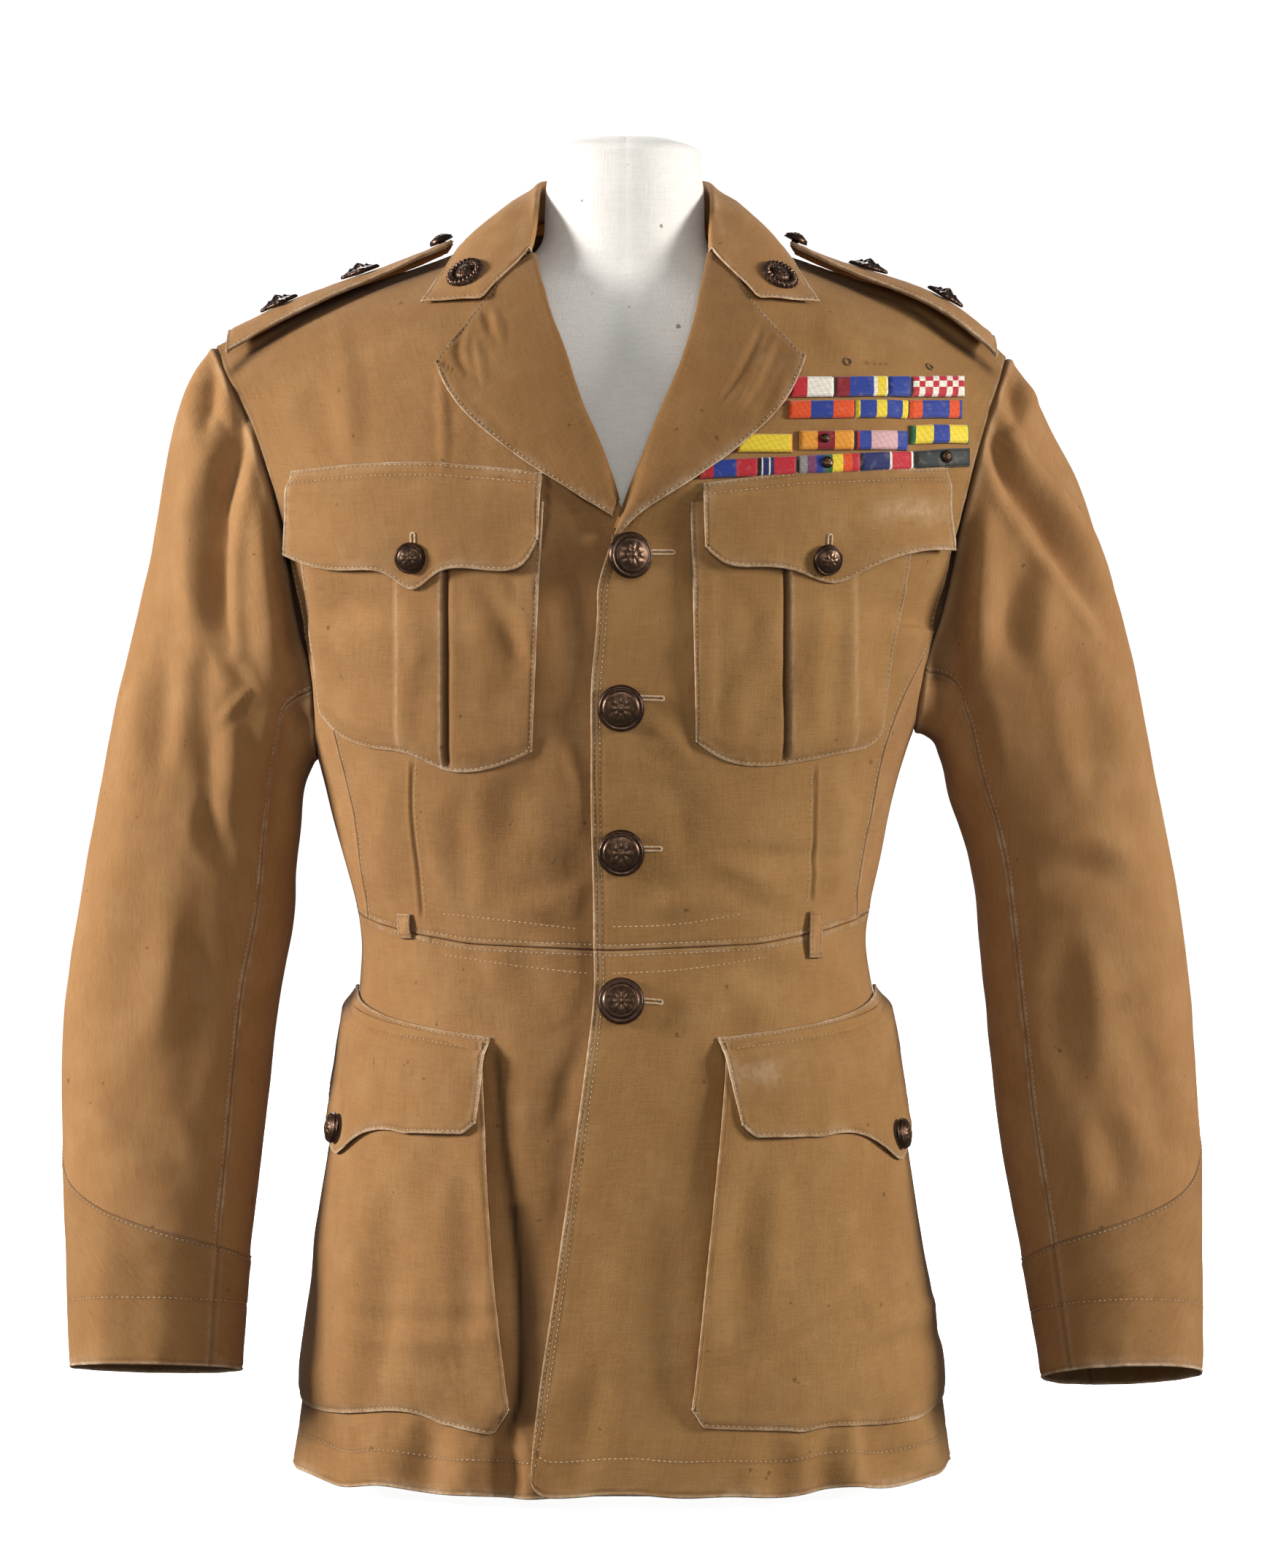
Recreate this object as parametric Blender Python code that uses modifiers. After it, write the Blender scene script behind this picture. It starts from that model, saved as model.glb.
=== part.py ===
"""Single-breasted officer's tunic of cotton drill, worn on a limbless linen dress form.

Metres, +Z up. The front faces -Y and the wearer's left is +X. The origin is on the ground,
under the middle of the form. Outlines are given as they are seen from the front, in the
upright plane through the middle of the form, and each point is moved along the line of
sight to its own depth.
"""

import math

import bpy
import numpy as np
from mathutils import Matrix, Vector
from mathutils.bvhtree import BVHTree

# ---------------------------------------------------------------- driving sizes, metres
CLOTH = 0.0016  # wall of one made-up layer
SEAM = 0.0004  # each piece stops this far from its seam line
TUCK = 0.0030  # how far the under front lies below the over front
HEM_Z = 0.009
FULLNESS = 2.3  # how square a section of the body is, where 2 is an ellipse
VIEW_DISTANCE, VIEW_X, VIEW_Z = 3.0, 0.0076, 0.46
NECK_SHIFT = 0.0025  # the neck and the top of the collar lean this far to the wearer's left
BUTTON_R, SMALL_BUTTON_R = 0.0130, 0.0088

# ---------------------------------------------------------------- tables
# Body sections: height, half width, sideways shift, front depth, back depth
BODY = (
    (0.000, 0.1905, 0.0010, 0.1490, 0.1390),
    (0.060, 0.1820, 0.0010, 0.1440, 0.1330),
    (0.135, 0.1700, -0.0010, 0.1370, 0.1250),
    (0.210, 0.1580, -0.0010, 0.1290, 0.1160),
    (0.255, 0.1515, -0.0015, 0.1235, 0.1100),
    (0.290, 0.1460, -0.0030, 0.1180, 0.1045),
    (0.313, 0.1447, -0.0040, 0.1160, 0.1025),
    (0.337, 0.1490, -0.0042, 0.1165, 0.1030),
    (0.362, 0.1556, -0.0050, 0.1180, 0.1060),
    (0.400, 0.1645, -0.0055, 0.1215, 0.1110),
    (0.438, 0.1755, -0.0040, 0.1250, 0.1160),
    (0.485, 0.1870, -0.0005, 0.1275, 0.1200),
    (0.520, 0.1930, 0.0000, 0.1280, 0.1220),
)
# Waist seam: share of the way round, height
WAIST = ((0.0, 0.3080), (0.2, 0.3110), (0.4, 0.3220), (0.5, 0.3260), (1.0, 0.3260))
# Side seams: height, share of the way round at the front seam and at the back seam
SIDE_SEAMS = (
    (0.300, 0.405, 0.640),
    (0.350, 0.390, 0.640),
    (0.390, 0.377, 0.635),
    (0.420, 0.370, 0.630),
    (0.450, 0.376, 0.618),
    (0.485, 0.412, 0.590),
)
SCYE_TOP_OF_SIDE = 0.485  # where the side body meets the armhole
SCYE_BOTTOM = {"R": 0.4130, "L": 0.4280}
# Armhole above the side body: share of the way up, seen x on each side, front depth, back depth, more x at the back
SCYE = (
    (0.00, 0.1815, 0.1785, -0.0440, 0.0500, 0.000),
    (0.15, 0.1868, 0.1860, -0.0510, 0.0580, 0.004),
    (0.28, 0.1905, 0.1905, -0.0560, 0.0630, 0.008),
    (0.44, 0.1968, 0.1970, -0.0570, 0.0650, 0.011),
    (0.60, 0.2050, 0.2035, -0.0530, 0.0630, 0.012),
    (0.77, 0.2155, 0.2110, -0.0420, 0.0530, 0.010),
    (0.91, 0.2270, 0.2180, -0.0230, 0.0320, 0.005),
    (1.00, 0.2325, 0.2225, 0.0040, 0.0040, 0.000),
)
SHOULDER_TIP_Z = {"R": 0.6500, "L": 0.6440}
# Front edge below the lapel: height, x on the over front, x on the under front
EDGE = (
    (0.000, -0.0500, 0.0430),
    (0.060, -0.0455, 0.0400),
    (0.115, -0.0380, 0.0360),
    (0.178, -0.0292, 0.0300),
    (0.273, -0.0175, 0.0210),
    (0.303, -0.0150, 0.0185),
    (0.360, -0.0155, 0.0180),
    (0.450, -0.0158, 0.0180),
    (0.500, -0.0125, 0.0165),
    (0.530, -0.0068, 0.0100),
)
# Inner edge of the upper front from the lapel break to the neck point: z in, z out as a share of the armhole, seen x for R and L (outwards), depth
ROLL = (
    (0.5550, 0.14, -0.0012, 0.0017, -0.1275),
    (0.5850, 0.28, 0.0100, 0.0133, -0.1225),
    (0.6150, 0.42, 0.0220, 0.0250, -0.1125),
    (0.6450, 0.56, 0.0323, 0.0378, -0.0985),
    (0.6720, 0.70, 0.0418, 0.0450, -0.0800),
    (0.6920, 0.81, 0.0470, 0.0490, -0.0610),
    (0.7040, 0.91, 0.0545, 0.0560, -0.0310),
    (0.7130, 1.00, 0.0620, 0.0620, 0.0040),
)
# Back above the side body: height at centre back, share of the way up the armhole, depth at centre back
BACK_ROWS = (
    (0.520, 0.14, 0.1215),
    (0.560, 0.28, 0.1215),
    (0.600, 0.44, 0.1180),
    (0.640, 0.60, 0.1085),
    (0.675, 0.75, 0.0940),
    (0.703, 0.88, 0.0760),
    (0.722, 1.00, 0.0580),
)
SHOULDER_SEAM = ((0.0620, 0.7130), (0.0930, 0.7030), (0.1380, 0.6880), (0.1850, 0.6720))
# Sleeve sections: seen outer x and z, seen inner x and z, half depth, middle depth, front lift in degrees
SLEEVE = {
    "R": (
        (0.2450, 0.6330, 0.1765, 0.4085, 0.0610, 0.004, 0),
        (0.2555, 0.6070, 0.1800, 0.4000, 0.0590, 0.005, 0),
        (0.2622, 0.5740, 0.1818, 0.3910, 0.0560, 0.006, 0),
        (0.2690, 0.5320, 0.1830, 0.3800, 0.0530, 0.008, 0),
        (0.2800, 0.4850, 0.1845, 0.3660, 0.0510, 0.010, 0),
        (0.2925, 0.4300, 0.1865, 0.3450, 0.0490, 0.012, 2),
        (0.3050, 0.3620, 0.1885, 0.3150, 0.0480, 0.012, 3),
        (0.3165, 0.2980, 0.1955, 0.2780, 0.0470, 0.006, 5),
        (0.3215, 0.2440, 0.2005, 0.2360, 0.0455, -0.004, 8),
        (0.3208, 0.1900, 0.2060, 0.1870, 0.0440, -0.018, 10),
        (0.3190, 0.1400, 0.2120, 0.1390, 0.0425, -0.031, 11),
        (0.3180, 0.0950, 0.2160, 0.0950, 0.0410, -0.042, 11),
        (0.3170, 0.0615, 0.2190, 0.0600, 0.0400, -0.050, 11),
    ),
    "L": (
        (0.2350, 0.6250, 0.1790, 0.4230, 0.0610, 0.004, 0),
        (0.2490, 0.5980, 0.1825, 0.4160, 0.0590, 0.005, 0),
        (0.2640, 0.5700, 0.1850, 0.4080, 0.0560, 0.006, 0),
        (0.2750, 0.5360, 0.1870, 0.3980, 0.0530, 0.008, 0),
        (0.2870, 0.5000, 0.1900, 0.3860, 0.0510, 0.010, 0),
        (0.2985, 0.4500, 0.1960, 0.3680, 0.0490, 0.012, 2),
        (0.3110, 0.3850, 0.2030, 0.3400, 0.0480, 0.012, 3),
        (0.3225, 0.3220, 0.2070, 0.3020, 0.0470, 0.006, 5),
        (0.3290, 0.2600, 0.2130, 0.2500, 0.0455, -0.004, 8),
        (0.3335, 0.1980, 0.2190, 0.1950, 0.0440, -0.018, 11),
        (0.3350, 0.1400, 0.2290, 0.1400, 0.0425, -0.032, 14),
        (0.3355, 0.0950, 0.2370, 0.0900, 0.0410, -0.044, 15),
        (0.3360, 0.0580, 0.2430, 0.0555, 0.0400, -0.053, 15),
    ),
}
SLEEVE_FRONT_SEAM, SLEEVE_HIND_SEAM = 133.0, -110.0  # degrees round the sleeve, 0 outwards, 90 to the front
CUFF_LOW, CUFF_RISE, CUFF_POINT, CUFF_FADE = 11.3, 1.5, -12.0, 75.0  # rows and degrees
# Collar, from the gorge to centre back: fold x y z, middle of the fall x y z, edge x y z, foot of the stand x y z
COLLAR = (
    (0.0502, -0.0486, 0.7008, 0.0782, -0.0757, 0.6723, 0.1125, -0.0600, 0.6716, 0.0557, -0.0412, 0.7010),
    (0.0490, -0.0370, 0.7140, 0.0775, -0.0450, 0.7000, 0.1025, -0.0380, 0.6890, 0.0570, -0.0310, 0.7065),
    (0.0490, -0.0210, 0.7290, 0.0755, -0.0205, 0.7190, 0.0930, -0.0140, 0.7055, 0.0585, -0.0140, 0.7120),
    (0.0485, 0.0020, 0.7400, 0.0700, 0.0040, 0.7285, 0.0860, 0.0110, 0.7110, 0.0580, 0.0040, 0.7165),
    (0.0440, 0.0280, 0.7460, 0.0600, 0.0360, 0.7320, 0.0730, 0.0460, 0.7130, 0.0500, 0.0310, 0.7215),
    (0.0260, 0.0510, 0.7480, 0.0370, 0.0620, 0.7340, 0.0440, 0.0740, 0.7120, 0.0290, 0.0500, 0.7260),
    (0.0000, 0.0600, 0.7485, 0.0000, 0.0720, 0.7345, 0.0000, 0.0860, 0.7115, 0.0000, 0.0570, 0.7280),
)
# Lapels, from the break up: seen x and z of the outer edge (outwards); the last rows run along the top edge
LAPEL_EDGE = {
    "R": ((0.0040, 0.5520), (0.0163, 0.5590), (0.0466, 0.5770), (0.0768, 0.5990), (0.0966, 0.6190), (0.1066, 0.6385)),
    "L": ((-0.0045, 0.5380), (0.0139, 0.5550), (0.0437, 0.5730), (0.0739, 0.5954), (0.0962, 0.6190), (0.1060, 0.6410)),
}
LAPEL_ROLL = {
    "R": ((0.0020, 0.5610), (0.0100, 0.5860), (0.0220, 0.6150), (0.0323, 0.6450), (0.0430, 0.6740), (0.0500, 0.7010)),
    "L": ((-0.0020, 0.5450), (0.0118, 0.5810), (0.0240, 0.6120), (0.0370, 0.6430), (0.0455, 0.6720), (0.0515, 0.7025)),
}
LAPEL_TOP = {
    "R": ((0.0500, 0.7010), (0.0579, 0.6972), (0.0651, 0.6900), (0.0722, 0.6815), (0.0793, 0.6735), (0.1066, 0.6400)),
    "L": ((0.0515, 0.7025), (0.0630, 0.6930), (0.0712, 0.6810), (0.0805, 0.6690), (0.1060, 0.6425)),
}
# Chest pockets, as seen: inner and outer edge x from top to bottom with z, and the bottom edge
CHEST_POCKET = {
    "R": {
        "top": ((0.0437, 0.560), (0.1877, 0.563)),
        "bottom": ((0.0505, 0.4165), (0.0700, 0.4080), (0.1008, 0.4060), (0.1220, 0.4150), (0.1453, 0.4190), (0.1613, 0.4265), (0.1720, 0.4390)),
        "pleat": (0.1008, 0.1275),
    },
    "L": {
        "top": ((0.0400, 0.560), (0.1720, 0.563)),
        "bottom": ((0.0430, 0.4225), (0.0585, 0.4120), (0.0940, 0.4090), (0.1120, 0.4120), (0.1300, 0.4160), (0.1450, 0.4215), (0.1505, 0.4300)),
        "pleat": (0.0960, 0.1340),
    },
}
# Flaps, as seen: top edge, then the scalloped lower edge from the inner to the outer end
CHEST_FLAP = {
    "R": {
        "top": ((0.0443, 0.5770), (0.1365, 0.5830), (0.1886, 0.5780)),
        "low": ((0.0468, 0.5390), (0.0556, 0.5235), (0.0850, 0.5220), (0.1035, 0.5190), (0.1160, 0.5100), (0.1306, 0.5190), (0.1510, 0.5220), (0.1806, 0.5270), (0.1878, 0.5310)),
    },
    "L": {
        "top": ((0.0470, 0.5710), (0.1200, 0.5790), (0.1877, 0.5800)),
        "low": ((0.0479, 0.5350), (0.0590, 0.5250), (0.0823, 0.5230), (0.1033, 0.5190), (0.1210, 0.5140), (0.1327, 0.5190), (0.1474, 0.5270), (0.1709, 0.5330), (0.1869, 0.5335)),
    },
}
# Skirt pockets on the body: share of the way round, height
SKIRT_POCKET = {
    "R": {"top": ((0.172, 0.2570), (0.505, 0.2760)), "bottom": ((0.118, 0.0560), (0.136, 0.0420), (0.200, 0.0480), (0.300, 0.0490), (0.430, 0.0470), (0.530, 0.0520))},
    "L": {"top": ((0.138, 0.2570), (0.505, 0.2760)), "bottom": ((0.073, 0.0570), (0.086, 0.0465), (0.200, 0.0430), (0.300, 0.0425), (0.430, 0.0480), (0.530, 0.0540))},
}
SKIRT_FLAP = {
    "R": {
        "top": ((0.1640, 0.2600), (0.3300, 0.2690), (0.5050, 0.2830)),
        "low": ((0.1690, 0.2125), (0.1840, 0.2060), (0.2700, 0.2050), (0.3400, 0.2005), (0.3950, 0.1890), (0.4500, 0.2040), (0.5000, 0.2150), (0.5150, 0.2210)),
    },
    "L": {
        "top": ((0.1290, 0.2600), (0.3000, 0.2680), (0.5050, 0.2830)),
        "low": ((0.1470, 0.2120), (0.1630, 0.2045), (0.2550, 0.2035), (0.3300, 0.1990), (0.3950, 0.1860), (0.4500, 0.2020), (0.4950, 0.2140), (0.5150, 0.2210)),
    },
}
# Medal ribbon bars, as seen: inner x and z, outer x and z of the middle line, height
RIBBONS = (
    (0.0974, 0.6257, 0.1970, 0.6257, 0.0118),
    (0.0962, 0.6129, 0.1957, 0.6129, 0.0105),
    (0.0668, 0.5937, 0.0987, 0.5937, 0.0109),
    (0.1021, 0.5952, 0.1651, 0.5952, 0.0113),
    (0.1663, 0.5986, 0.1995, 0.5986, 0.0109),
    (0.0445, 0.5784, 0.2000, 0.5856, 0.0108),
)
EYELETS = ((0.1306, 0.6404), (0.1777, 0.6374))
FRONT_BUTTONS = ((0.0029, 0.5290), (0.0004, 0.4417), (0.0004, 0.3585), (0.0004, 0.2729))
CHEST_BUTTONS = {"R": (0.1205, 0.5280), "L": (0.1184, 0.5270)}
SKIRT_BUTTONS = {"R": (0.4000, 0.2030), "L": (0.3950, 0.2000)}
BADGES = {"R": (0.0886, 0.6908), "L": (0.0911, 0.6895)}
BADGE_R = 0.0115
BELT_LOOPS = {"R": (0.300, 0.3130, 0.3275), "L": (0.290, 0.3020, 0.3290)}
# Shoulder straps: along the shoulder, x, half width, height over the seam
STRAP = ((0.0960, 0.0150, 0.0088), (0.1060, 0.0205, 0.0078), (0.1380, 0.0225, 0.0066), (0.1850, 0.0250, 0.0054), (0.2240, 0.0270, 0.0046))
STRAP_START, STRAP_END = {"R": 0.0962, "L": 0.0978}, {"R": 0.2255, "L": 0.2155}
STARS = {"R": (0.1490, 0.1955), "L": (0.1420, 0.1860)}
STRAP_BUTTON_X = {"R": 0.1020, "L": 0.1000}
# Dress form: height, half width, front depth, back depth
FORM = (
    (0.000, 0.1280, 0.0860, 0.0860),
    (0.015, 0.1310, 0.0890, 0.0890),
    (0.100, 0.1400, 0.0990, 0.0980),
    (0.200, 0.1380, 0.0990, 0.0960),
    (0.310, 0.1310, 0.1010, 0.0880),
    (0.400, 0.1450, 0.1060, 0.0960),
    (0.485, 0.1580, 0.1120, 0.1040),
    (0.560, 0.1640, 0.1080, 0.1020),
    (0.610, 0.1640, 0.0960, 0.0930),
    (0.640, 0.1580, 0.0830, 0.0820),
    (0.662, 0.1380, 0.0700, 0.0700),
    (0.678, 0.1080, 0.0590, 0.0610),
    (0.690, 0.0740, 0.0520, 0.0560),
    (0.702, 0.0520, 0.0490, 0.0510),
    (0.716, 0.0462, 0.0465, 0.0480),
    (0.740, 0.0455, 0.0445, 0.0470),
    (0.757, 0.0440, 0.0430, 0.0460),
    (0.764, 0.0390, 0.0380, 0.0410),
    (0.767, 0.0290, 0.0290, 0.0310),
)

COLOURS = {
    "drill": ((0.390, 0.205, 0.082), 0.88, 0.0),
    "linen": ((0.745, 0.690, 0.620), 0.90, 0.0),
    "bronze": ((0.055, 0.025, 0.016), 0.32, 0.75),
    "ribbon": ((0.280, 0.060, 0.080), 0.70, 0.0),
}


# ---------------------------------------------------------------- curves and surfaces
def spline(xs, ys, at):
    """Natural cubic through the rows of ys at xs, straight beyond the ends."""
    xs, ys, at = np.asarray(xs, float), np.asarray(ys, float), np.asarray(at, float)
    flat = ys.reshape(len(xs), -1)
    h = np.diff(xs)
    n = len(xs)
    a = np.zeros((n, n))
    b = np.zeros_like(flat)
    a[0, 0] = a[-1, -1] = 1
    for i in range(1, n - 1):
        a[i, i - 1], a[i, i], a[i, i + 1] = h[i - 1], 2 * (h[i - 1] + h[i]), h[i]
        b[i] = 6 * ((flat[i + 1] - flat[i]) / h[i] - (flat[i] - flat[i - 1]) / h[i - 1])
    m = np.linalg.solve(a, b)
    q = at.reshape(-1)
    k = np.clip(np.searchsorted(xs, q) - 1, 0, n - 2)
    t = np.clip(q, xs[0], xs[-1])
    hk = h[k][:, None]
    u, v = (xs[k + 1] - t)[:, None], (t - xs[k])[:, None]
    out = (m[k] * u**3 + m[k + 1] * v**3) / (6 * hk) + (flat[k] / hk - m[k] * hk / 6) * u + (flat[k + 1] / hk - m[k + 1] * hk / 6) * v
    slope0 = (flat[1] - flat[0]) / h[0] - h[0] * (2 * m[0] + m[1]) / 6
    slope1 = (flat[-1] - flat[-2]) / h[-1] + h[-1] * (m[-2] + 2 * m[-1]) / 6
    out += np.where(q < xs[0], q - xs[0], 0)[:, None] * slope0 + np.where(q > xs[-1], q - xs[-1], 0)[:, None] * slope1
    return out.reshape(at.shape + ys.shape[1:])


def column(table, *picks):
    rows = np.array(table, float)
    return rows[:, 0], rows[:, list(picks)] if len(picks) > 1 else rows[:, picks[0]]


def place(x, z, y):
    """The point at depth y that is seen at (x, z) from the front."""
    x, z, y = np.broadcast_arrays(np.asarray(x, float), z, y)
    share = (VIEW_DISTANCE + y) / VIEW_DISTANCE
    return np.stack([VIEW_X + (x - VIEW_X) * share, y, VIEW_Z + (z - VIEW_Z) * share], axis=-1)


def ring(theta, z):
    half, shift, front, back = np.moveaxis(spline(*column(BODY, 1, 2, 3, 4), z), -1, 0)
    s, c = np.sin(theta), np.cos(theta)
    power = 2 / FULLNESS
    x = shift + half * np.sign(s) * np.abs(s) ** power
    y = -np.where(c > 0, front, back) * np.sign(c) * np.abs(c) ** power
    return np.stack([x, y, z * np.ones_like(x)], axis=-1)


LEVELS = np.linspace(-0.02, 0.54, 57)
SHARES = np.linspace(0, 1, 129)


def shares_to_angles():
    theta = np.linspace(0, math.pi, 481)
    table = np.empty((len(LEVELS), len(SHARES)))
    for i, z in enumerate(LEVELS):
        points = ring(theta, np.full_like(theta, z))
        run = np.concatenate([[0], np.cumsum(np.linalg.norm(np.diff(points, axis=0), axis=1))])
        table[i] = np.interp(SHARES * run[-1], run, theta)
    return table


ANGLES = shares_to_angles()


def body(w, z, out=0.0):
    """Point on the cloth's outer face: w is the share of the way from centre front to centre back, negative to the wearer's right."""
    w, z, out = np.broadcast_arrays(np.asarray(w, float), np.asarray(z, float), out)
    points = body_point(w, z)
    if np.any(out != 0):
        e = 1e-3
        du = body_point(w + e, z) - body_point(w - e, z)
        dv = body_point(w, z + e) - body_point(w, z - e)
        n = np.cross(du, dv)
        n /= np.linalg.norm(n, axis=-1, keepdims=True)
        points = points + n * out[..., None]
    return points


def body_point(w, z):
    side = np.sign(w) + (w == 0)
    a = np.clip((z - LEVELS[0]) / (LEVELS[1] - LEVELS[0]), 0, len(LEVELS) - 1.001)
    b = np.clip(np.abs(w) * (len(SHARES) - 1), 0, len(SHARES) - 1.001)
    i, j = a.astype(int), b.astype(int)
    fa, fb = a - i, b - j
    theta = (ANGLES[i, j] * (1 - fb) + ANGLES[i, j + 1] * fb) * (1 - fa) + (ANGLES[i + 1, j] * (1 - fb) + ANGLES[i + 1, j + 1] * fb) * fa
    return ring(side * theta, z)


def share_at_x(x, z):
    """The share of the way round at which the front of the body is at x."""
    w = np.linspace(-0.45, 0.45, 181)
    xs = body_point(w, np.full_like(w, z))[:, 0]
    return float(np.interp(x, xs, w))


class Patch:
    """A smooth surface through rows of points, read by s along the rows and t from the first row to the last."""

    def __init__(self, rows, at, dense=(121, 81)):
        rows = np.array(rows, float)
        along = np.linspace(0, 1, rows.shape[1])
        tall = spline(at, rows, np.linspace(0, 1, dense[0]))
        self.grid = np.moveaxis(spline(along, np.moveaxis(tall, 1, 0), np.linspace(0, 1, dense[1])), 0, 1)
        self.dense = dense

    def __call__(self, s, t):
        s, t = np.broadcast_arrays(np.asarray(s, float), np.asarray(t, float))
        a, b = t * (self.dense[0] - 1), s * (self.dense[1] - 1)
        i = np.clip(a.astype(int), 0, self.dense[0] - 2)
        j = np.clip(np.floor(b).astype(int), 0, self.dense[1] - 2)
        fa, fb = (a - i)[..., None], (b - j)[..., None]
        g = self.grid
        return (g[i, j] * (1 - fb) + g[i, j + 1] * fb) * (1 - fa) + (g[i + 1, j] * (1 - fb) + g[i + 1, j + 1] * fb) * fa


def bend(start, end, n=25, flat=0.55, back=0.17, turn=0.65, drop=0.45):
    """A section from start, level across, curving round to end."""
    start, end = np.array(start, float), np.array(end, float)
    span = end - start
    c1 = start + np.array([flat * span[0], 0, flat * span[2] * drop])
    c2 = end + np.array([-back * span[0], -turn * span[1], -0.30 * span[2]])
    t = np.linspace(0, 1, n)[:, None]
    return start * (1 - t) ** 3 + 3 * c1 * t * (1 - t) ** 2 + 3 * c2 * t**2 * (1 - t) + end * t**3


def scye(side, share, at_back=False):
    """Armhole point above the side body, at a share of the way from its corner to the shoulder tip."""
    rows = np.array(SCYE)
    x, yf, yb, more = (float(spline(rows[:, 0], rows[:, k], share)) for k in ((1 if side == "R" else 2), 3, 4, 5))
    z = SCYE_TOP_OF_SIDE + share * (SHOULDER_TIP_Z[side] - SCYE_TOP_OF_SIDE)
    sign = -1 if side == "R" else 1
    if share < 0.001:
        seam = spline(*column(SIDE_SEAMS, 1, 2), SCYE_TOP_OF_SIDE)
        return body_point(np.array(sign * seam[1 if at_back else 0]), np.array(SCYE_TOP_OF_SIDE))
    front = place(sign * x, z, yf)
    return np.array([front[0] + sign * more, yb, front[2]]) if at_back else front


def edge_x(side, z):
    return float(spline(*column(EDGE, 1 if side == "L" else 2), z))


def waist(w):
    return np.interp(np.abs(w), *np.array(WAIST).T)


def front_rows(side):
    """Rows of the upper front from the waist to the shoulder seam, inner end first."""
    sign = -1 if side == "R" else 1
    rows, heights = [], []
    for z in (None, 0.340, 0.370, 0.400, 0.430, 0.458):
        level = 0.31 if z is None else z
        w_in = share_at_x(edge_x(side, level), level)
        w_out = sign * float(spline(*column(SIDE_SEAMS, 1), level))
        w = np.linspace(w_in, w_out, 25)
        rows.append(body_point(w, waist(w) if z is None else np.full_like(w, z)))
        heights.append(0.312 if z is None else z)
    level = SCYE_TOP_OF_SIDE
    w = np.linspace(share_at_x(edge_x(side, 0.500), 0.500), sign * float(spline(*column(SIDE_SEAMS, 1), level)), 25)
    rows.append(body_point(w, np.linspace(0.497, level, 25)))
    heights.append(0.494)
    w_in = edge_x(side, 0.530)
    rows.append(bend((w_in, -0.1280, 0.528), scye(side, 0.06)))
    heights.append(0.520)
    for z, share, x_r, x_l, y in ROLL:
        inner = place(sign * (x_r if side == "R" else x_l), z, y)
        outer = scye(side, share)
        if share == 1.0:
            xs = np.linspace(inner[0], outer[0], 25)
            table = SHOULDER_SEAM + ((abs(outer[0]), outer[2]),)
            zs = spline(*np.array(table).T, np.abs(xs))
            rows.append(np.stack([xs, np.full_like(xs, 0.004), zs], axis=-1))
        else:
            near_top = max(0.0, (share - 0.5) / 0.5)
            rows.append(bend(inner, outer, drop=0.45 + 0.2 * near_top, back=0.17 + 0.12 * near_top, turn=0.65 - 0.25 * near_top))
        heights.append(0.5 * (inner[2] + outer[2]) + 0.25 * share**2 * 0.12)
    return rows, heights


def back_rows(side):
    """Rows of the upper back from the waist to the shoulder seam and neck, centre back first."""
    sign = -1 if side == "R" else 1
    rows, heights = [], []
    for z in (None, 0.340, 0.370, 0.400, 0.430, 0.458, SCYE_TOP_OF_SIDE):
        level = 0.31 if z is None else z
        w = sign * np.linspace(1.0, float(spline(*column(SIDE_SEAMS, 2), level)), 25)
        rows.append(body_point(w, waist(w) if z is None else np.full_like(w, z)))
        heights.append(0.326 if z is None else z)
    for z, share, y in BACK_ROWS:
        outer = scye(side, share, True)
        if share == 1.0:
            neck = np.array([[0, 0.0580, 0.722], [0.022, 0.0555, 0.7215], [0.043, 0.041, 0.7185], [0.056, 0.021, 0.7150], [0.062, 0.004, 0.7130]])
            neck[:, 0] *= sign
            xs = np.linspace(sign * 0.062, outer[0], 18)[1:]
            table = SHOULDER_SEAM + ((abs(outer[0]), outer[2]),)
            seam = np.stack([xs, np.full_like(xs, 0.0046), spline(*np.array(table).T, np.abs(xs))], axis=-1)
            first = spline(np.linspace(0, 1, 5), neck, np.linspace(0, 1, 8))
            rows.append(np.concatenate([first, seam]))
        else:
            near_top = max(0.0, (share - 0.4) / 0.6)
            rows.append(bend((0, y, z), outer, drop=0.3 + 0.2 * near_top, back=0.17 + 0.1 * near_top, turn=0.65 - 0.25 * near_top))
        heights.append(0.5 * (z + outer[2]) + 0.35 * share**2 * 0.12)
    return rows, heights


def as_shares(heights):
    h = np.array(heights)
    return (h - h[0]) / (h[-1] - h[0])


def make_patches():
    found = {}
    for side in "RL":
        rows, heights = front_rows(side)
        found["front", side] = Patch(rows, as_shares(heights))
        rows, heights = back_rows(side)
        found["back", side] = Patch(rows, as_shares(heights))
    return found


PATCHES = make_patches()
FRONT_SCYE_T = as_shares(front_rows("R")[1])[6]
BACK_SCYE_T = as_shares(back_rows("R")[1])[6]


def side_top(side, s):
    low = SCYE_BOTTOM[side]
    return low + (SCYE_TOP_OF_SIDE - low) * np.abs(2 * s - 1) ** 2.2


def side_point(side, s, t):
    """Side body: s from the front seam to the back seam, t from the waist to the armhole."""
    sign = -1 if side == "R" else 1
    s, t = np.broadcast_arrays(np.asarray(s, float), np.asarray(t, float))
    top = side_top(side, s)
    z = 0.3255 + (top - 0.3255) * t
    seams = spline(*column(SIDE_SEAMS, 1, 2), z)
    w = seams[..., 0] + (seams[..., 1] - seams[..., 0]) * s
    z = np.where(t < 1e-6, waist(w), z)
    return body(sign * w, z)


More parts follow.
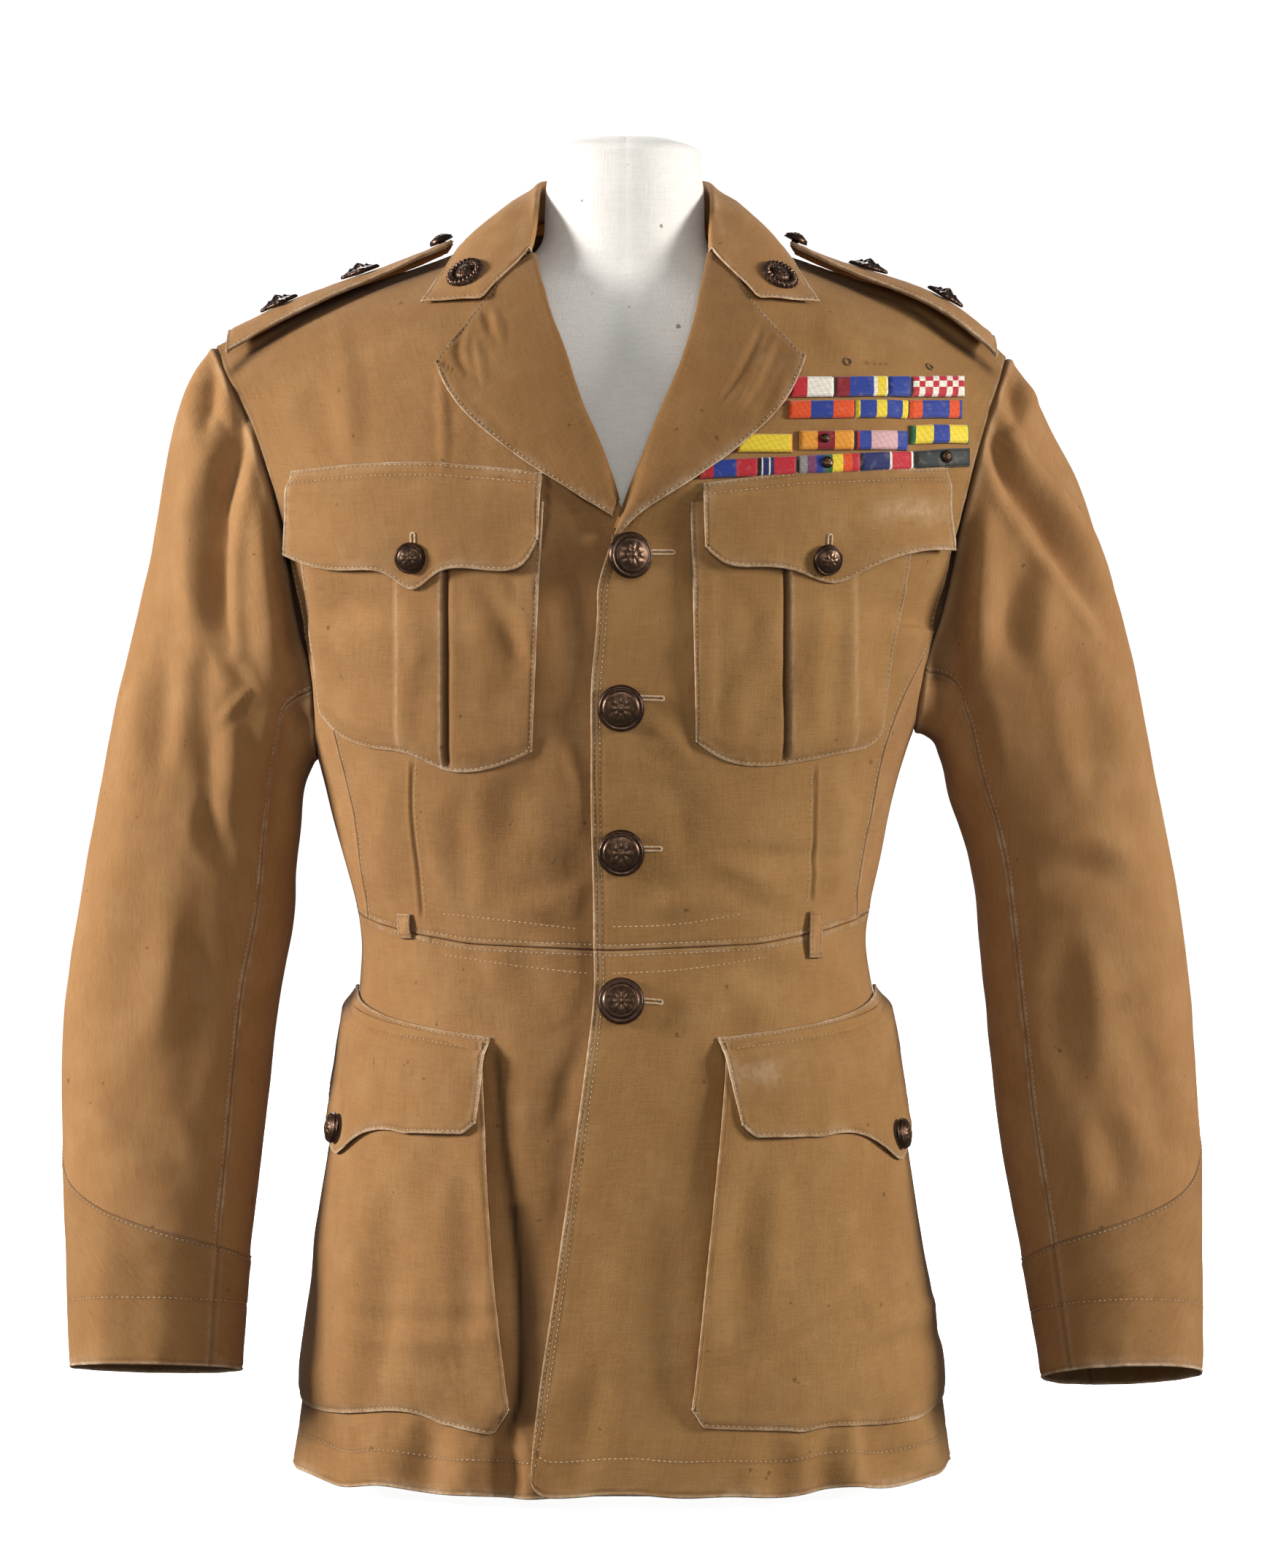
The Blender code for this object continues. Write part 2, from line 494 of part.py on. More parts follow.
def scye_loop(side, degrees):
    """Armhole seam, closed: 0 at the shoulder tip, 90 to the front, 180 at the armpit."""
    out = []
    low, tip = SCYE_BOTTOM[side], SHOULDER_TIP_Z[side]
    t = np.linspace(1, FRONT_SCYE_T, 40)
    front = np.concatenate([PATCHES["front", side](np.ones_like(t), t), side_point(side, np.linspace(0.02, 0.5, 24), 1.0)])
    t = np.linspace(1, BACK_SCYE_T, 40)
    back = np.concatenate([PATCHES["back", side](np.ones_like(t), t), side_point(side, np.linspace(0.98, 0.5, 24), 1.0)])
    for degree in np.atleast_1d(degrees):
        a = math.radians(degree)
        line = front if math.sin(a) >= 0 else back
        run = np.linspace(0, 1, len(line))
        z = line[:, 2]
        target = z[0] + (z[-1] - z[0]) * (1 - math.cos(a)) / 2
        place_at = np.interp(-target, -np.minimum.accumulate(z), run)
        out.append([np.interp(place_at, run, line[:, k]) for k in range(3)])
    return np.array(out)


SLEEVE_COLUMNS = 72


def sleeve_rows(side):
    sign = -1 if side == "R" else 1
    degrees = np.linspace(0, 360, SLEEVE_COLUMNS + 1)
    angle = np.radians(degrees)
    first = scye_loop(side, degrees)
    first[:, 0] += sign * 0.0028
    rows = [first]
    for xo, zo, xi, zi, deep, y, lift in SLEEVE[side]:
        outer, inner = place(sign * xo, zo, y), place(sign * xi, zi, y)
        mid, u = (outer + inner) / 2, (outer - inner) / 2
        a = math.radians(lift)
        v = deep * np.array([0, -math.cos(a), math.sin(a)])
        rows.append(mid + np.cos(angle)[:, None] * u + np.sin(angle)[:, None] * v)
    return np.array(rows)


SLEEVE_ROWS = {side: sleeve_rows(side) for side in "RL"}


def sleeve(side, degrees, v, out=0.0):
    """Sleeve surface: degrees round it, v in rows from the armhole (0) to the cuff's end (13)."""
    degrees, v = np.broadcast_arrays(np.asarray(degrees, float), np.asarray(v, float))

    def at(deg, row):
        rows = SLEEVE_ROWS[side]
        points = spline(np.arange(len(rows)), rows, row.reshape(-1))
        pos = (deg.reshape(-1) % 360) / 360 * SLEEVE_COLUMNS
        i = np.clip(pos.astype(int), 0, SLEEVE_COLUMNS - 1)
        f = (pos - i)[:, None]
        n = np.arange(len(pos))
        return (points[n, i] * (1 - f) + points[n, i + 1] * f).reshape(deg.shape + (3,))

    points = at(degrees, v)
    if out:
        du = at(degrees + 3, v) - at(degrees - 3, v)
        dv = at(degrees, np.clip(v + 0.05, 0, 13)) - at(degrees, np.clip(v - 0.05, 0, 13))
        n = np.cross(du, dv)
        n /= np.linalg.norm(n, axis=-1, keepdims=True)
        if side == "R":
            n = -n
        points = points + n * out
    return points


def sleeve_columns():
    """Degrees of the top sleeve's columns, one of them on the cuff's point, and of the under sleeve's."""
    top = np.concatenate([np.linspace(SLEEVE_HIND_SEAM, CUFF_POINT, 7), np.linspace(CUFF_POINT, SLEEVE_FRONT_SEAM, 9)[1:]])
    return top, np.linspace(SLEEVE_FRONT_SEAM, SLEEVE_HIND_SEAM + 360, 7)


def cuff_row(degrees):
    away = np.abs((np.asarray(degrees, float) - CUFF_POINT + 180) % 360 - 180)
    low = math.exp(-180 / CUFF_FADE)
    return CUFF_LOW - CUFF_RISE * (np.exp(-away / CUFF_FADE) - low) / (1 - low)


def tree_of(grid):
    rows, cols = grid.shape[:2]
    faces = [(r * cols + c, r * cols + c + 1, (r + 1) * cols + c + 1, (r + 1) * cols + c) for r in range(rows - 1) for c in range(cols - 1)]
    return BVHTree.FromPolygons([Vector(p) for p in grid.reshape(-1, 3)], faces)


class Seen:
    """Finds the point of the front that is seen at (x, z)."""

    def __init__(self, side, grid=None):
        self.eye = Vector((VIEW_X, -VIEW_DISTANCE, VIEW_Z))
        if grid is not None:
            self.tree = tree_of(grid)
            return
        s, t = np.meshgrid(np.linspace(-0.22, 1, 74), np.linspace(0, 1, 90))
        grid = PATCHES["front", side](s, t)
        past = grid[:, -1:] + (grid[:, -1:] - grid[:, -3:-2]) * np.linspace(0.5, 4.5, 9)[None, :, None]
        past = np.where((t[:, :1] > FRONT_SCYE_T)[..., None], past, side_point(side, np.linspace(0.02, 0.5, 9)[None], np.minimum(t[:, :1] / FRONT_SCYE_T, 1)))
        grid = np.concatenate([grid, past], axis=1)
        self.tree = tree_of(grid)

    def one(self, x, z):
        ray = (Vector((x, 0, z)) - self.eye).normalized()
        hit = self.tree.ray_cast(self.eye, ray)[0]
        if hit is None:
            hit = self.tree.find_nearest(Vector((x, -0.10, z)))[0]
        return np.array(hit)

    def __call__(self, x, z, out=0.0):
        x, z, out = np.broadcast_arrays(np.asarray(x, float), np.asarray(z, float), out)
        points = np.empty(x.shape + (3,))
        e = 0.004
        for k in np.ndindex(x.shape):
            p = self.one(x[k], z[k])
            du = self.one(x[k] + e, z[k]) - self.one(x[k] - e, z[k])
            dv = self.one(x[k], z[k] + e) - self.one(x[k], z[k] - e)
            n = np.cross(du, dv)
            n /= np.linalg.norm(n) or 1
            points[k] = p + n * out[k]
        return points


SEEN = {side: Seen(side) for side in "RL"}


# ---------------------------------------------------------------- objects
def material(name):
    found = bpy.data.materials.get(name)
    if found:
        return found
    colour, rough, metal = COLOURS[name.split(".")[0]]
    made = bpy.data.materials.new(name)
    made.use_nodes = True
    shader = made.node_tree.nodes["Principled BSDF"]
    shader.inputs["Base Color"].default_value = (*colour, 1)
    shader.inputs["Roughness"].default_value = rough
    shader.inputs["Metallic"].default_value = metal
    return made


def link(obj, name, finish):
    obj.data.materials.clear()
    made = material(finish).copy()
    made.name = finish + "." + name
    obj.data.materials.append(made)
    TUNIC.objects.link(obj)
    return obj


def inset(grid, by):
    """Pulls the named edges of a grid in along its surface: by is (s low, s high, t low, t high) in metres."""
    grid = grid.copy()

    def pull(edge, near, amount):
        step = near - edge
        return edge + step / np.linalg.norm(step, axis=-1, keepdims=True).clip(1e-6) * amount

    if by[0]:
        grid[:, 0] = pull(grid[:, 0], grid[:, 1], by[0])
    if by[1]:
        grid[:, -1] = pull(grid[:, -1], grid[:, -2], by[1])
    if by[2]:
        grid[0] = pull(grid[0], grid[1], by[2])
    if by[3]:
        grid[-1] = pull(grid[-1], grid[-2], by[3])
    return grid


def cloth(name, grid, thick=CLOTH, around=None, finish="drill", edges=(SEAM,) * 4, loop=False):
    """A wall of cloth on a grid of points, its outer face on the grid."""
    if not loop:
        grid = inset(grid, edges)
    rows, cols = grid.shape[:2]
    points = grid.reshape(-1, 3)
    wrap = cols if loop else cols - 1
    faces = [(r * cols + c, r * cols + (c + 1) % cols, (r + 1) * cols + (c + 1) % cols, (r + 1) * cols + c) for r in range(rows - 1) for c in range(wrap)]
    centre = around if around is not None else np.array([0, 0.005, 0])
    total = 0.0
    for a, b, c, d in faces:
        n = np.cross(points[c] - points[a], points[d] - points[b])
        middle = (points[a] + points[b] + points[c] + points[d]) / 4
        ref = centre(middle) if callable(centre) else np.array([centre[0], centre[1], middle[2]])
        total += n @ (middle - ref)
    if total < 0:
        faces = [face[::-1] for face in faces]
    mesh = bpy.data.meshes.new(name)
    mesh.from_pydata([tuple(p) for p in points], [], faces)
    mesh.shade_smooth()
    obj = bpy.data.objects.new(name, mesh)
    wall = obj.modifiers.new("wall", "SOLIDIFY")
    wall.thickness = thick
    wall.offset = -1
    return link(obj, name, finish)


def frame_at(point, normal):
    z = Vector(normal).normalized()
    x = Vector((0, 0, 1)).cross(z)
    x = x.normalized() if x.length > 1e-4 else Vector((1, 0, 0))
    y = z.cross(x)
    turn = Matrix((x, y, z)).transposed().to_4x4()
    return Matrix.Translation(Vector(point)) @ turn


def turned(name, profile, steps, at, finish="bronze"):
    """A profile of (radius, height) from the top of its outer side down, turned about Z."""
    mesh = bpy.data.meshes.new(name)
    mesh.from_pydata([(r, 0, h) for r, h in profile], [(i, i + 1) for i in range(len(profile) - 1)], [])
    obj = bpy.data.objects.new(name, mesh)
    turn = obj.modifiers.new("turn", "SCREW")
    turn.steps = turn.render_steps = steps
    turn.use_merge_vertices = True
    turn.merge_threshold = 0.00001
    turn.use_smooth_shade = True
    obj.matrix_world = at
    return link(obj, name, finish)


def normal_of(surface, a, b, e):
    du = surface(a + e, b) - surface(a - e, b)
    dv = surface(a, b + e) - surface(a, b - e)
    n = np.cross(du, dv)
    return n / np.linalg.norm(n)


def button(name, radius, point, normal, lift):
    """A domed shank button whose shank ends lift above the point."""
    r = radius
    dome = [(0.0, 0.0052), (0.55 * r, 0.0046), (0.88 * r, 0.0031), (r, 0.0016), (0.92 * r, 0.0007), (0.24 * r, 0.0007), (0.24 * r, -0.0012), (0.0, -0.0012)]
    base = np.array(point) + np.array(normal) * (lift + 0.0012)
    return turned(name, dome, 14, frame_at(base, normal))


def line_through(points, n, smooth=True):
    pts = np.array(points, float)
    run = np.concatenate([[0], np.cumsum(np.linalg.norm(np.diff(pts, axis=0), axis=1))])
    at = np.linspace(0, run[-1], n)
    if smooth and len(pts) > 2:
        return spline(run, pts, at)
    return np.stack([np.interp(at, run, pts[:, k]) for k in range(pts.shape[1])], axis=-1)


def between(top, low, n_rows):
    """Rows of points from one line to another."""
    t = np.linspace(0, 1, n_rows)[:, None, None]
    return top[None] * (1 - t) + low[None] * t


# ---------------------------------------------------------------- the tunic
def tuck_below(grid, surface_normals, side):
    """Moves the hidden edge of the under front in below the over front."""
    if side != "R":
        return grid
    x_over = spline(*column(EDGE, 1), np.clip(grid[..., 2], 0, 0.53))
    depth = np.clip((grid[..., 0] - x_over + 0.030) / 0.026, 0, 1)
    depth = depth * depth * (3 - 2 * depth) * TUCK * 1.05
    return grid - surface_normals * depth[..., None]


def grid_normals(grid):
    du, dv = np.gradient(grid, axis=1), np.gradient(grid, axis=0)
    n = np.cross(du, dv)
    n /= np.linalg.norm(n, axis=-1, keepdims=True)
    middle = grid - np.array([0, 0.005, 0])
    middle[..., 2] = 0
    return n * np.sign((n * middle).sum(-1, keepdims=True))


def build_body():
    for side in "RL":
        sign = -1 if side == "R" else 1
        front_t, back_t = (np.concatenate([np.linspace(0, share, 7), share + (1 - share) * np.linspace(0, 1, 9)[1:] ** 1.25])[:, None] for share in (FRONT_SCYE_T, BACK_SCYE_T))
        grid = PATCHES["front", side](np.linspace(0, 1, 11)[None], front_t)
        grid = tuck_below(grid, grid_normals(grid), side)
        cloth("front_" + side, grid, edges=(0, SEAM, SEAM, 2.5 * SEAM))
        grid = PATCHES["back", side](np.linspace(0, 1, 8)[None], back_t)
        cloth("back_" + side, grid, edges=(SEAM, SEAM, SEAM, 2.5 * SEAM))
        grid = side_point(side, np.linspace(0, 1, 6)[None], np.linspace(0, 1, 7)[:, None])
        grid[:, 0] = PATCHES["front", side](1.0, front_t[:7, 0])
        grid[:, -1] = PATCHES["back", side](1.0, back_t[:7, 0])
        cloth("side_" + side, grid, edges=(2.5 * SEAM, 2.5 * SEAM, SEAM, SEAM))
        s, t = np.meshgrid(np.linspace(0, 1, 11), np.linspace(0, 1, 7))
        grid = np.empty(s.shape + (3,))
        for k in np.ndindex(s.shape):
            z = HEM_Z + (0.3255 - HEM_Z) * t[k]
            w_in = share_at_x(edge_x(side, min(z, 0.305)), z)
            w = w_in + (sign * 0.62 - w_in) * s[k]
            top = float(waist(w))
            z = HEM_Z + (top - HEM_Z) * t[k]
            grid[k] = body(w, z)
        grid = tuck_below(grid, grid_normals(grid), side)
        cloth("skirt_front_" + side, grid, edges=(0, SEAM, 0, SEAM))
        s, t = np.meshgrid(np.linspace(0, 1, 7), np.linspace(0, 1, 6))
        w = 0.62 + 0.38 * s
        grid = body(sign * w, HEM_Z + (waist(w) - HEM_Z) * t)
        cloth("skirt_back_" + side, grid, edges=(SEAM, SEAM, 0, SEAM))


def build_sleeves():
    for side in "RL":
        rows = SLEEVE_ROWS[side]
        axis = rows[:, :-1].mean(axis=1)

        def middle(p, axis=axis):
            return axis[np.argmin(np.linalg.norm(axis - p, axis=1))]

        top, under = sleeve_columns()
        for name, columns in (("top", top), ("under", under)):
            s, t = np.meshgrid(columns, np.linspace(0, 1, 12))
            grid = sleeve(side, s, t**0.9 * cuff_row(s))
            cloth(f"sleeve_{name}_{side}", grid, around=middle, edges=(1.6 * SEAM, 1.6 * SEAM, SEAM, SEAM))
        s, t = np.meshgrid(np.concatenate([top, under[1:-1]]), np.linspace(0, 1, 3))
        start = cuff_row(s) + 0.012
        grid = sleeve(side, s, start + (13 - start) * t)
        cloth(f"cuff_{side}", grid, around=middle, loop=True)


def lapel_grid(side, rows=9, cols=7):
    sign = -1 if side == "R" else 1
    roll = line_through(LAPEL_ROLL[side], rows)
    edge = line_through(LAPEL_EDGE[side], rows)
    top = line_through(LAPEL_TOP[side], cols, smooth=False)
    s = np.linspace(0, 1, cols)
    flat = np.empty((rows, cols, 2))
    for r in range(rows):
        t = r / (rows - 1)
        straight = roll[r] * (1 - s[:, None]) + edge[r] * s[:, None]
        last = roll[-1] * (1 - s[:, None]) + edge[-1] * s[:, None]
        flat[r] = straight + (top - last) * t**3
    return sign * flat[..., 0], flat[..., 1], np.broadcast_to(s, (rows, cols))


def build_lapels_and_collar():
    for side in "RL":
        x, z, s = lapel_grid(side)
        t = np.linspace(0, 1, len(x))[:, None]
        out = 0.0026 + 0.0030 * np.sin(np.pi * np.clip(s, 0, 1)) ** 0.8 * (1 - t**3)
        out = out + (0.0008 + 0.0009 * (1 - s)) * np.clip((z - 0.672) / 0.012, 0, 1)
        if side == "L":
            out = out + 0.0034 * s * np.clip((0.645 - z) / 0.008, 0, 1)
        cloth("lapel_" + side, SEEN[side](x, z, out), edges=(0, 0, 0, 0.0020))
    half = np.array(COLLAR)
    back = half.copy()
    back[:, 0::3] *= -1
    whole = np.concatenate([back, half[::-1][1:]])
    for k in (0, 3, 6, 9):
        whole[:, k] += NECK_SHIFT * np.clip((whole[:, k + 2] - 0.700) / 0.025, 0, 1)
    at = np.linspace(0, 1, len(whole))
    v = np.linspace(0, 1, 21)
    lines = spline(at, whole, v)
    fold, mid, edge, foot = lines[:, 0:3], lines[:, 3:6], lines[:, 6:9], lines[:, 9:12]
    centre = np.array([0, 0.002, 0.0])
    radial = fold - centre
    radial[:, 2] = 0
    radial /= np.linalg.norm(radial, axis=1, keepdims=True)
    profile = []
    top = fold + radial * 0.0018
    for k in (0.0, 0.35, 0.7):
        profile.append(foot * (1 - k) + (fold - np.array([0, 0, 0.002])) * k)
    profile.append(fold - radial * 0.0002 - np.array([0, 0, 0.0006]))
    profile.append(top + np.array([0, 0, 0.0009]))
    profile.append(fold + radial * 0.0040 - np.array([0, 0, 0.0006]))
    start = profile[-1]
    for k in (0.28, 0.5, 0.76, 1.0):
        mid2 = 2 * mid - 0.5 * (start + edge)
        profile.append(start * (1 - k) ** 2 + mid2 * 2 * k * (1 - k) + edge * k * k)
    grid = np.array(profile)

    def inside(p):
        """A point between the stand and the fall, on the inner side of the fold."""
        k = np.argmin(np.linalg.norm(fold - p, axis=1))
        return 0.5 * (foot[k] + edge[k])

    cloth("collar", grid, thick=0.0014, around=inside, edges=(0.0004, 0.0004, 0, 0))
    return grid


def pocket_grid(shape, rows, cols):
    top = line_through(shape["top"], cols)
    low = line_through(shape["bottom"], cols)
    return between(top, low, rows)


def flap_grid(shape, rows, cols):
    return between(line_through(shape["top"], cols), line_through(shape["low"], cols), rows)


def build_pockets():
    for side in "RL":
        sign = -1 if side == "R" else 1
        flat = pocket_grid(CHEST_POCKET[side], 6, 13)
        x, z = flat[..., 0], flat[..., 1]
        p0, p1 = CHEST_POCKET[side]["pleat"]
        up = np.clip((x - p0 + 0.004) / 0.003, 0, 1) * np.clip((p1 + 0.004 - x) / 0.003, 0, 1)
        cloth("chest_pocket_" + side, SEEN[side](sign * x, z, 0.0034 + 0.0008 * up), edges=(0,) * 4)
        flat = flap_grid(CHEST_FLAP[side], 4, 15)
        t = np.linspace(0, 1, 4)[:, None]
        out = 0.0054 + 0.0010 * np.clip(t * 3, 0, 1) + 0 * flat[..., 0]
        cloth("chest_flap_" + side, SEEN[side](sign * flat[..., 0], flat[..., 1], out), edges=(0,) * 4)

        flat = pocket_grid(SKIRT_POCKET[side], 7, 11)
        t, s = np.meshgrid(np.linspace(0, 1, 7), np.linspace(0, 1, 11), indexing="ij")
        out = 0.0042 + 0.0024 * np.sin(np.pi * np.clip(s, 0, 1)) ** 0.5 * np.sin(np.pi * np.clip(0.15 + 0.7 * t, 0, 1))
        cloth("skirt_pocket_" + side, body(sign * flat[..., 0], flat[..., 1], out), thick=0.0026, edges=(0,) * 4)
        flat = flap_grid(SKIRT_FLAP[side], 4, 13)
        t, s = np.meshgrid(np.linspace(0, 1, 4), np.linspace(0, 1, 13), indexing="ij")
        out = 0.0082 + 0.0008 * t
        cloth("skirt_flap_" + side, body(sign * flat[..., 0], flat[..., 1], out), edges=(0,) * 4)


def strap_point(side, x, across, up=0.0):
    """Shoulder strap: x along the shoulder, across from -1 (front) to 1 (back)."""
    sign = -1 if side == "R" else 1
    tip = scye(side, 1.0)
    seam = spline(*np.array(SHOULDER_SEAM + ((abs(tip[0]), tip[2]),)).T, x)
    half, rise = np.moveaxis(spline(*column(STRAP, 1, 2), x), -1, 0)
    far = np.clip((np.asarray(x) - 0.10) / 0.12, 0, 1)
    y = 0.002 + across * half
    z = seam + rise + up - (0.003 + 0.0085 * far) * np.abs(across) ** 2 + 0.0022 * far * across
    return np.stack([sign * x * np.ones_like(y), y, z], axis=-1)


def build_straps():
    for side in "RL":
        x, a = np.meshgrid(np.linspace(STRAP_START[side], STRAP_END[side], 8), np.linspace(-1, 1, 5))
        grid = strap_point(side, x, a)
        low = grid[..., 2].min()

        def under(p, low=low):
            return p - np.array([0, 0, 0.05])

        cloth("shoulder_strap_" + side, grid, thick=0.0026, around=under, edges=(0,) * 4)


def strap_normal(side, x):
    e = 0.003
    du = strap_point(side, np.array(x + e), np.array(0.0)) - strap_point(side, np.array(x - e), np.array(0.0))
    dv = strap_point(side, np.array(x), np.array(0.1)) - strap_point(side, np.array(x), np.array(-0.1))
    n = np.cross(du, dv)
    return n / np.linalg.norm(n) * np.sign(n[2])


def star(name, radius, at):
    """A four-pointed rank star with a raised middle."""
    points = []
    for k in range(16):
        a = math.tau * k / 16
        r = radius * (1.0 if k % 4 == 0 else 0.72 if k % 4 == 2 else 0.62)
        points.append((r * math.cos(a), r * math.sin(a)))
    curve = bpy.data.curves.new(name, "CURVE")
    curve.dimensions = "2D"
    curve.fill_mode = "BOTH"
    curve.extrude = 0.0012
    line = curve.splines.new("POLY")
    line.points.add(len(points) - 1)
    for p, (x, y) in zip(line.points, points):
        p.co = (x, y, 0, 1)
    line.use_cyclic_u = True
    obj = bpy.data.objects.new(name, curve)
    obj.matrix_world = at
    return link(obj, name, "bronze")


def build_metal(collar):
    collar_seen = Seen(None, collar)
    for number, (x, z) in enumerate(FRONT_BUTTONS, 1):
        surface = SEEN["L"] if number < 4 else None
        if surface:
            point, normal = surface(x, z), normal_of(surface, x, z, 0.004)
        else:
            w = share_at_x(place(x, z, -0.12)[0], z)
            point = body(w, place(x, z, -0.12)[2])
            normal = normal_of(body, w, z, 0.002)
        button(f"button_{number}", BUTTON_R, point, normal, 0.0052 if number == 1 else 0.0006)
    for side in "RL":
        sign = -1 if side == "R" else 1
        x, z = CHEST_BUTTONS[side]
        surface = SEEN[side]
        button("chest_button_" + side, SMALL_BUTTON_R, surface(sign * x, z), normal_of(surface, sign * x, z, 0.004), 0.0070)
        w, z = SKIRT_BUTTONS[side]
        button("skirt_button_" + side, SMALL_BUTTON_R, body(sign * w, z), normal_of(body, sign * w, z, 0.002), 0.0100)
        x = STRAP_BUTTON_X[side]
        button("strap_button_" + side, 0.0072, strap_point(side, np.array(x), np.array(0.0)), strap_normal(side, x), 0.0006)
        for k, x in enumerate(STARS[side]):
            n = strap_normal(side, x)
            star(f"star_{side}{k + 1}", 0.0118, frame_at(strap_point(side, np.array(x), np.array(0.0)) + n * 0.0020, n))
        x, z = BADGES[side]
        surface = collar_seen
        rim = [(0.0, 0.0040), (0.4 * BADGE_R, 0.0036), (0.62 * BADGE_R, 0.0018), (0.80 * BADGE_R, 0.0030), (BADGE_R, 0.0014), (0.94 * BADGE_R, 0.0), (0.0, 0.0)]
        normal = normal_of(surface, sign * x, z, 0.004)
        turned("badge_" + side, rim, 14, frame_at(surface(sign * x, z) + normal * 0.0018, normal))
    for number, (x, z) in enumerate(EYELETS, 1):
        surface = SEEN["L"]
        normal = normal_of(surface, x, z, 0.004)
        ring_mesh = [(0.0026, 0.0006), (0.0026, 0.0), (0.0013, 0.0), (0.0013, 0.0006), (0.0020, 0.0010), (0.0026, 0.0006)]
        turned(f"eyelet_{number}", ring_mesh, 10, frame_at(surface(x, z) + normal * 0.0005, normal))


def build_ribbons():
    surface = SEEN["L"]
    for number, (x0, z0, x1, z1, tall) in enumerate(RIBBONS, 1):
        cols = 3 + int((x1 - x0) / 0.016)
        x, t = np.meshgrid(np.linspace(x0, x1, cols), np.linspace(-0.5, 0.5, 3))
        z = z0 + (z1 - z0) * (x - x0) / (x1 - x0) + t * tall
        cloth(f"ribbon_{number}", surface(x, z, 0.0030), thick=0.0020, finish="ribbon", edges=(0,) * 4)


def build_loops():
    for side in "RL":
        sign = -1 if side == "R" else 1
        w, low, high = BELT_LOOPS[side]
        x, z = np.meshgrid(np.linspace(w - 0.011, w + 0.011, 3), np.linspace(low, high, 3))
        cloth("belt_loop_" + side, body(sign * x, z, 0.0030), edges=(0,) * 4)


def build_form():
    rows = []
    heights = np.array([r[0] for r in FORM])
    angle = np.linspace(0, math.tau, 31)[:-1]
    for z in heights:
        half, front, back = spline(*column(FORM, 1, 2, 3), z)
        s, c = np.sin(angle), np.cos(angle)
        full = 2.0 + 0.25 * float(np.clip((0.66 - z) / 0.1, 0, 1))
        x = NECK_SHIFT * float(np.clip((z - 0.680) / 0.030, 0, 1)) + half * np.sign(s) * np.abs(s) ** (2 / full)
        y = 0.003 - np.where(c > 0, front, back) * np.sign(c) * np.abs(c) ** (2 / full)
        rows.append(np.stack([x, y, np.full_like(x, z)], axis=-1))
    grid = np.array(rows)
    count = grid.shape[1]
    points = [tuple(p) for p in grid.reshape(-1, 3)]
    faces = [(r * count + c, r * count + (c + 1) % count, (r + 1) * count + (c + 1) % count, (r + 1) * count + c) for r in range(len(grid) - 1) for c in range(count)]
    faces.append(tuple(range(count))[::-1])
    faces.append(tuple((len(grid) - 1) * count + c for c in range(count)))
    mesh = bpy.data.meshes.new("dress_form")
    mesh.from_pydata(points, [], faces)
    mesh.shade_smooth()
    link(bpy.data.objects.new("dress_form", mesh), "dress_form", "linen")


for old in list(bpy.data.objects):
    bpy.data.objects.remove(old, do_unlink=True)
TUNIC = bpy.data.collections.new("tunic_on_form")
bpy.context.scene.collection.children.link(TUNIC)
build_form()
build_body()
build_sleeves()
collar_grid = build_lapels_and_collar()
build_pockets()
build_straps()
build_metal(collar_grid)
build_ribbons()
build_loops()
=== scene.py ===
"""Looks of a cotton drill service tunic on a limbless linen dress form.

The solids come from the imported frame. Each cloth piece is rebuilt here on the same surface,
in finer cloth with its folds, rolled edges, seams and stitching.
"""

import math

import bpy
import numpy as np
from mathutils import Matrix, Vector
from mathutils.bvhtree import BVHTree


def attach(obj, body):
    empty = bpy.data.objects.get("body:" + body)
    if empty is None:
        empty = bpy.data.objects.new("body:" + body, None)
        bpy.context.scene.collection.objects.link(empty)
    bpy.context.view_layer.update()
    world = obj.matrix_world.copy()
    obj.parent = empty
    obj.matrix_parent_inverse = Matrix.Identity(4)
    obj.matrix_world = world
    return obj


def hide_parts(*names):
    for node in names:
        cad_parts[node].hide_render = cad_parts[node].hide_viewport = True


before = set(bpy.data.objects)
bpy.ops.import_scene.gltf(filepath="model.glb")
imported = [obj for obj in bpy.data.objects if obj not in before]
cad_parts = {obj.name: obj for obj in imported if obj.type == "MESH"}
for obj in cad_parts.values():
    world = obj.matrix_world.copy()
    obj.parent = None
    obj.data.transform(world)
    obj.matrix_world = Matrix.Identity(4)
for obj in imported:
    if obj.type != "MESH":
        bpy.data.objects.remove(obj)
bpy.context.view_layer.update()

# ---------------------------------------------------------------- driving sizes, metres
CLOTH = 0.0016  # wall of one made-up layer
SEAM = 0.0004  # each piece stops this far from its seam line
TUCK = 0.0030  # how far the under front lies below the over front
HEM_Z = 0.009
FULLNESS = 2.3  # how square a section of the body is, where 2 is an ellipse
VIEW_DISTANCE, VIEW_X, VIEW_Z = 3.0, 0.0076, 0.46
NECK_SHIFT = 0.0025  # the neck and the top of the collar lean this far to the wearer's left
BUTTON_R, SMALL_BUTTON_R = 0.0130, 0.0088

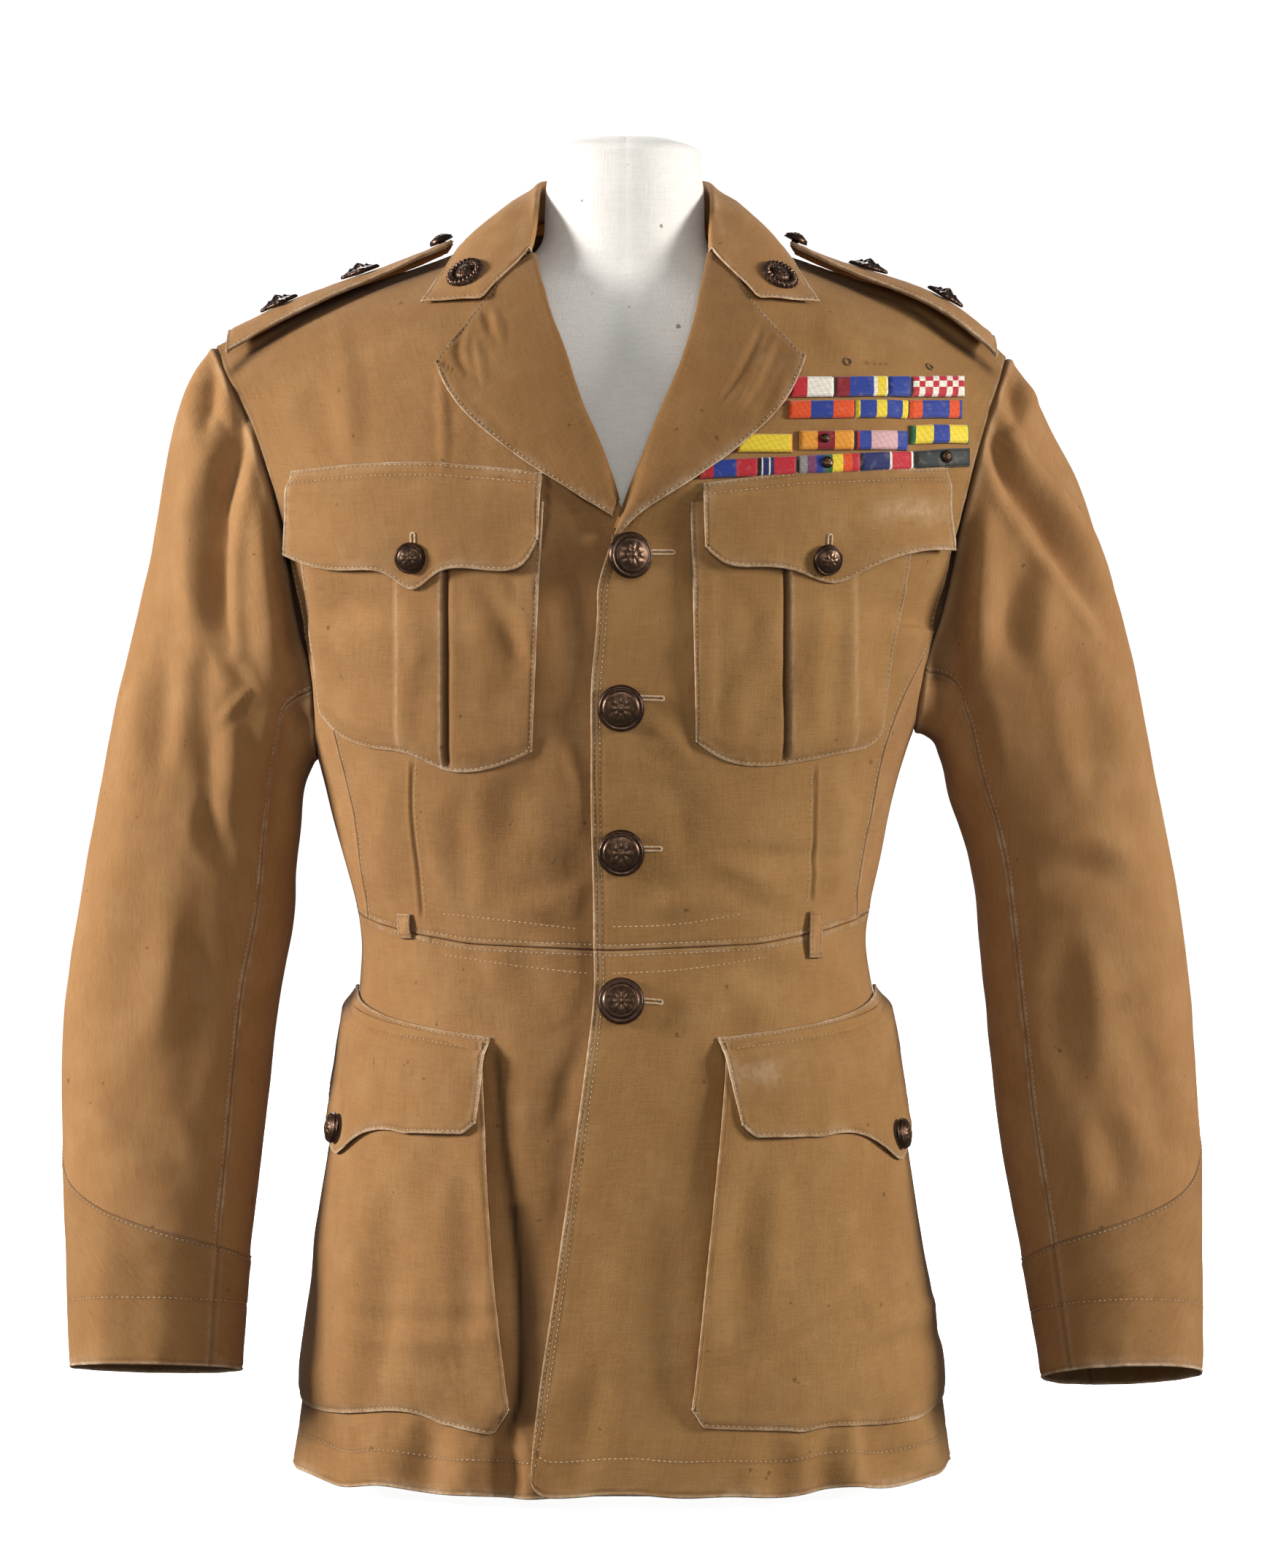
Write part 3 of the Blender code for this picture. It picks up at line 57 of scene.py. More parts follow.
# ---------------------------------------------------------------- tables
# Body sections: height, half width, sideways shift, front depth, back depth
BODY = (
    (0.000, 0.1905, 0.0010, 0.1490, 0.1390),
    (0.060, 0.1820, 0.0010, 0.1440, 0.1330),
    (0.135, 0.1700, -0.0010, 0.1370, 0.1250),
    (0.210, 0.1580, -0.0010, 0.1290, 0.1160),
    (0.255, 0.1515, -0.0015, 0.1235, 0.1100),
    (0.290, 0.1460, -0.0030, 0.1180, 0.1045),
    (0.313, 0.1447, -0.0040, 0.1160, 0.1025),
    (0.337, 0.1490, -0.0042, 0.1165, 0.1030),
    (0.362, 0.1556, -0.0050, 0.1180, 0.1060),
    (0.400, 0.1645, -0.0055, 0.1215, 0.1110),
    (0.438, 0.1755, -0.0040, 0.1250, 0.1160),
    (0.485, 0.1870, -0.0005, 0.1275, 0.1200),
    (0.520, 0.1930, 0.0000, 0.1280, 0.1220),
)
# Waist seam: share of the way round, height
WAIST = ((0.0, 0.3080), (0.2, 0.3110), (0.4, 0.3220), (0.5, 0.3260), (1.0, 0.3260))
# Side seams: height, share of the way round at the front seam and at the back seam
SIDE_SEAMS = (
    (0.300, 0.405, 0.640),
    (0.350, 0.390, 0.640),
    (0.390, 0.377, 0.635),
    (0.420, 0.370, 0.630),
    (0.450, 0.376, 0.618),
    (0.485, 0.412, 0.590),
)
SCYE_TOP_OF_SIDE = 0.485  # where the side body meets the armhole
SCYE_BOTTOM = {"R": 0.4130, "L": 0.4280}
# Armhole above the side body: share of the way up, seen x on each side, front depth, back depth, more x at the back
SCYE = (
    (0.00, 0.1815, 0.1785, -0.0440, 0.0500, 0.000),
    (0.15, 0.1868, 0.1860, -0.0510, 0.0580, 0.004),
    (0.28, 0.1905, 0.1905, -0.0560, 0.0630, 0.008),
    (0.44, 0.1968, 0.1970, -0.0570, 0.0650, 0.011),
    (0.60, 0.2050, 0.2035, -0.0530, 0.0630, 0.012),
    (0.77, 0.2155, 0.2110, -0.0420, 0.0530, 0.010),
    (0.91, 0.2270, 0.2180, -0.0230, 0.0320, 0.005),
    (1.00, 0.2325, 0.2225, 0.0040, 0.0040, 0.000),
)
SHOULDER_TIP_Z = {"R": 0.6500, "L": 0.6440}
# Front edge below the lapel: height, x on the over front, x on the under front
EDGE = (
    (0.000, -0.0500, 0.0430),
    (0.060, -0.0455, 0.0400),
    (0.115, -0.0380, 0.0360),
    (0.178, -0.0292, 0.0300),
    (0.273, -0.0175, 0.0210),
    (0.303, -0.0150, 0.0185),
    (0.360, -0.0155, 0.0180),
    (0.450, -0.0158, 0.0180),
    (0.500, -0.0125, 0.0165),
    (0.530, -0.0068, 0.0100),
)
# Inner edge of the upper front from the lapel break to the neck point: z in, z out as a share of the armhole, seen x for R and L (outwards), depth
ROLL = (
    (0.5550, 0.14, -0.0012, 0.0017, -0.1275),
    (0.5850, 0.28, 0.0100, 0.0133, -0.1225),
    (0.6150, 0.42, 0.0220, 0.0250, -0.1125),
    (0.6450, 0.56, 0.0323, 0.0378, -0.0985),
    (0.6720, 0.70, 0.0418, 0.0450, -0.0800),
    (0.6920, 0.81, 0.0470, 0.0490, -0.0610),
    (0.7040, 0.91, 0.0545, 0.0560, -0.0310),
    (0.7130, 1.00, 0.0620, 0.0620, 0.0040),
)
# Back above the side body: height at centre back, share of the way up the armhole, depth at centre back
BACK_ROWS = (
    (0.520, 0.14, 0.1215),
    (0.560, 0.28, 0.1215),
    (0.600, 0.44, 0.1180),
    (0.640, 0.60, 0.1085),
    (0.675, 0.75, 0.0940),
    (0.703, 0.88, 0.0760),
    (0.722, 1.00, 0.0580),
)
SHOULDER_SEAM = ((0.0620, 0.7130), (0.0930, 0.7030), (0.1380, 0.6880), (0.1850, 0.6720))
# Sleeve sections: seen outer x and z, seen inner x and z, half depth, middle depth, front lift in degrees
SLEEVE = {
    "R": (
        (0.2450, 0.6330, 0.1765, 0.4085, 0.0610, 0.004, 0),
        (0.2555, 0.6070, 0.1800, 0.4000, 0.0590, 0.005, 0),
        (0.2622, 0.5740, 0.1818, 0.3910, 0.0560, 0.006, 0),
        (0.2690, 0.5320, 0.1830, 0.3800, 0.0530, 0.008, 0),
        (0.2800, 0.4850, 0.1845, 0.3660, 0.0510, 0.010, 0),
        (0.2925, 0.4300, 0.1865, 0.3450, 0.0490, 0.012, 2),
        (0.3050, 0.3620, 0.1885, 0.3150, 0.0480, 0.012, 3),
        (0.3165, 0.2980, 0.1955, 0.2780, 0.0470, 0.006, 5),
        (0.3215, 0.2440, 0.2005, 0.2360, 0.0455, -0.004, 8),
        (0.3208, 0.1900, 0.2060, 0.1870, 0.0440, -0.018, 10),
        (0.3190, 0.1400, 0.2120, 0.1390, 0.0425, -0.031, 11),
        (0.3180, 0.0950, 0.2160, 0.0950, 0.0410, -0.042, 11),
        (0.3170, 0.0615, 0.2190, 0.0600, 0.0400, -0.050, 11),
    ),
    "L": (
        (0.2350, 0.6250, 0.1790, 0.4230, 0.0610, 0.004, 0),
        (0.2490, 0.5980, 0.1825, 0.4160, 0.0590, 0.005, 0),
        (0.2640, 0.5700, 0.1850, 0.4080, 0.0560, 0.006, 0),
        (0.2750, 0.5360, 0.1870, 0.3980, 0.0530, 0.008, 0),
        (0.2870, 0.5000, 0.1900, 0.3860, 0.0510, 0.010, 0),
        (0.2985, 0.4500, 0.1960, 0.3680, 0.0490, 0.012, 2),
        (0.3110, 0.3850, 0.2030, 0.3400, 0.0480, 0.012, 3),
        (0.3225, 0.3220, 0.2070, 0.3020, 0.0470, 0.006, 5),
        (0.3290, 0.2600, 0.2130, 0.2500, 0.0455, -0.004, 8),
        (0.3335, 0.1980, 0.2190, 0.1950, 0.0440, -0.018, 11),
        (0.3350, 0.1400, 0.2290, 0.1400, 0.0425, -0.032, 14),
        (0.3355, 0.0950, 0.2370, 0.0900, 0.0410, -0.044, 15),
        (0.3360, 0.0580, 0.2430, 0.0555, 0.0400, -0.053, 15),
    ),
}
SLEEVE_FRONT_SEAM, SLEEVE_HIND_SEAM = 133.0, -110.0  # degrees round the sleeve, 0 outwards, 90 to the front
CUFF_LOW, CUFF_RISE, CUFF_POINT, CUFF_FADE = 11.3, 1.5, -12.0, 75.0  # rows and degrees
# Collar, from the gorge to centre back: fold x y z, middle of the fall x y z, edge x y z, foot of the stand x y z
COLLAR = (
    (0.0502, -0.0486, 0.7008, 0.0782, -0.0757, 0.6723, 0.1125, -0.0600, 0.6716, 0.0557, -0.0412, 0.7010),
    (0.0490, -0.0370, 0.7140, 0.0775, -0.0450, 0.7000, 0.1025, -0.0380, 0.6890, 0.0570, -0.0310, 0.7065),
    (0.0490, -0.0210, 0.7290, 0.0755, -0.0205, 0.7190, 0.0930, -0.0140, 0.7055, 0.0585, -0.0140, 0.7120),
    (0.0485, 0.0020, 0.7400, 0.0700, 0.0040, 0.7285, 0.0860, 0.0110, 0.7110, 0.0580, 0.0040, 0.7165),
    (0.0440, 0.0280, 0.7460, 0.0600, 0.0360, 0.7320, 0.0730, 0.0460, 0.7130, 0.0500, 0.0310, 0.7215),
    (0.0260, 0.0510, 0.7480, 0.0370, 0.0620, 0.7340, 0.0440, 0.0740, 0.7120, 0.0290, 0.0500, 0.7260),
    (0.0000, 0.0600, 0.7485, 0.0000, 0.0720, 0.7345, 0.0000, 0.0860, 0.7115, 0.0000, 0.0570, 0.7280),
)
# Lapels, from the break up: seen x and z of the outer edge (outwards); the last rows run along the top edge
LAPEL_EDGE = {
    "R": ((0.0040, 0.5520), (0.0163, 0.5590), (0.0466, 0.5770), (0.0768, 0.5990), (0.0966, 0.6190), (0.1066, 0.6385)),
    "L": ((-0.0045, 0.5380), (0.0139, 0.5550), (0.0437, 0.5730), (0.0739, 0.5954), (0.0962, 0.6190), (0.1060, 0.6410)),
}
LAPEL_ROLL = {
    "R": ((0.0020, 0.5610), (0.0100, 0.5860), (0.0220, 0.6150), (0.0323, 0.6450), (0.0430, 0.6740), (0.0500, 0.7010)),
    "L": ((-0.0020, 0.5450), (0.0118, 0.5810), (0.0240, 0.6120), (0.0370, 0.6430), (0.0455, 0.6720), (0.0515, 0.7025)),
}
LAPEL_TOP = {
    "R": ((0.0500, 0.7010), (0.0579, 0.6972), (0.0651, 0.6900), (0.0722, 0.6815), (0.0793, 0.6735), (0.1066, 0.6400)),
    "L": ((0.0515, 0.7025), (0.0630, 0.6930), (0.0712, 0.6810), (0.0805, 0.6690), (0.1060, 0.6425)),
}
# Chest pockets, as seen: inner and outer edge x from top to bottom with z, and the bottom edge
CHEST_POCKET = {
    "R": {
        "top": ((0.0437, 0.560), (0.1877, 0.563)),
        "bottom": ((0.0505, 0.4165), (0.0700, 0.4080), (0.1008, 0.4060), (0.1220, 0.4150), (0.1453, 0.4190), (0.1613, 0.4265), (0.1720, 0.4390)),
        "pleat": (0.1008, 0.1275),
    },
    "L": {
        "top": ((0.0400, 0.560), (0.1720, 0.563)),
        "bottom": ((0.0430, 0.4225), (0.0585, 0.4120), (0.0940, 0.4090), (0.1120, 0.4120), (0.1300, 0.4160), (0.1450, 0.4215), (0.1505, 0.4300)),
        "pleat": (0.0960, 0.1340),
    },
}
# Flaps, as seen: top edge, then the scalloped lower edge from the inner to the outer end
CHEST_FLAP = {
    "R": {
        "top": ((0.0443, 0.5770), (0.1365, 0.5830), (0.1886, 0.5780)),
        "low": ((0.0468, 0.5390), (0.0556, 0.5235), (0.0850, 0.5220), (0.1035, 0.5190), (0.1160, 0.5100), (0.1306, 0.5190), (0.1510, 0.5220), (0.1806, 0.5270), (0.1878, 0.5310)),
    },
    "L": {
        "top": ((0.0470, 0.5710), (0.1200, 0.5790), (0.1877, 0.5800)),
        "low": ((0.0479, 0.5350), (0.0590, 0.5250), (0.0823, 0.5230), (0.1033, 0.5190), (0.1210, 0.5140), (0.1327, 0.5190), (0.1474, 0.5270), (0.1709, 0.5330), (0.1869, 0.5335)),
    },
}
# Skirt pockets on the body: share of the way round, height
SKIRT_POCKET = {
    "R": {"top": ((0.172, 0.2570), (0.505, 0.2760)), "bottom": ((0.118, 0.0560), (0.136, 0.0420), (0.200, 0.0480), (0.300, 0.0490), (0.430, 0.0470), (0.530, 0.0520))},
    "L": {"top": ((0.138, 0.2570), (0.505, 0.2760)), "bottom": ((0.073, 0.0570), (0.086, 0.0465), (0.200, 0.0430), (0.300, 0.0425), (0.430, 0.0480), (0.530, 0.0540))},
}
SKIRT_FLAP = {
    "R": {
        "top": ((0.1640, 0.2600), (0.3300, 0.2690), (0.5050, 0.2830)),
        "low": ((0.1690, 0.2125), (0.1840, 0.2060), (0.2700, 0.2050), (0.3400, 0.2005), (0.3950, 0.1890), (0.4500, 0.2040), (0.5000, 0.2150), (0.5150, 0.2210)),
    },
    "L": {
        "top": ((0.1290, 0.2600), (0.3000, 0.2680), (0.5050, 0.2830)),
        "low": ((0.1470, 0.2120), (0.1630, 0.2045), (0.2550, 0.2035), (0.3300, 0.1990), (0.3950, 0.1860), (0.4500, 0.2020), (0.4950, 0.2140), (0.5150, 0.2210)),
    },
}
# Medal ribbon bars, as seen: inner x and z, outer x and z of the middle line, height
RIBBONS = (
    (0.0974, 0.6257, 0.1970, 0.6257, 0.0118),
    (0.0962, 0.6129, 0.1957, 0.6129, 0.0105),
    (0.0668, 0.5937, 0.0987, 0.5937, 0.0109),
    (0.1021, 0.5952, 0.1651, 0.5952, 0.0113),
    (0.1663, 0.5986, 0.1995, 0.5986, 0.0109),
    (0.0445, 0.5784, 0.2000, 0.5856, 0.0108),
)
EYELETS = ((0.1306, 0.6404), (0.1777, 0.6374))
FRONT_BUTTONS = ((0.0029, 0.5290), (0.0004, 0.4417), (0.0004, 0.3585), (0.0004, 0.2729))
CHEST_BUTTONS = {"R": (0.1205, 0.5280), "L": (0.1184, 0.5270)}
SKIRT_BUTTONS = {"R": (0.4000, 0.2030), "L": (0.3950, 0.2000)}
BADGES = {"R": (0.0886, 0.6908), "L": (0.0911, 0.6895)}
BADGE_R = 0.0115
BELT_LOOPS = {"R": (0.300, 0.3130, 0.3275), "L": (0.290, 0.3020, 0.3290)}
# Shoulder straps: along the shoulder, x, half width, height over the seam
STRAP = ((0.0960, 0.0150, 0.0088), (0.1060, 0.0205, 0.0078), (0.1380, 0.0225, 0.0066), (0.1850, 0.0250, 0.0054), (0.2240, 0.0270, 0.0046))
STRAP_START, STRAP_END = {"R": 0.0962, "L": 0.0978}, {"R": 0.2255, "L": 0.2155}
STARS = {"R": (0.1490, 0.1955), "L": (0.1420, 0.1860)}
STRAP_BUTTON_X = {"R": 0.1020, "L": 0.1000}
# Dress form: height, half width, front depth, back depth
FORM = (
    (0.000, 0.1280, 0.0860, 0.0860),
    (0.015, 0.1310, 0.0890, 0.0890),
    (0.100, 0.1400, 0.0990, 0.0980),
    (0.200, 0.1380, 0.0990, 0.0960),
    (0.310, 0.1310, 0.1010, 0.0880),
    (0.400, 0.1450, 0.1060, 0.0960),
    (0.485, 0.1580, 0.1120, 0.1040),
    (0.560, 0.1640, 0.1080, 0.1020),
    (0.610, 0.1640, 0.0960, 0.0930),
    (0.640, 0.1580, 0.0830, 0.0820),
    (0.662, 0.1380, 0.0700, 0.0700),
    (0.678, 0.1080, 0.0590, 0.0610),
    (0.690, 0.0740, 0.0520, 0.0560),
    (0.702, 0.0520, 0.0490, 0.0510),
    (0.716, 0.0462, 0.0465, 0.0480),
    (0.740, 0.0455, 0.0445, 0.0470),
    (0.757, 0.0440, 0.0430, 0.0460),
    (0.764, 0.0390, 0.0380, 0.0410),
    (0.767, 0.0290, 0.0290, 0.0310),
)


# ---------------------------------------------------------------- curves and surfaces
def spline(xs, ys, at):
    """Natural cubic through the rows of ys at xs, straight beyond the ends."""
    xs, ys, at = np.asarray(xs, float), np.asarray(ys, float), np.asarray(at, float)
    flat = ys.reshape(len(xs), -1)
    h = np.diff(xs)
    n = len(xs)
    a = np.zeros((n, n))
    b = np.zeros_like(flat)
    a[0, 0] = a[-1, -1] = 1
    for i in range(1, n - 1):
        a[i, i - 1], a[i, i], a[i, i + 1] = h[i - 1], 2 * (h[i - 1] + h[i]), h[i]
        b[i] = 6 * ((flat[i + 1] - flat[i]) / h[i] - (flat[i] - flat[i - 1]) / h[i - 1])
    m = np.linalg.solve(a, b)
    q = at.reshape(-1)
    k = np.clip(np.searchsorted(xs, q) - 1, 0, n - 2)
    t = np.clip(q, xs[0], xs[-1])
    hk = h[k][:, None]
    u, v = (xs[k + 1] - t)[:, None], (t - xs[k])[:, None]
    out = (m[k] * u**3 + m[k + 1] * v**3) / (6 * hk) + (flat[k] / hk - m[k] * hk / 6) * u + (flat[k + 1] / hk - m[k + 1] * hk / 6) * v
    slope0 = (flat[1] - flat[0]) / h[0] - h[0] * (2 * m[0] + m[1]) / 6
    slope1 = (flat[-1] - flat[-2]) / h[-1] + h[-1] * (m[-2] + 2 * m[-1]) / 6
    out += np.where(q < xs[0], q - xs[0], 0)[:, None] * slope0 + np.where(q > xs[-1], q - xs[-1], 0)[:, None] * slope1
    return out.reshape(at.shape + ys.shape[1:])


def column(table, *picks):
    rows = np.array(table, float)
    return rows[:, 0], rows[:, list(picks)] if len(picks) > 1 else rows[:, picks[0]]


def place(x, z, y):
    """The point at depth y that is seen at (x, z) from the front."""
    x, z, y = np.broadcast_arrays(np.asarray(x, float), z, y)
    share = (VIEW_DISTANCE + y) / VIEW_DISTANCE
    return np.stack([VIEW_X + (x - VIEW_X) * share, y, VIEW_Z + (z - VIEW_Z) * share], axis=-1)


def ring(theta, z):
    half, shift, front, back = np.moveaxis(spline(*column(BODY, 1, 2, 3, 4), z), -1, 0)
    s, c = np.sin(theta), np.cos(theta)
    power = 2 / FULLNESS
    x = shift + half * np.sign(s) * np.abs(s) ** power
    y = -np.where(c > 0, front, back) * np.sign(c) * np.abs(c) ** power
    return np.stack([x, y, z * np.ones_like(x)], axis=-1)


LEVELS = np.linspace(-0.02, 0.54, 57)
SHARES = np.linspace(0, 1, 129)


def shares_to_angles():
    theta = np.linspace(0, math.pi, 481)
    table = np.empty((len(LEVELS), len(SHARES)))
    for i, z in enumerate(LEVELS):
        points = ring(theta, np.full_like(theta, z))
        run = np.concatenate([[0], np.cumsum(np.linalg.norm(np.diff(points, axis=0), axis=1))])
        table[i] = np.interp(SHARES * run[-1], run, theta)
    return table


ANGLES = shares_to_angles()


def body(w, z, out=0.0):
    """Point on the cloth's outer face: w is the share of the way from centre front to centre back, negative to the wearer's right."""
    w, z, out = np.broadcast_arrays(np.asarray(w, float), np.asarray(z, float), out)
    points = body_point(w, z)
    if np.any(out != 0):
        e = 1e-3
        du = body_point(w + e, z) - body_point(w - e, z)
        dv = body_point(w, z + e) - body_point(w, z - e)
        n = np.cross(du, dv)
        n /= np.linalg.norm(n, axis=-1, keepdims=True)
        points = points + n * out[..., None]
    return points


def body_point(w, z):
    side = np.sign(w) + (w == 0)
    a = np.clip((z - LEVELS[0]) / (LEVELS[1] - LEVELS[0]), 0, len(LEVELS) - 1.001)
    b = np.clip(np.abs(w) * (len(SHARES) - 1), 0, len(SHARES) - 1.001)
    i, j = a.astype(int), b.astype(int)
    fa, fb = a - i, b - j
    theta = (ANGLES[i, j] * (1 - fb) + ANGLES[i, j + 1] * fb) * (1 - fa) + (ANGLES[i + 1, j] * (1 - fb) + ANGLES[i + 1, j + 1] * fb) * fa
    return ring(side * theta, z)


def share_at_x(x, z):
    """The share of the way round at which the front of the body is at x."""
    w = np.linspace(-0.45, 0.45, 181)
    xs = body_point(w, np.full_like(w, z))[:, 0]
    return float(np.interp(x, xs, w))


class Patch:
    """A smooth surface through rows of points, read by s along the rows and t from the first row to the last."""

    def __init__(self, rows, at, dense=(361, 241)):
        rows = np.array(rows, float)
        along = np.linspace(0, 1, rows.shape[1])
        tall = spline(at, rows, np.linspace(0, 1, dense[0]))
        self.grid = np.moveaxis(spline(along, np.moveaxis(tall, 1, 0), np.linspace(0, 1, dense[1])), 0, 1)
        self.dense = dense

    def __call__(self, s, t):
        s, t = np.broadcast_arrays(np.asarray(s, float), np.asarray(t, float))
        a, b = t * (self.dense[0] - 1), s * (self.dense[1] - 1)
        i = np.clip(a.astype(int), 0, self.dense[0] - 2)
        j = np.clip(np.floor(b).astype(int), 0, self.dense[1] - 2)
        fa, fb = (a - i)[..., None], (b - j)[..., None]
        g = self.grid
        return (g[i, j] * (1 - fb) + g[i, j + 1] * fb) * (1 - fa) + (g[i + 1, j] * (1 - fb) + g[i + 1, j + 1] * fb) * fa


def bend(start, end, n=25, flat=0.55, back=0.17, turn=0.65, drop=0.45):
    """A section from start, level across, curving round to end."""
    start, end = np.array(start, float), np.array(end, float)
    span = end - start
    c1 = start + np.array([flat * span[0], 0, flat * span[2] * drop])
    c2 = end + np.array([-back * span[0], -turn * span[1], -0.30 * span[2]])
    t = np.linspace(0, 1, n)[:, None]
    return start * (1 - t) ** 3 + 3 * c1 * t * (1 - t) ** 2 + 3 * c2 * t**2 * (1 - t) + end * t**3


def scye(side, share, at_back=False):
    """Armhole point above the side body, at a share of the way from its corner to the shoulder tip."""
    rows = np.array(SCYE)
    x, yf, yb, more = (float(spline(rows[:, 0], rows[:, k], share)) for k in ((1 if side == "R" else 2), 3, 4, 5))
    z = SCYE_TOP_OF_SIDE + share * (SHOULDER_TIP_Z[side] - SCYE_TOP_OF_SIDE)
    sign = -1 if side == "R" else 1
    if share < 0.001:
        seam = spline(*column(SIDE_SEAMS, 1, 2), SCYE_TOP_OF_SIDE)
        return body_point(np.array(sign * seam[1 if at_back else 0]), np.array(SCYE_TOP_OF_SIDE))
    front = place(sign * x, z, yf)
    return np.array([front[0] + sign * more, yb, front[2]]) if at_back else front


def edge_x(side, z):
    return float(spline(*column(EDGE, 1 if side == "L" else 2), z))


def waist(w):
    return np.interp(np.abs(w), *np.array(WAIST).T)


def front_rows(side):
    """Rows of the upper front from the waist to the shoulder seam, inner end first."""
    sign = -1 if side == "R" else 1
    rows, heights = [], []
    for z in (None, 0.340, 0.370, 0.400, 0.430, 0.458):
        level = 0.31 if z is None else z
        w_in = share_at_x(edge_x(side, level), level)
        w_out = sign * float(spline(*column(SIDE_SEAMS, 1), level))
        w = np.linspace(w_in, w_out, 25)
        rows.append(body_point(w, waist(w) if z is None else np.full_like(w, z)))
        heights.append(0.312 if z is None else z)
    level = SCYE_TOP_OF_SIDE
    w = np.linspace(share_at_x(edge_x(side, 0.500), 0.500), sign * float(spline(*column(SIDE_SEAMS, 1), level)), 25)
    rows.append(body_point(w, np.linspace(0.497, level, 25)))
    heights.append(0.494)
    w_in = edge_x(side, 0.530)
    rows.append(bend((w_in, -0.1280, 0.528), scye(side, 0.06)))
    heights.append(0.520)
    for z, share, x_r, x_l, y in ROLL:
        inner = place(sign * (x_r if side == "R" else x_l), z, y)
        outer = scye(side, share)
        if share == 1.0:
            xs = np.linspace(inner[0], outer[0], 25)
            table = SHOULDER_SEAM + ((abs(outer[0]), outer[2]),)
            zs = spline(*np.array(table).T, np.abs(xs))
            rows.append(np.stack([xs, np.full_like(xs, 0.004), zs], axis=-1))
        else:
            near_top = max(0.0, (share - 0.5) / 0.5)
            rows.append(bend(inner, outer, drop=0.45 + 0.2 * near_top, back=0.17 + 0.12 * near_top, turn=0.65 - 0.25 * near_top))
        heights.append(0.5 * (inner[2] + outer[2]) + 0.25 * share**2 * 0.12)
    return rows, heights


def back_rows(side):
    """Rows of the upper back from the waist to the shoulder seam and neck, centre back first."""
    sign = -1 if side == "R" else 1
    rows, heights = [], []
    for z in (None, 0.340, 0.370, 0.400, 0.430, 0.458, SCYE_TOP_OF_SIDE):
        level = 0.31 if z is None else z
        w = sign * np.linspace(1.0, float(spline(*column(SIDE_SEAMS, 2), level)), 25)
        rows.append(body_point(w, waist(w) if z is None else np.full_like(w, z)))
        heights.append(0.326 if z is None else z)
    for z, share, y in BACK_ROWS:
        outer = scye(side, share, True)
        if share == 1.0:
            neck = np.array([[0, 0.0580, 0.722], [0.022, 0.0555, 0.7215], [0.043, 0.041, 0.7185], [0.056, 0.021, 0.7150], [0.062, 0.004, 0.7130]])
            neck[:, 0] *= sign
            xs = np.linspace(sign * 0.062, outer[0], 18)[1:]
            table = SHOULDER_SEAM + ((abs(outer[0]), outer[2]),)
            seam = np.stack([xs, np.full_like(xs, 0.0046), spline(*np.array(table).T, np.abs(xs))], axis=-1)
            first = spline(np.linspace(0, 1, 5), neck, np.linspace(0, 1, 8))
            rows.append(np.concatenate([first, seam]))
        else:
            near_top = max(0.0, (share - 0.4) / 0.6)
            rows.append(bend((0, y, z), outer, drop=0.3 + 0.2 * near_top, back=0.17 + 0.1 * near_top, turn=0.65 - 0.25 * near_top))
        heights.append(0.5 * (z + outer[2]) + 0.35 * share**2 * 0.12)
    return rows, heights


def as_shares(heights):
    h = np.array(heights)
    return (h - h[0]) / (h[-1] - h[0])


def make_patches():
    found = {}
    for side in "RL":
        rows, heights = front_rows(side)
        found["front", side] = Patch(rows, as_shares(heights))
        rows, heights = back_rows(side)
        found["back", side] = Patch(rows, as_shares(heights))
    return found


PATCHES = make_patches()
FRONT_SCYE_T = as_shares(front_rows("R")[1])[6]
BACK_SCYE_T = as_shares(back_rows("R")[1])[6]


def side_top(side, s):
    low = SCYE_BOTTOM[side]
    return low + (SCYE_TOP_OF_SIDE - low) * np.abs(2 * s - 1) ** 2.2


def side_point(side, s, t):
    """Side body: s from the front seam to the back seam, t from the waist to the armhole."""
    sign = -1 if side == "R" else 1
    s, t = np.broadcast_arrays(np.asarray(s, float), np.asarray(t, float))
    top = side_top(side, s)
    z = 0.3255 + (top - 0.3255) * t
    seams = spline(*column(SIDE_SEAMS, 1, 2), z)
    w = seams[..., 0] + (seams[..., 1] - seams[..., 0]) * s
    z = np.where(t < 1e-6, waist(w), z)
    return body(sign * w, z)


def scye_loop(side, degrees):
    """Armhole seam, closed: 0 at the shoulder tip, 90 to the front, 180 at the armpit."""
    out = []
    low, tip = SCYE_BOTTOM[side], SHOULDER_TIP_Z[side]
    t = np.linspace(1, FRONT_SCYE_T, 40)
    front = np.concatenate([PATCHES["front", side](np.ones_like(t), t), side_point(side, np.linspace(0.02, 0.5, 24), 1.0)])
    t = np.linspace(1, BACK_SCYE_T, 40)
    back = np.concatenate([PATCHES["back", side](np.ones_like(t), t), side_point(side, np.linspace(0.98, 0.5, 24), 1.0)])
    for degree in np.atleast_1d(degrees):
        a = math.radians(degree)
        line = front if math.sin(a) >= 0 else back
        run = np.linspace(0, 1, len(line))
        z = line[:, 2]
        target = z[0] + (z[-1] - z[0]) * (1 - math.cos(a)) / 2
        place_at = np.interp(-target, -np.minimum.accumulate(z), run)
        out.append([np.interp(place_at, run, line[:, k]) for k in range(3)])
    return np.array(out)


SLEEVE_COLUMNS = 72


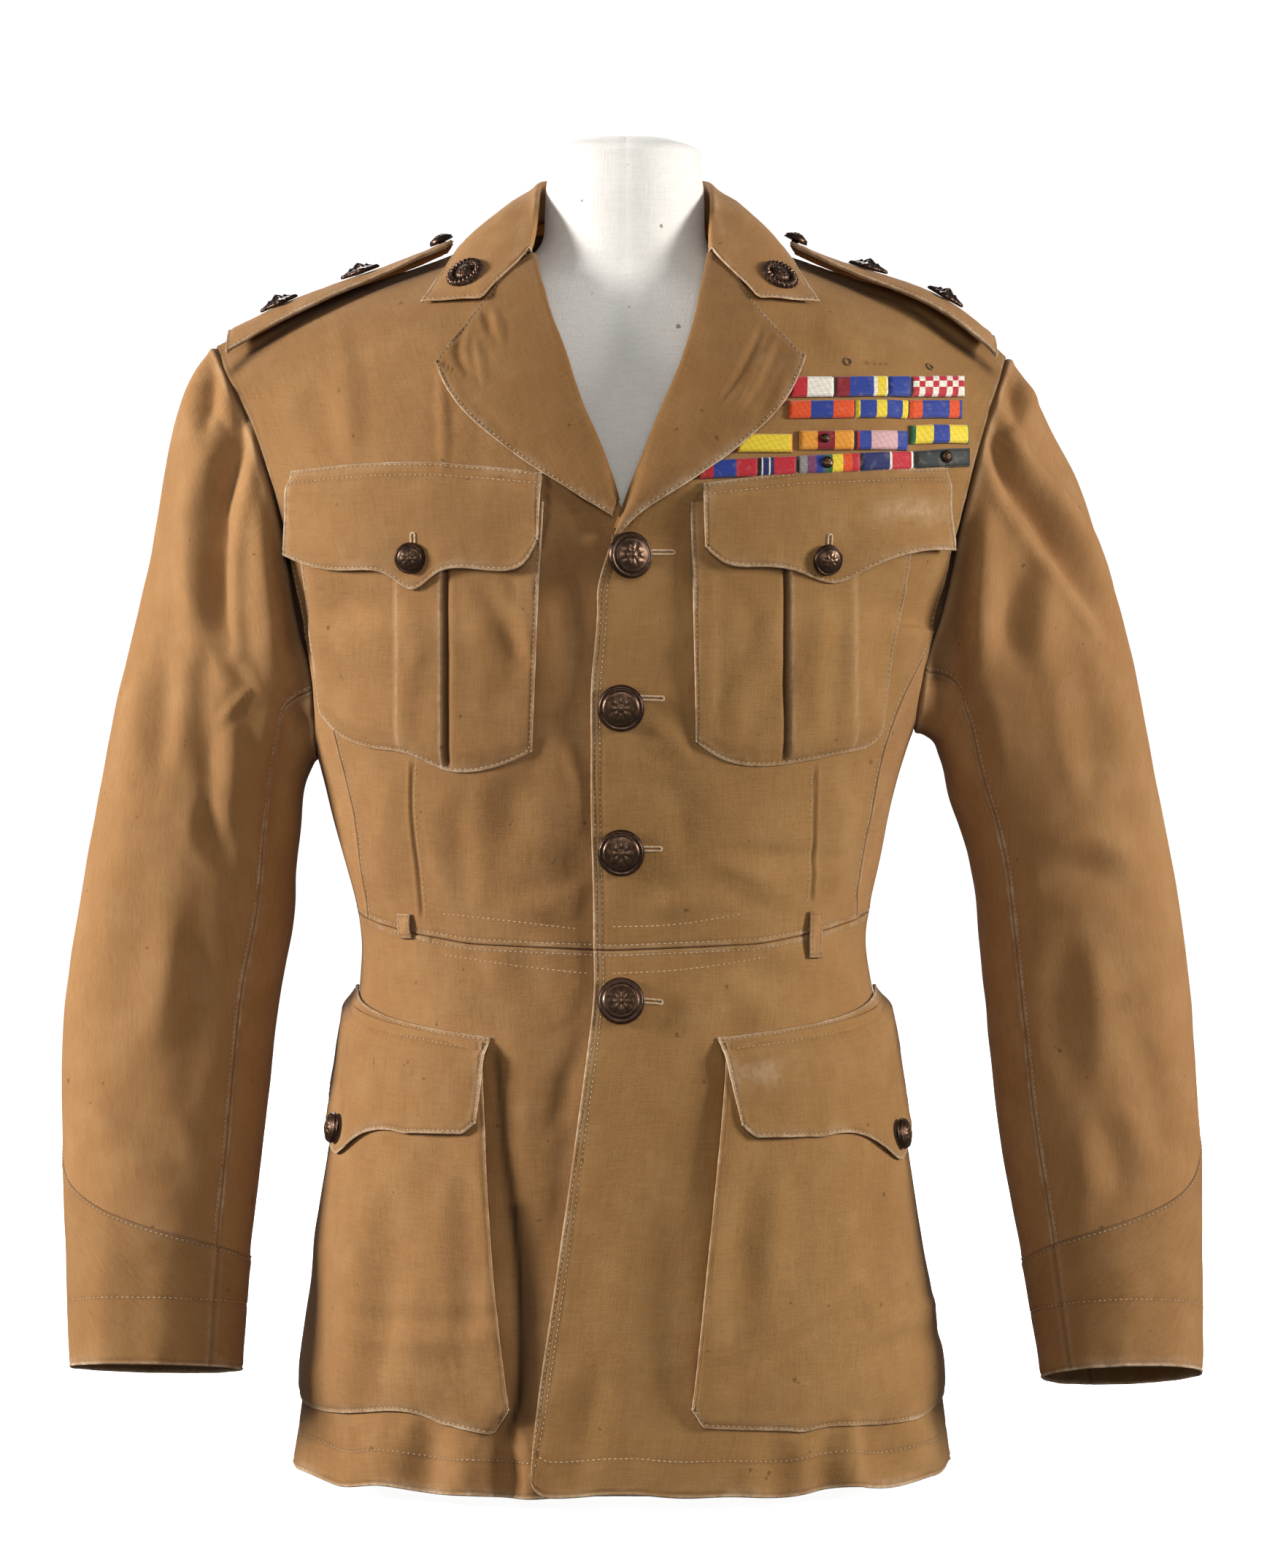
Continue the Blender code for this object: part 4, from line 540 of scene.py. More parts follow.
def sleeve_rows(side):
    sign = -1 if side == "R" else 1
    degrees = np.linspace(0, 360, SLEEVE_COLUMNS + 1)
    angle = np.radians(degrees)
    first = scye_loop(side, degrees)
    first[:, 0] += sign * 0.0028
    rows = [first]
    for xo, zo, xi, zi, deep, y, lift in SLEEVE[side]:
        outer, inner = place(sign * xo, zo, y), place(sign * xi, zi, y)
        mid, u = (outer + inner) / 2, (outer - inner) / 2
        a = math.radians(lift)
        v = deep * np.array([0, -math.cos(a), math.sin(a)])
        rows.append(mid + np.cos(angle)[:, None] * u + np.sin(angle)[:, None] * v)
    return np.array(rows)


SLEEVE_ROWS = {side: sleeve_rows(side) for side in "RL"}


def sleeve(side, degrees, v, out=0.0):
    """Sleeve surface: degrees round it, v in rows from the armhole (0) to the cuff's end (13)."""
    degrees, v = np.broadcast_arrays(np.asarray(degrees, float), np.asarray(v, float))

    def at(deg, row):
        rows = SLEEVE_ROWS[side]
        points = spline(np.arange(len(rows)), rows, row.reshape(-1))
        pos = (deg.reshape(-1) % 360) / 360 * SLEEVE_COLUMNS
        i = np.clip(pos.astype(int), 0, SLEEVE_COLUMNS - 1)
        f = (pos - i)[:, None]
        n = np.arange(len(pos))
        return (points[n, i] * (1 - f) + points[n, i + 1] * f).reshape(deg.shape + (3,))

    points = at(degrees, v)
    if out:
        du = at(degrees + 3, v) - at(degrees - 3, v)
        dv = at(degrees, np.clip(v + 0.05, 0, 13)) - at(degrees, np.clip(v - 0.05, 0, 13))
        n = np.cross(du, dv)
        n /= np.linalg.norm(n, axis=-1, keepdims=True)
        if side == "R":
            n = -n
        points = points + n * out
    return points


def sleeve_columns():
    """Degrees of the top sleeve's columns, one of them on the cuff's point, and of the under sleeve's."""
    top = np.concatenate([np.linspace(SLEEVE_HIND_SEAM, CUFF_POINT, 7), np.linspace(CUFF_POINT, SLEEVE_FRONT_SEAM, 9)[1:]])
    return top, np.linspace(SLEEVE_FRONT_SEAM, SLEEVE_HIND_SEAM + 360, 7)


def cuff_row(degrees):
    away = np.abs((np.asarray(degrees, float) - CUFF_POINT + 180) % 360 - 180)
    low = math.exp(-180 / CUFF_FADE)
    return CUFF_LOW - CUFF_RISE * (np.exp(-away / CUFF_FADE) - low) / (1 - low)


def tree_of(grid):
    rows, cols = grid.shape[:2]
    faces = [(r * cols + c, r * cols + c + 1, (r + 1) * cols + c + 1, (r + 1) * cols + c) for r in range(rows - 1) for c in range(cols - 1)]
    return BVHTree.FromPolygons([Vector(p) for p in grid.reshape(-1, 3)], faces)


class Seen:
    """Finds the point of the front that is seen at (x, z)."""

    def __init__(self, side, grid=None):
        self.eye = Vector((VIEW_X, -VIEW_DISTANCE, VIEW_Z))
        if grid is not None:
            self.tree = tree_of(grid)
            return
        s, t = np.meshgrid(np.linspace(-0.22, 1, 74), np.linspace(0, 1, 90))
        grid = PATCHES["front", side](s, t)
        past = grid[:, -1:] + (grid[:, -1:] - grid[:, -3:-2]) * np.linspace(0.5, 4.5, 9)[None, :, None]
        past = np.where((t[:, :1] > FRONT_SCYE_T)[..., None], past, side_point(side, np.linspace(0.02, 0.5, 9)[None], np.minimum(t[:, :1] / FRONT_SCYE_T, 1)))
        grid = np.concatenate([grid, past], axis=1)
        self.tree = tree_of(grid)

    def one(self, x, z):
        ray = (Vector((x, 0, z)) - self.eye).normalized()
        hit = self.tree.ray_cast(self.eye, ray)[0]
        if hit is None:
            hit = self.tree.find_nearest(Vector((x, -0.10, z)))[0]
        return np.array(hit)

    def __call__(self, x, z, out=0.0):
        x, z, out = np.broadcast_arrays(np.asarray(x, float), np.asarray(z, float), out)
        points = np.empty(x.shape + (3,))
        e = 0.004
        for k in np.ndindex(x.shape):
            p = self.one(x[k], z[k])
            du = self.one(x[k] + e, z[k]) - self.one(x[k] - e, z[k])
            dv = self.one(x[k], z[k] + e) - self.one(x[k], z[k] - e)
            n = np.cross(du, dv)
            n /= np.linalg.norm(n) or 1
            points[k] = p + n * out[k]
        return points


SEEN = {side: Seen(side) for side in "RL"}


def frame_at(point, normal):
    z = Vector(normal).normalized()
    x = Vector((0, 0, 1)).cross(z)
    x = x.normalized() if x.length > 1e-4 else Vector((1, 0, 0))
    y = z.cross(x)
    turn = Matrix((x, y, z)).transposed().to_4x4()
    return Matrix.Translation(Vector(point)) @ turn


def normal_of(surface, a, b, e):
    du = surface(a + e, b) - surface(a - e, b)
    dv = surface(a, b + e) - surface(a, b - e)
    n = np.cross(du, dv)
    return n / np.linalg.norm(n)


def line_through(points, n, smooth=True):
    pts = np.array(points, float)
    run = np.concatenate([[0], np.cumsum(np.linalg.norm(np.diff(pts, axis=0), axis=1))])
    at = np.linspace(0, run[-1], n)
    if smooth and len(pts) > 2:
        return spline(run, pts, at)
    return np.stack([np.interp(at, run, pts[:, k]) for k in range(pts.shape[1])], axis=-1)


def between(top, low, n_rows):
    """Rows of points from one line to another."""
    t = np.linspace(0, 1, n_rows)[:, None, None]
    return top[None] * (1 - t) + low[None] * t


def tuck_below(grid, surface_normals, side):
    """Moves the hidden edge of the under front in below the over front."""
    if side != "R":
        return grid
    x_over = spline(*column(EDGE, 1), np.clip(grid[..., 2], 0, 0.53))
    depth = np.clip((grid[..., 0] - x_over + 0.030) / 0.026, 0, 1)
    depth = depth * depth * (3 - 2 * depth) * TUCK * 1.05
    return grid - surface_normals * depth[..., None]


def grid_normals(grid):
    du, dv = np.gradient(grid, axis=1), np.gradient(grid, axis=0)
    n = np.cross(du, dv)
    n /= np.linalg.norm(n, axis=-1, keepdims=True)
    middle = grid - np.array([0, 0.005, 0])
    middle[..., 2] = 0
    return n * np.sign((n * middle).sum(-1, keepdims=True))


def lapel_grid(side, rows=9, cols=7):
    sign = -1 if side == "R" else 1
    roll = line_through(LAPEL_ROLL[side], rows)
    edge = line_through(LAPEL_EDGE[side], rows)
    top = line_through(LAPEL_TOP[side], cols, smooth=False)
    s = np.linspace(0, 1, cols)
    flat = np.empty((rows, cols, 2))
    for r in range(rows):
        t = r / (rows - 1)
        straight = roll[r] * (1 - s[:, None]) + edge[r] * s[:, None]
        last = roll[-1] * (1 - s[:, None]) + edge[-1] * s[:, None]
        flat[r] = straight + (top - last) * t**3
    return sign * flat[..., 0], flat[..., 1], np.broadcast_to(s, (rows, cols))


def strap_point(side, x, across, up=0.0):
    """Shoulder strap: x along the shoulder, across from -1 (front) to 1 (back)."""
    sign = -1 if side == "R" else 1
    tip = scye(side, 1.0)
    seam = spline(*np.array(SHOULDER_SEAM + ((abs(tip[0]), tip[2]),)).T, x)
    half, rise = np.moveaxis(spline(*column(STRAP, 1, 2), x), -1, 0)
    far = np.clip((np.asarray(x) - 0.10) / 0.12, 0, 1)
    y = 0.002 + across * half
    z = seam + rise + up - (0.003 + 0.0085 * far) * np.abs(across) ** 2 + 0.0022 * far * across
    return np.stack([sign * x * np.ones_like(y), y, z], axis=-1)


def strap_normal(side, x):
    e = 0.003
    du = strap_point(side, np.array(x + e), np.array(0.0)) - strap_point(side, np.array(x - e), np.array(0.0))
    dv = strap_point(side, np.array(x), np.array(0.1)) - strap_point(side, np.array(x), np.array(-0.1))
    n = np.cross(du, dv)
    return n / np.linalg.norm(n) * np.sign(n[2])


# ================================================================ fine cloth
RNG = np.random.default_rng(11)
LATTICE = RNG.uniform(-1, 1, (32, 32, 32))


def noise(points, size, shift=0.0):
    """Smooth noise from -1 to 1 with lumps of about the given size in metres."""
    q = np.asarray(points, float) / size + shift
    cell = np.floor(q).astype(int)
    f = q - cell
    f = f * f * (3 - 2 * f)
    a, b = cell % 32, (cell + 1) % 32
    fx, fy, fz = f[..., 0], f[..., 1], f[..., 2]
    out = 0
    for i, wx in ((a, 1 - fx), (b, fx)):
        for j, wy in ((a, 1 - fy), (b, fy)):
            for k, wz in ((a, 1 - fz), (b, fz)):
                out = out + LATTICE[i[..., 0], j[..., 1], k[..., 2]] * wx * wy * wz
    return out


def lumps(points, size, shift=0.0):
    return noise(points, size, shift) + 0.5 * noise(points, size * 0.47, shift + 5.3) + 0.25 * noise(points, size * 0.22, shift + 9.1)


def spot(px, py):
    """Seen x and z of a place on the picture, which is 1736 wide and 2148 tall."""
    return (px - 868) * 0.00042 + 0.0076, 0.8491 - 0.00042 * py


def seen_of(points):
    share = (VIEW_DISTANCE + points[..., 1]) / VIEW_DISTANCE
    return VIEW_X + (points[..., 0] - VIEW_X) / share, VIEW_Z + (points[..., 2] - VIEW_Z) / share


def smooth_step(x, low, high):
    t = np.clip((x - low) / (high - low), 0, 1)
    return t * t * (3 - 2 * t)


def along_line(line, x, z):
    """Signed distance from a line and the share of the way along it, for points (x, z)."""
    line = np.asarray(line, float)
    run = np.concatenate([[0], np.cumsum(np.linalg.norm(np.diff(line, axis=0), axis=1))])
    best = np.full(np.shape(x), 1e9)
    sign = np.ones(np.shape(x))
    share = np.zeros(np.shape(x))
    for k in range(len(line) - 1):
        (x0, z0), (x1, z1) = line[k], line[k + 1]
        ux, uz = x1 - x0, z1 - z0
        length = math.hypot(ux, uz) or 1e-9
        t = np.clip(((x - x0) * ux + (z - z0) * uz) / length**2, 0, 1)
        dx, dz = x - x0 - t * ux, z - z0 - t * uz
        d = np.hypot(dx, dz)
        near = d < best
        best = np.where(near, d, best)
        sign = np.where(near, np.sign(ux * dz - uz * dx + 1e-12), sign)
        share = np.where(near, (run[k] + t * length) / run[-1], share)
    return best * sign, share


def folds(table, x, z):
    """Height of soft folds. A row is width and height in millimetres, lean, then the places along it on the picture.

    A positive lean makes the left side of the fold, looking along it, the steep one."""
    height = np.zeros(np.shape(x))
    for width, tall, lean, *places in table:
        pts = np.array([spot(*place) for place in places])
        low, high = pts.min(0) - 0.004 * width, pts.max(0) + 0.004 * width
        inside = (x > low[0]) & (x < high[0]) & (z > low[1]) & (z < high[1])
        if not np.any(inside):
            continue
        line = line_through(pts, 16) if len(pts) > 2 else pts
        d, share = along_line(line, x[inside], z[inside])
        w = 0.001 * width * (0.72 + 0.45 * np.sin(np.pi * np.clip(share, 0, 1)))
        w = w * np.where(d > 0, 1 - 0.6 * lean, 1 + 0.6 * lean)
        q = np.abs(d) / w
        end = np.sin(np.pi * np.clip(share * 0.96 + 0.02, 0, 1)) ** 0.6
        height[inside] += 0.00175 * tall * end * (np.exp(-(q**2)) - 0.28 * np.exp(-(((q - 1.9) / 0.8) ** 2)))
    return height


# Folds of the body as seen from the front: width mm, height mm, lean, places on the picture
BODY_FOLDS = (
    # chest, wearer's right
    (2.4, 0.7, 0.0, (603, 500), (608, 580), (609, 655)),
    (7.0, -0.9, 0.2, (430, 520), (445, 575), (452, 630)),
    (5.5, 0.7, 0.0, (464, 440), (478, 540), (486, 645)),
    (9.0, -1.2, 0.0, (467, 815), (488, 850), (506, 880)),
    (12.0, -1.0, 0.0, (470, 900), (490, 940), (520, 985)),
    (6.0, -0.9, 0.0, (655, 800), (690, 857), (722, 905)),
    (5.0, 0.7, 0.0, (690, 800), (715, 850), (730, 905)),
    (8.0, 1.3, 0.0, (781, 715), (800, 760), (814, 800)),
    (8.0, -1.0, 0.0, (760, 760), (775, 830), (772, 900)),
    (7.0, 1.4, 0.0, (752, 1005), (775, 1080), (800, 1145)),
    (11.0, -1.7, 0.0, (712, 1065), (702, 1110), (690, 1165)),
    (6.0, 0.9, 0.0, (690, 1245), (751, 1241), (803, 1210)),
    (7.0, -1.0, 0.0, (640, 1080), (628, 1150), (640, 1230)),
    (8.0, 1.0, 0.0, (530, 1080), (528, 1160), (540, 1235)),
    (9.0, -1.6, 0.0, (452, 1040), (470, 1110), (488, 1180)),
    # chest, wearer's left
    (6.0, 0.9, 0.0, (1060, 850), (1031, 914), (996, 985)),
    (6.0, -0.7, 0.0, (1085, 905), (1050, 960), (1020, 1015)),
    (5.0, -0.8, 0.0, (985, 1169), (1070, 1175), (1158, 1172)),
    (7.0, 1.0, 0.0, (990, 1185), (1040, 1205), (1080, 1230)),
    (6.0, 1.2, 0.0, (882, 990), (915, 1010), (940, 1040)),
    (9.0, -1.2, 0.0, (905, 1060), (935, 1110), (940, 1170)),
    (6.0, 0.8, 0.0, (880, 1245), (940, 1240), (1010, 1228)),
    (10.0, -1.6, 0.0, (1215, 800), (1212, 900), (1200, 980)),
    (8.0, 1.1, 0.0, (1150, 1080), (1160, 1150), (1150, 1230)),
    (7.0, -1.3, 0.0, (1195, 1130), (1180, 1190), (1172, 1240)),
    (8.0, -0.9, 0.0, (1235, 560), (1250, 620), (1262, 700)),
    (7.0, 0.9, 0.0, (1130, 430), (1150, 470), (1185, 500)),
    (7.0, -1.0, 0.0, (1300, 640), (1290, 690), (1275, 740)),
    # skirt, wearer's right
    (10.0, -1.5, 0.1, (702, 1300), (735, 1350), (760, 1400)),
    (6.0, -0.9, 0.0, (794, 1440), (765, 1500), (736, 1570)),
    (9.0, 0.9, 0.0, (700, 1400), (722, 1520), (735, 1680)),
    (10.0, -1.1, 0.0, (690, 1600), (712, 1720), (722, 1860)),
    (10.0, 1.4, 0.0, (560, 1300), (600, 1345), (650, 1385)),
    (8.0, -3.2, -0.1, (582, 1945), (584, 1990), (583, 2075)),
    (7.0, -3.6, 0.3, (690, 1950), (695, 2000), (697, 2085)),
    (9.0, 2.2, 0.0, (637, 1950), (640, 2000), (642, 2075)),
    (8.0, 2.0, 0.0, (520, 1955), (522, 2000), (524, 2065)),
    (9.0, -2.2, 0.0, (460, 1940), (455, 1990), (450, 2050)),
    # skirt, wearer's left
    (12.0, -1.3, 0.0, (918, 1600), (903, 1760), (902, 1850), (928, 1950)),
    (12.0, 0.9, 0.0, (862, 1700), (850, 1830), (848, 1960)),
    (10.0, 1.6, 0.0, (975, 1330), (960, 1420), (962, 1520)),
    (9.0, -1.4, 0.0, (1010, 1320), (1060, 1345), (1120, 1345)),
    (7.0, 4.2, 0.35, (1166, 1950), (1168, 2005), (1170, 2080)),
    (11.0, -3.2, 0.0, (1205, 1950), (1212, 2000), (1216, 2050)),
    (8.0, 1.8, 0.0, (1258, 1930), (1262, 1980), (1262, 2020)),
    (9.0, -1.8, 0.0, (1060, 1975), (1066, 2020), (1070, 2070)),
    (9.0, -1.2, 0.0, (820, 1880), (800, 1960), (790, 2050)),
)
# Creases of the lapels
LAPEL_FOLDS = (
    (2.0, -0.5, 0.0, (662, 424), (668, 440), (672, 460)),
    (2.0, 0.5, 0.0, (676, 420), (684, 446), (690, 474)),
    (2.2, -0.6, 0.0, (640, 446), (628, 480), (644, 516)),
    (2.2, 0.5, 0.0, (652, 466), (660, 500), (664, 526)),
    (4.5, -0.4, 0.0, (640, 548), (700, 600), (770, 630)),
    (2.2, 0.6, 0.0, (1062, 462), (1040, 510), (1008, 566)),
    (2.2, -0.6, 0.0, (1044, 448), (1020, 500), (984, 556)),
    (2.6, 0.4, 0.0, (1078, 510), (1060, 560), (1036, 606)),
)
# Folds of the sleeves as seen from the front
SLEEVE_FOLDS = {
    "R": (
        (4.5, -3.0, 0.2, (297, 505), (287, 552), (281, 592)),
        (8.0, 3.0, -0.1, (272, 548), (259, 640), (252, 720)),
        (4.0, 2.0, 0.0, (312, 530), (318, 560), (322, 585)),
        (6.5, -5.5, 0.25, (334, 560), (326, 624), (308, 677), (298, 724), (296, 780), (302, 834), (314, 884)),
        (9.0, 3.4, -0.1, (346, 640), (360, 745), (369, 842), (372, 920)),
        (7.0, 2.4, 0.0, (288, 640), (272, 720), (264, 820), (268, 900)),
        (4.0, -1.3, 0.0, (299, 888), (322, 918), (345, 945)),
        (2.5, 1.0, 0.0, (345, 940), (322, 966), (296, 996)),
        (7.0, -1.9, 0.0, (286, 900), (278, 969), (284, 1034), (292, 1088)),
        (7.0, 1.8, 0.0, (318, 990), (318, 1060), (310, 1140)),
        (6.0, -2.0, 0.0, (283, 1090), (291, 1140), (312, 1185)),
        (7.0, -1.8, 0.0, (226, 880), (222, 960), (216, 1050)),
        (9.0, 1.6, 0.0, (196, 900), (182, 1020), (172, 1120)),
        (11.0, -1.2, 0.0, (205, 1150), (165, 1330), (140, 1450)),
        (8.0, -0.9, 0.0, (272, 1240), (272, 1371), (250, 1520)),
        (8.0, 1.3, 0.0, (232, 1260), (226, 1350), (206, 1440)),
        (10.0, 1.1, 0.0, (120, 1480), (170, 1560), (240, 1610)),
        (9.0, -1.2, 0.0, (150, 1500), (200, 1570), (260, 1620)),
        (8.0, -1.0, 0.0, (255, 1710), (262, 1780), (264, 1860)),
        (9.0, 0.9, 0.0, (150, 1680), (140, 1770), (142, 1860)),
        (8.0, -4.0, 0.0, (388, 690), (402, 780), (416, 870), (424, 950)),
        (7.0, -3.0, 0.0, (398, 960), (388, 1060), (372, 1160)),
    ),
    "L": (
        (4.0, -2.6, 0.0, (1378, 530), (1384, 552), (1396, 580)),
        (3.5, 1.8, 0.0, (1398, 520), (1408, 545), (1420, 575)),
        (3.0, -1.6, 0.0, (1352, 577), (1370, 581), (1392, 580)),
        (6.0, -5.2, -0.3, (1360, 590), (1370, 636), (1398, 684), (1421, 711), (1446, 750), (1474, 792), (1502, 836), (1520, 872)),
        (7.5, 3.6, 0.1, (1378, 588), (1407, 640), (1445, 688), (1484, 746), (1516, 816)),
        (9.0, -2.6, 0.0, (1412, 745), (1388, 830), (1386, 905)),
        (8.0, 2.2, 0.0, (1440, 775), (1428, 850), (1432, 930)),
        (8.0, -2.4, 0.0, (1296, 850), (1318, 960), (1352, 1060)),
        (7.0, 2.0, 0.0, (1355, 700), (1345, 800), (1350, 900)),
        (8.0, -1.8, 0.0, (1480, 900), (1492, 1000), (1500, 1090)),
        (8.0, 1.5, 0.0, (1540, 930), (1560, 1030), (1572, 1120)),
        (9.0, -1.9, 0.0, (1425, 1216), (1485, 1196), (1545, 1222)),
        (8.0, 1.4, 0.0, (1440, 1160), (1500, 1150), (1560, 1180)),
        (10.0, -1.8, 0.0, (1458, 1290), (1458, 1390), (1472, 1485)),
        (9.0, 1.4, 0.0, (1500, 1300), (1506, 1400), (1516, 1480)),
        (9.0, -1.5, 0.0, (1506, 1530), (1530, 1590), (1540, 1640)),
        (8.0, -1.3, 0.0, (1560, 1420), (1580, 1500), (1590, 1580)),
        (8.0, 1.0, 0.0, (1490, 1560), (1490, 1620), (1482, 1680)),
        (9.0, 0.8, 0.0, (1540, 1720), (1545, 1790), (1545, 1860)),
        (9.0, -4.0, 0.0, (1322, 700), (1300, 800), (1292, 900), (1296, 980)),
    ),
}
# Folds of the back, in the same units, as they would be seen through the front
BACK_FOLDS = (
    (9.0, 1.8, 0.0, (560, 560), (610, 640), (640, 740)),
    (8.0, -1.6, 0.0, (500, 600), (530, 690), (560, 790)),
    (9.0, 1.6, 0.0, (1170, 560), (1120, 640), (1090, 730)),
    (8.0, -1.5, 0.0, (1230, 610), (1200, 700), (1160, 800)),
    (7.0, -1.4, 0.0, (780, 420), (860, 440), (950, 424)),
    (8.0, 1.2, 0.0, (760, 470), (860, 492), (970, 474)),
    (9.0, -1.8, 0.0, (700, 1080), (690, 1150), (700, 1230)),
    (8.0, 1.5, 0.0, (750, 1090), (742, 1160), (748, 1240)),
    (9.0, -1.7, 0.0, (1040, 1070), (1052, 1150), (1044, 1230)),
    (8.0, 1.5, 0.0, (990, 1090), (1000, 1160), (996, 1240)),
    (6.0, 1.0, 0.0, (590, 1190), (700, 1226), (800, 1222)),
    (6.0, 1.0, 0.0, (930, 1222), (1040, 1228), (1150, 1190)),
    (12.0, -2.6, 0.0, (640, 1450), (620, 1700), (610, 1980)),
    (12.0, 2.2, 0.0, (720, 1400), (712, 1700), (706, 2040)),
    (12.0, -2.4, 0.0, (1080, 1440), (1100, 1700), (1106, 1990)),
    (12.0, 2.2, 0.0, (1010, 1400), (1020, 1700), (1024, 2040)),
    (9.0, -2.6, 0.0, (790, 1800), (786, 1920), (780, 2060)),
    (9.0, -2.4, 0.0, (940, 1820), (946, 1930), (950, 2060)),
)
BACK_SLEEVE_FOLDS = {
    "R": (
        (7.0, -3.6, 0.2, (330, 560), (310, 650), (300, 740), (305, 820)),
        (8.0, 2.6, 0.0, (280, 560), (262, 660), (256, 760)),
        (9.0, 2.6, 0.0, (352, 650), (362, 760), (366, 860)),
        (7.0, -2.4, 0.0, (150, 1180), (200, 1215), (270, 1220)),
        (7.0, 1.8, 0.0, (150, 1230), (205, 1262), (280, 1262)),
        (7.0, -2.0, 0.0, (140, 1290), (200, 1320), (270, 1312)),
        (10.0, -1.8, 0.0, (220, 900), (212, 1000), (220, 1100)),
        (9.0, 1.4, 0.0, (180, 1420), (190, 1520), (200, 1600)),
        (9.0, -1.2, 0.0, (250, 1430), (248, 1530), (236, 1640)),
    ),
    "L": (
        (7.0, -3.4, -0.2, (1370, 590), (1400, 690), (1440, 780), (1470, 850)),
        (8.0, 2.6, 0.0, (1410, 600), (1452, 690), (1490, 790)),
        (9.0, 2.2, 0.0, (1350, 700), (1356, 800), (1372, 900)),
        (7.0, -2.2, 0.0, (1430, 1200), (1500, 1226), (1580, 1200)),
        (7.0, 1.8, 0.0, (1440, 1246), (1510, 1272), (1590, 1250)),
        (7.0, -1.8, 0.0, (1450, 1300), (1520, 1326), (1600, 1310)),
        (10.0, -1.6, 0.0, (1500, 920), (1520, 1020), (1530, 1110)),
        (9.0, 1.2, 0.0, (1520, 1440), (1530, 1540), (1520, 1640)),
    ),
}


def facing(points, normals, to_front=True):
    way = -normals[..., 1] if to_front else normals[..., 1]
    return smooth_step(way, 0.05, 0.45)


def body_relief(points, normals):
    """Height of the folds of the body's cloth at base points on it."""
    x, z = seen_of(points)
    front = 0.95 * folds(BODY_FOLDS, x, z) * facing(points, normals)
    back = 1.6 * folds(BACK_FOLDS, x, z) * facing(points, normals, False)
    flat = points * np.array([1.0, 1.0, 0.55])
    return front + back + 0.00055 * lumps(flat, 0.045) + 0.00028 * noise(points, 0.016, 3.0)


def sleeve_relief(side, points, normals):
    x, z = seen_of(points)
    front = 0.92 * folds(SLEEVE_FOLDS[side], x, z) * facing(points, normals)
    back = 1.4 * folds(BACK_SLEEVE_FOLDS[side], x, z) * facing(points, normals, False)
    flat = points * np.array([1.0, 1.0, 0.45])
    return front + back + 0.0007 * lumps(flat, 0.04, 2.0) + 0.00025 * noise(points, 0.015, 7.0)


def normals_of(grid, loop=False):
    if loop:
        wide = np.concatenate([grid[:, -2:], grid, grid[:, :2]], axis=1)
        du = np.gradient(wide, axis=1)[:, 2:-2]
    else:
        du = np.gradient(grid, axis=1)
    dv = np.gradient(grid, axis=0)
    n = np.cross(du, dv)
    return n / np.linalg.norm(n, axis=-1, keepdims=True).clip(1e-12)


def run_along(grid, axis):
    step = np.linalg.norm(np.diff(grid, axis=axis), axis=-1)
    zero = np.zeros_like(np.take(step, [0], axis=axis))
    return np.concatenate([zero, np.cumsum(step, axis=axis)], axis=axis)


def stops(length, step, fine=0.0007, margin=0.005, at=(), low=True, high=True):
    """Shares along a length, close together near its ends and near each marked share."""
    marks = ([0.0] if low else []) + ([1.0] if high else []) + list(at)
    x, out = 0.0, [0.0]
    while x < 1:
        near = min((abs(x - m) for m in marks), default=1.0) * length
        gap = fine + (step - fine) * min(1.0, max(0.0, (near - margin * 0.45) / margin))
        x += gap / length
        out.append(min(x, 1.0))
    out = np.array(out)
    return out / out[-1]


SHEETS = []
STITCHES = []
COUNTS = {}
FINAL = {}


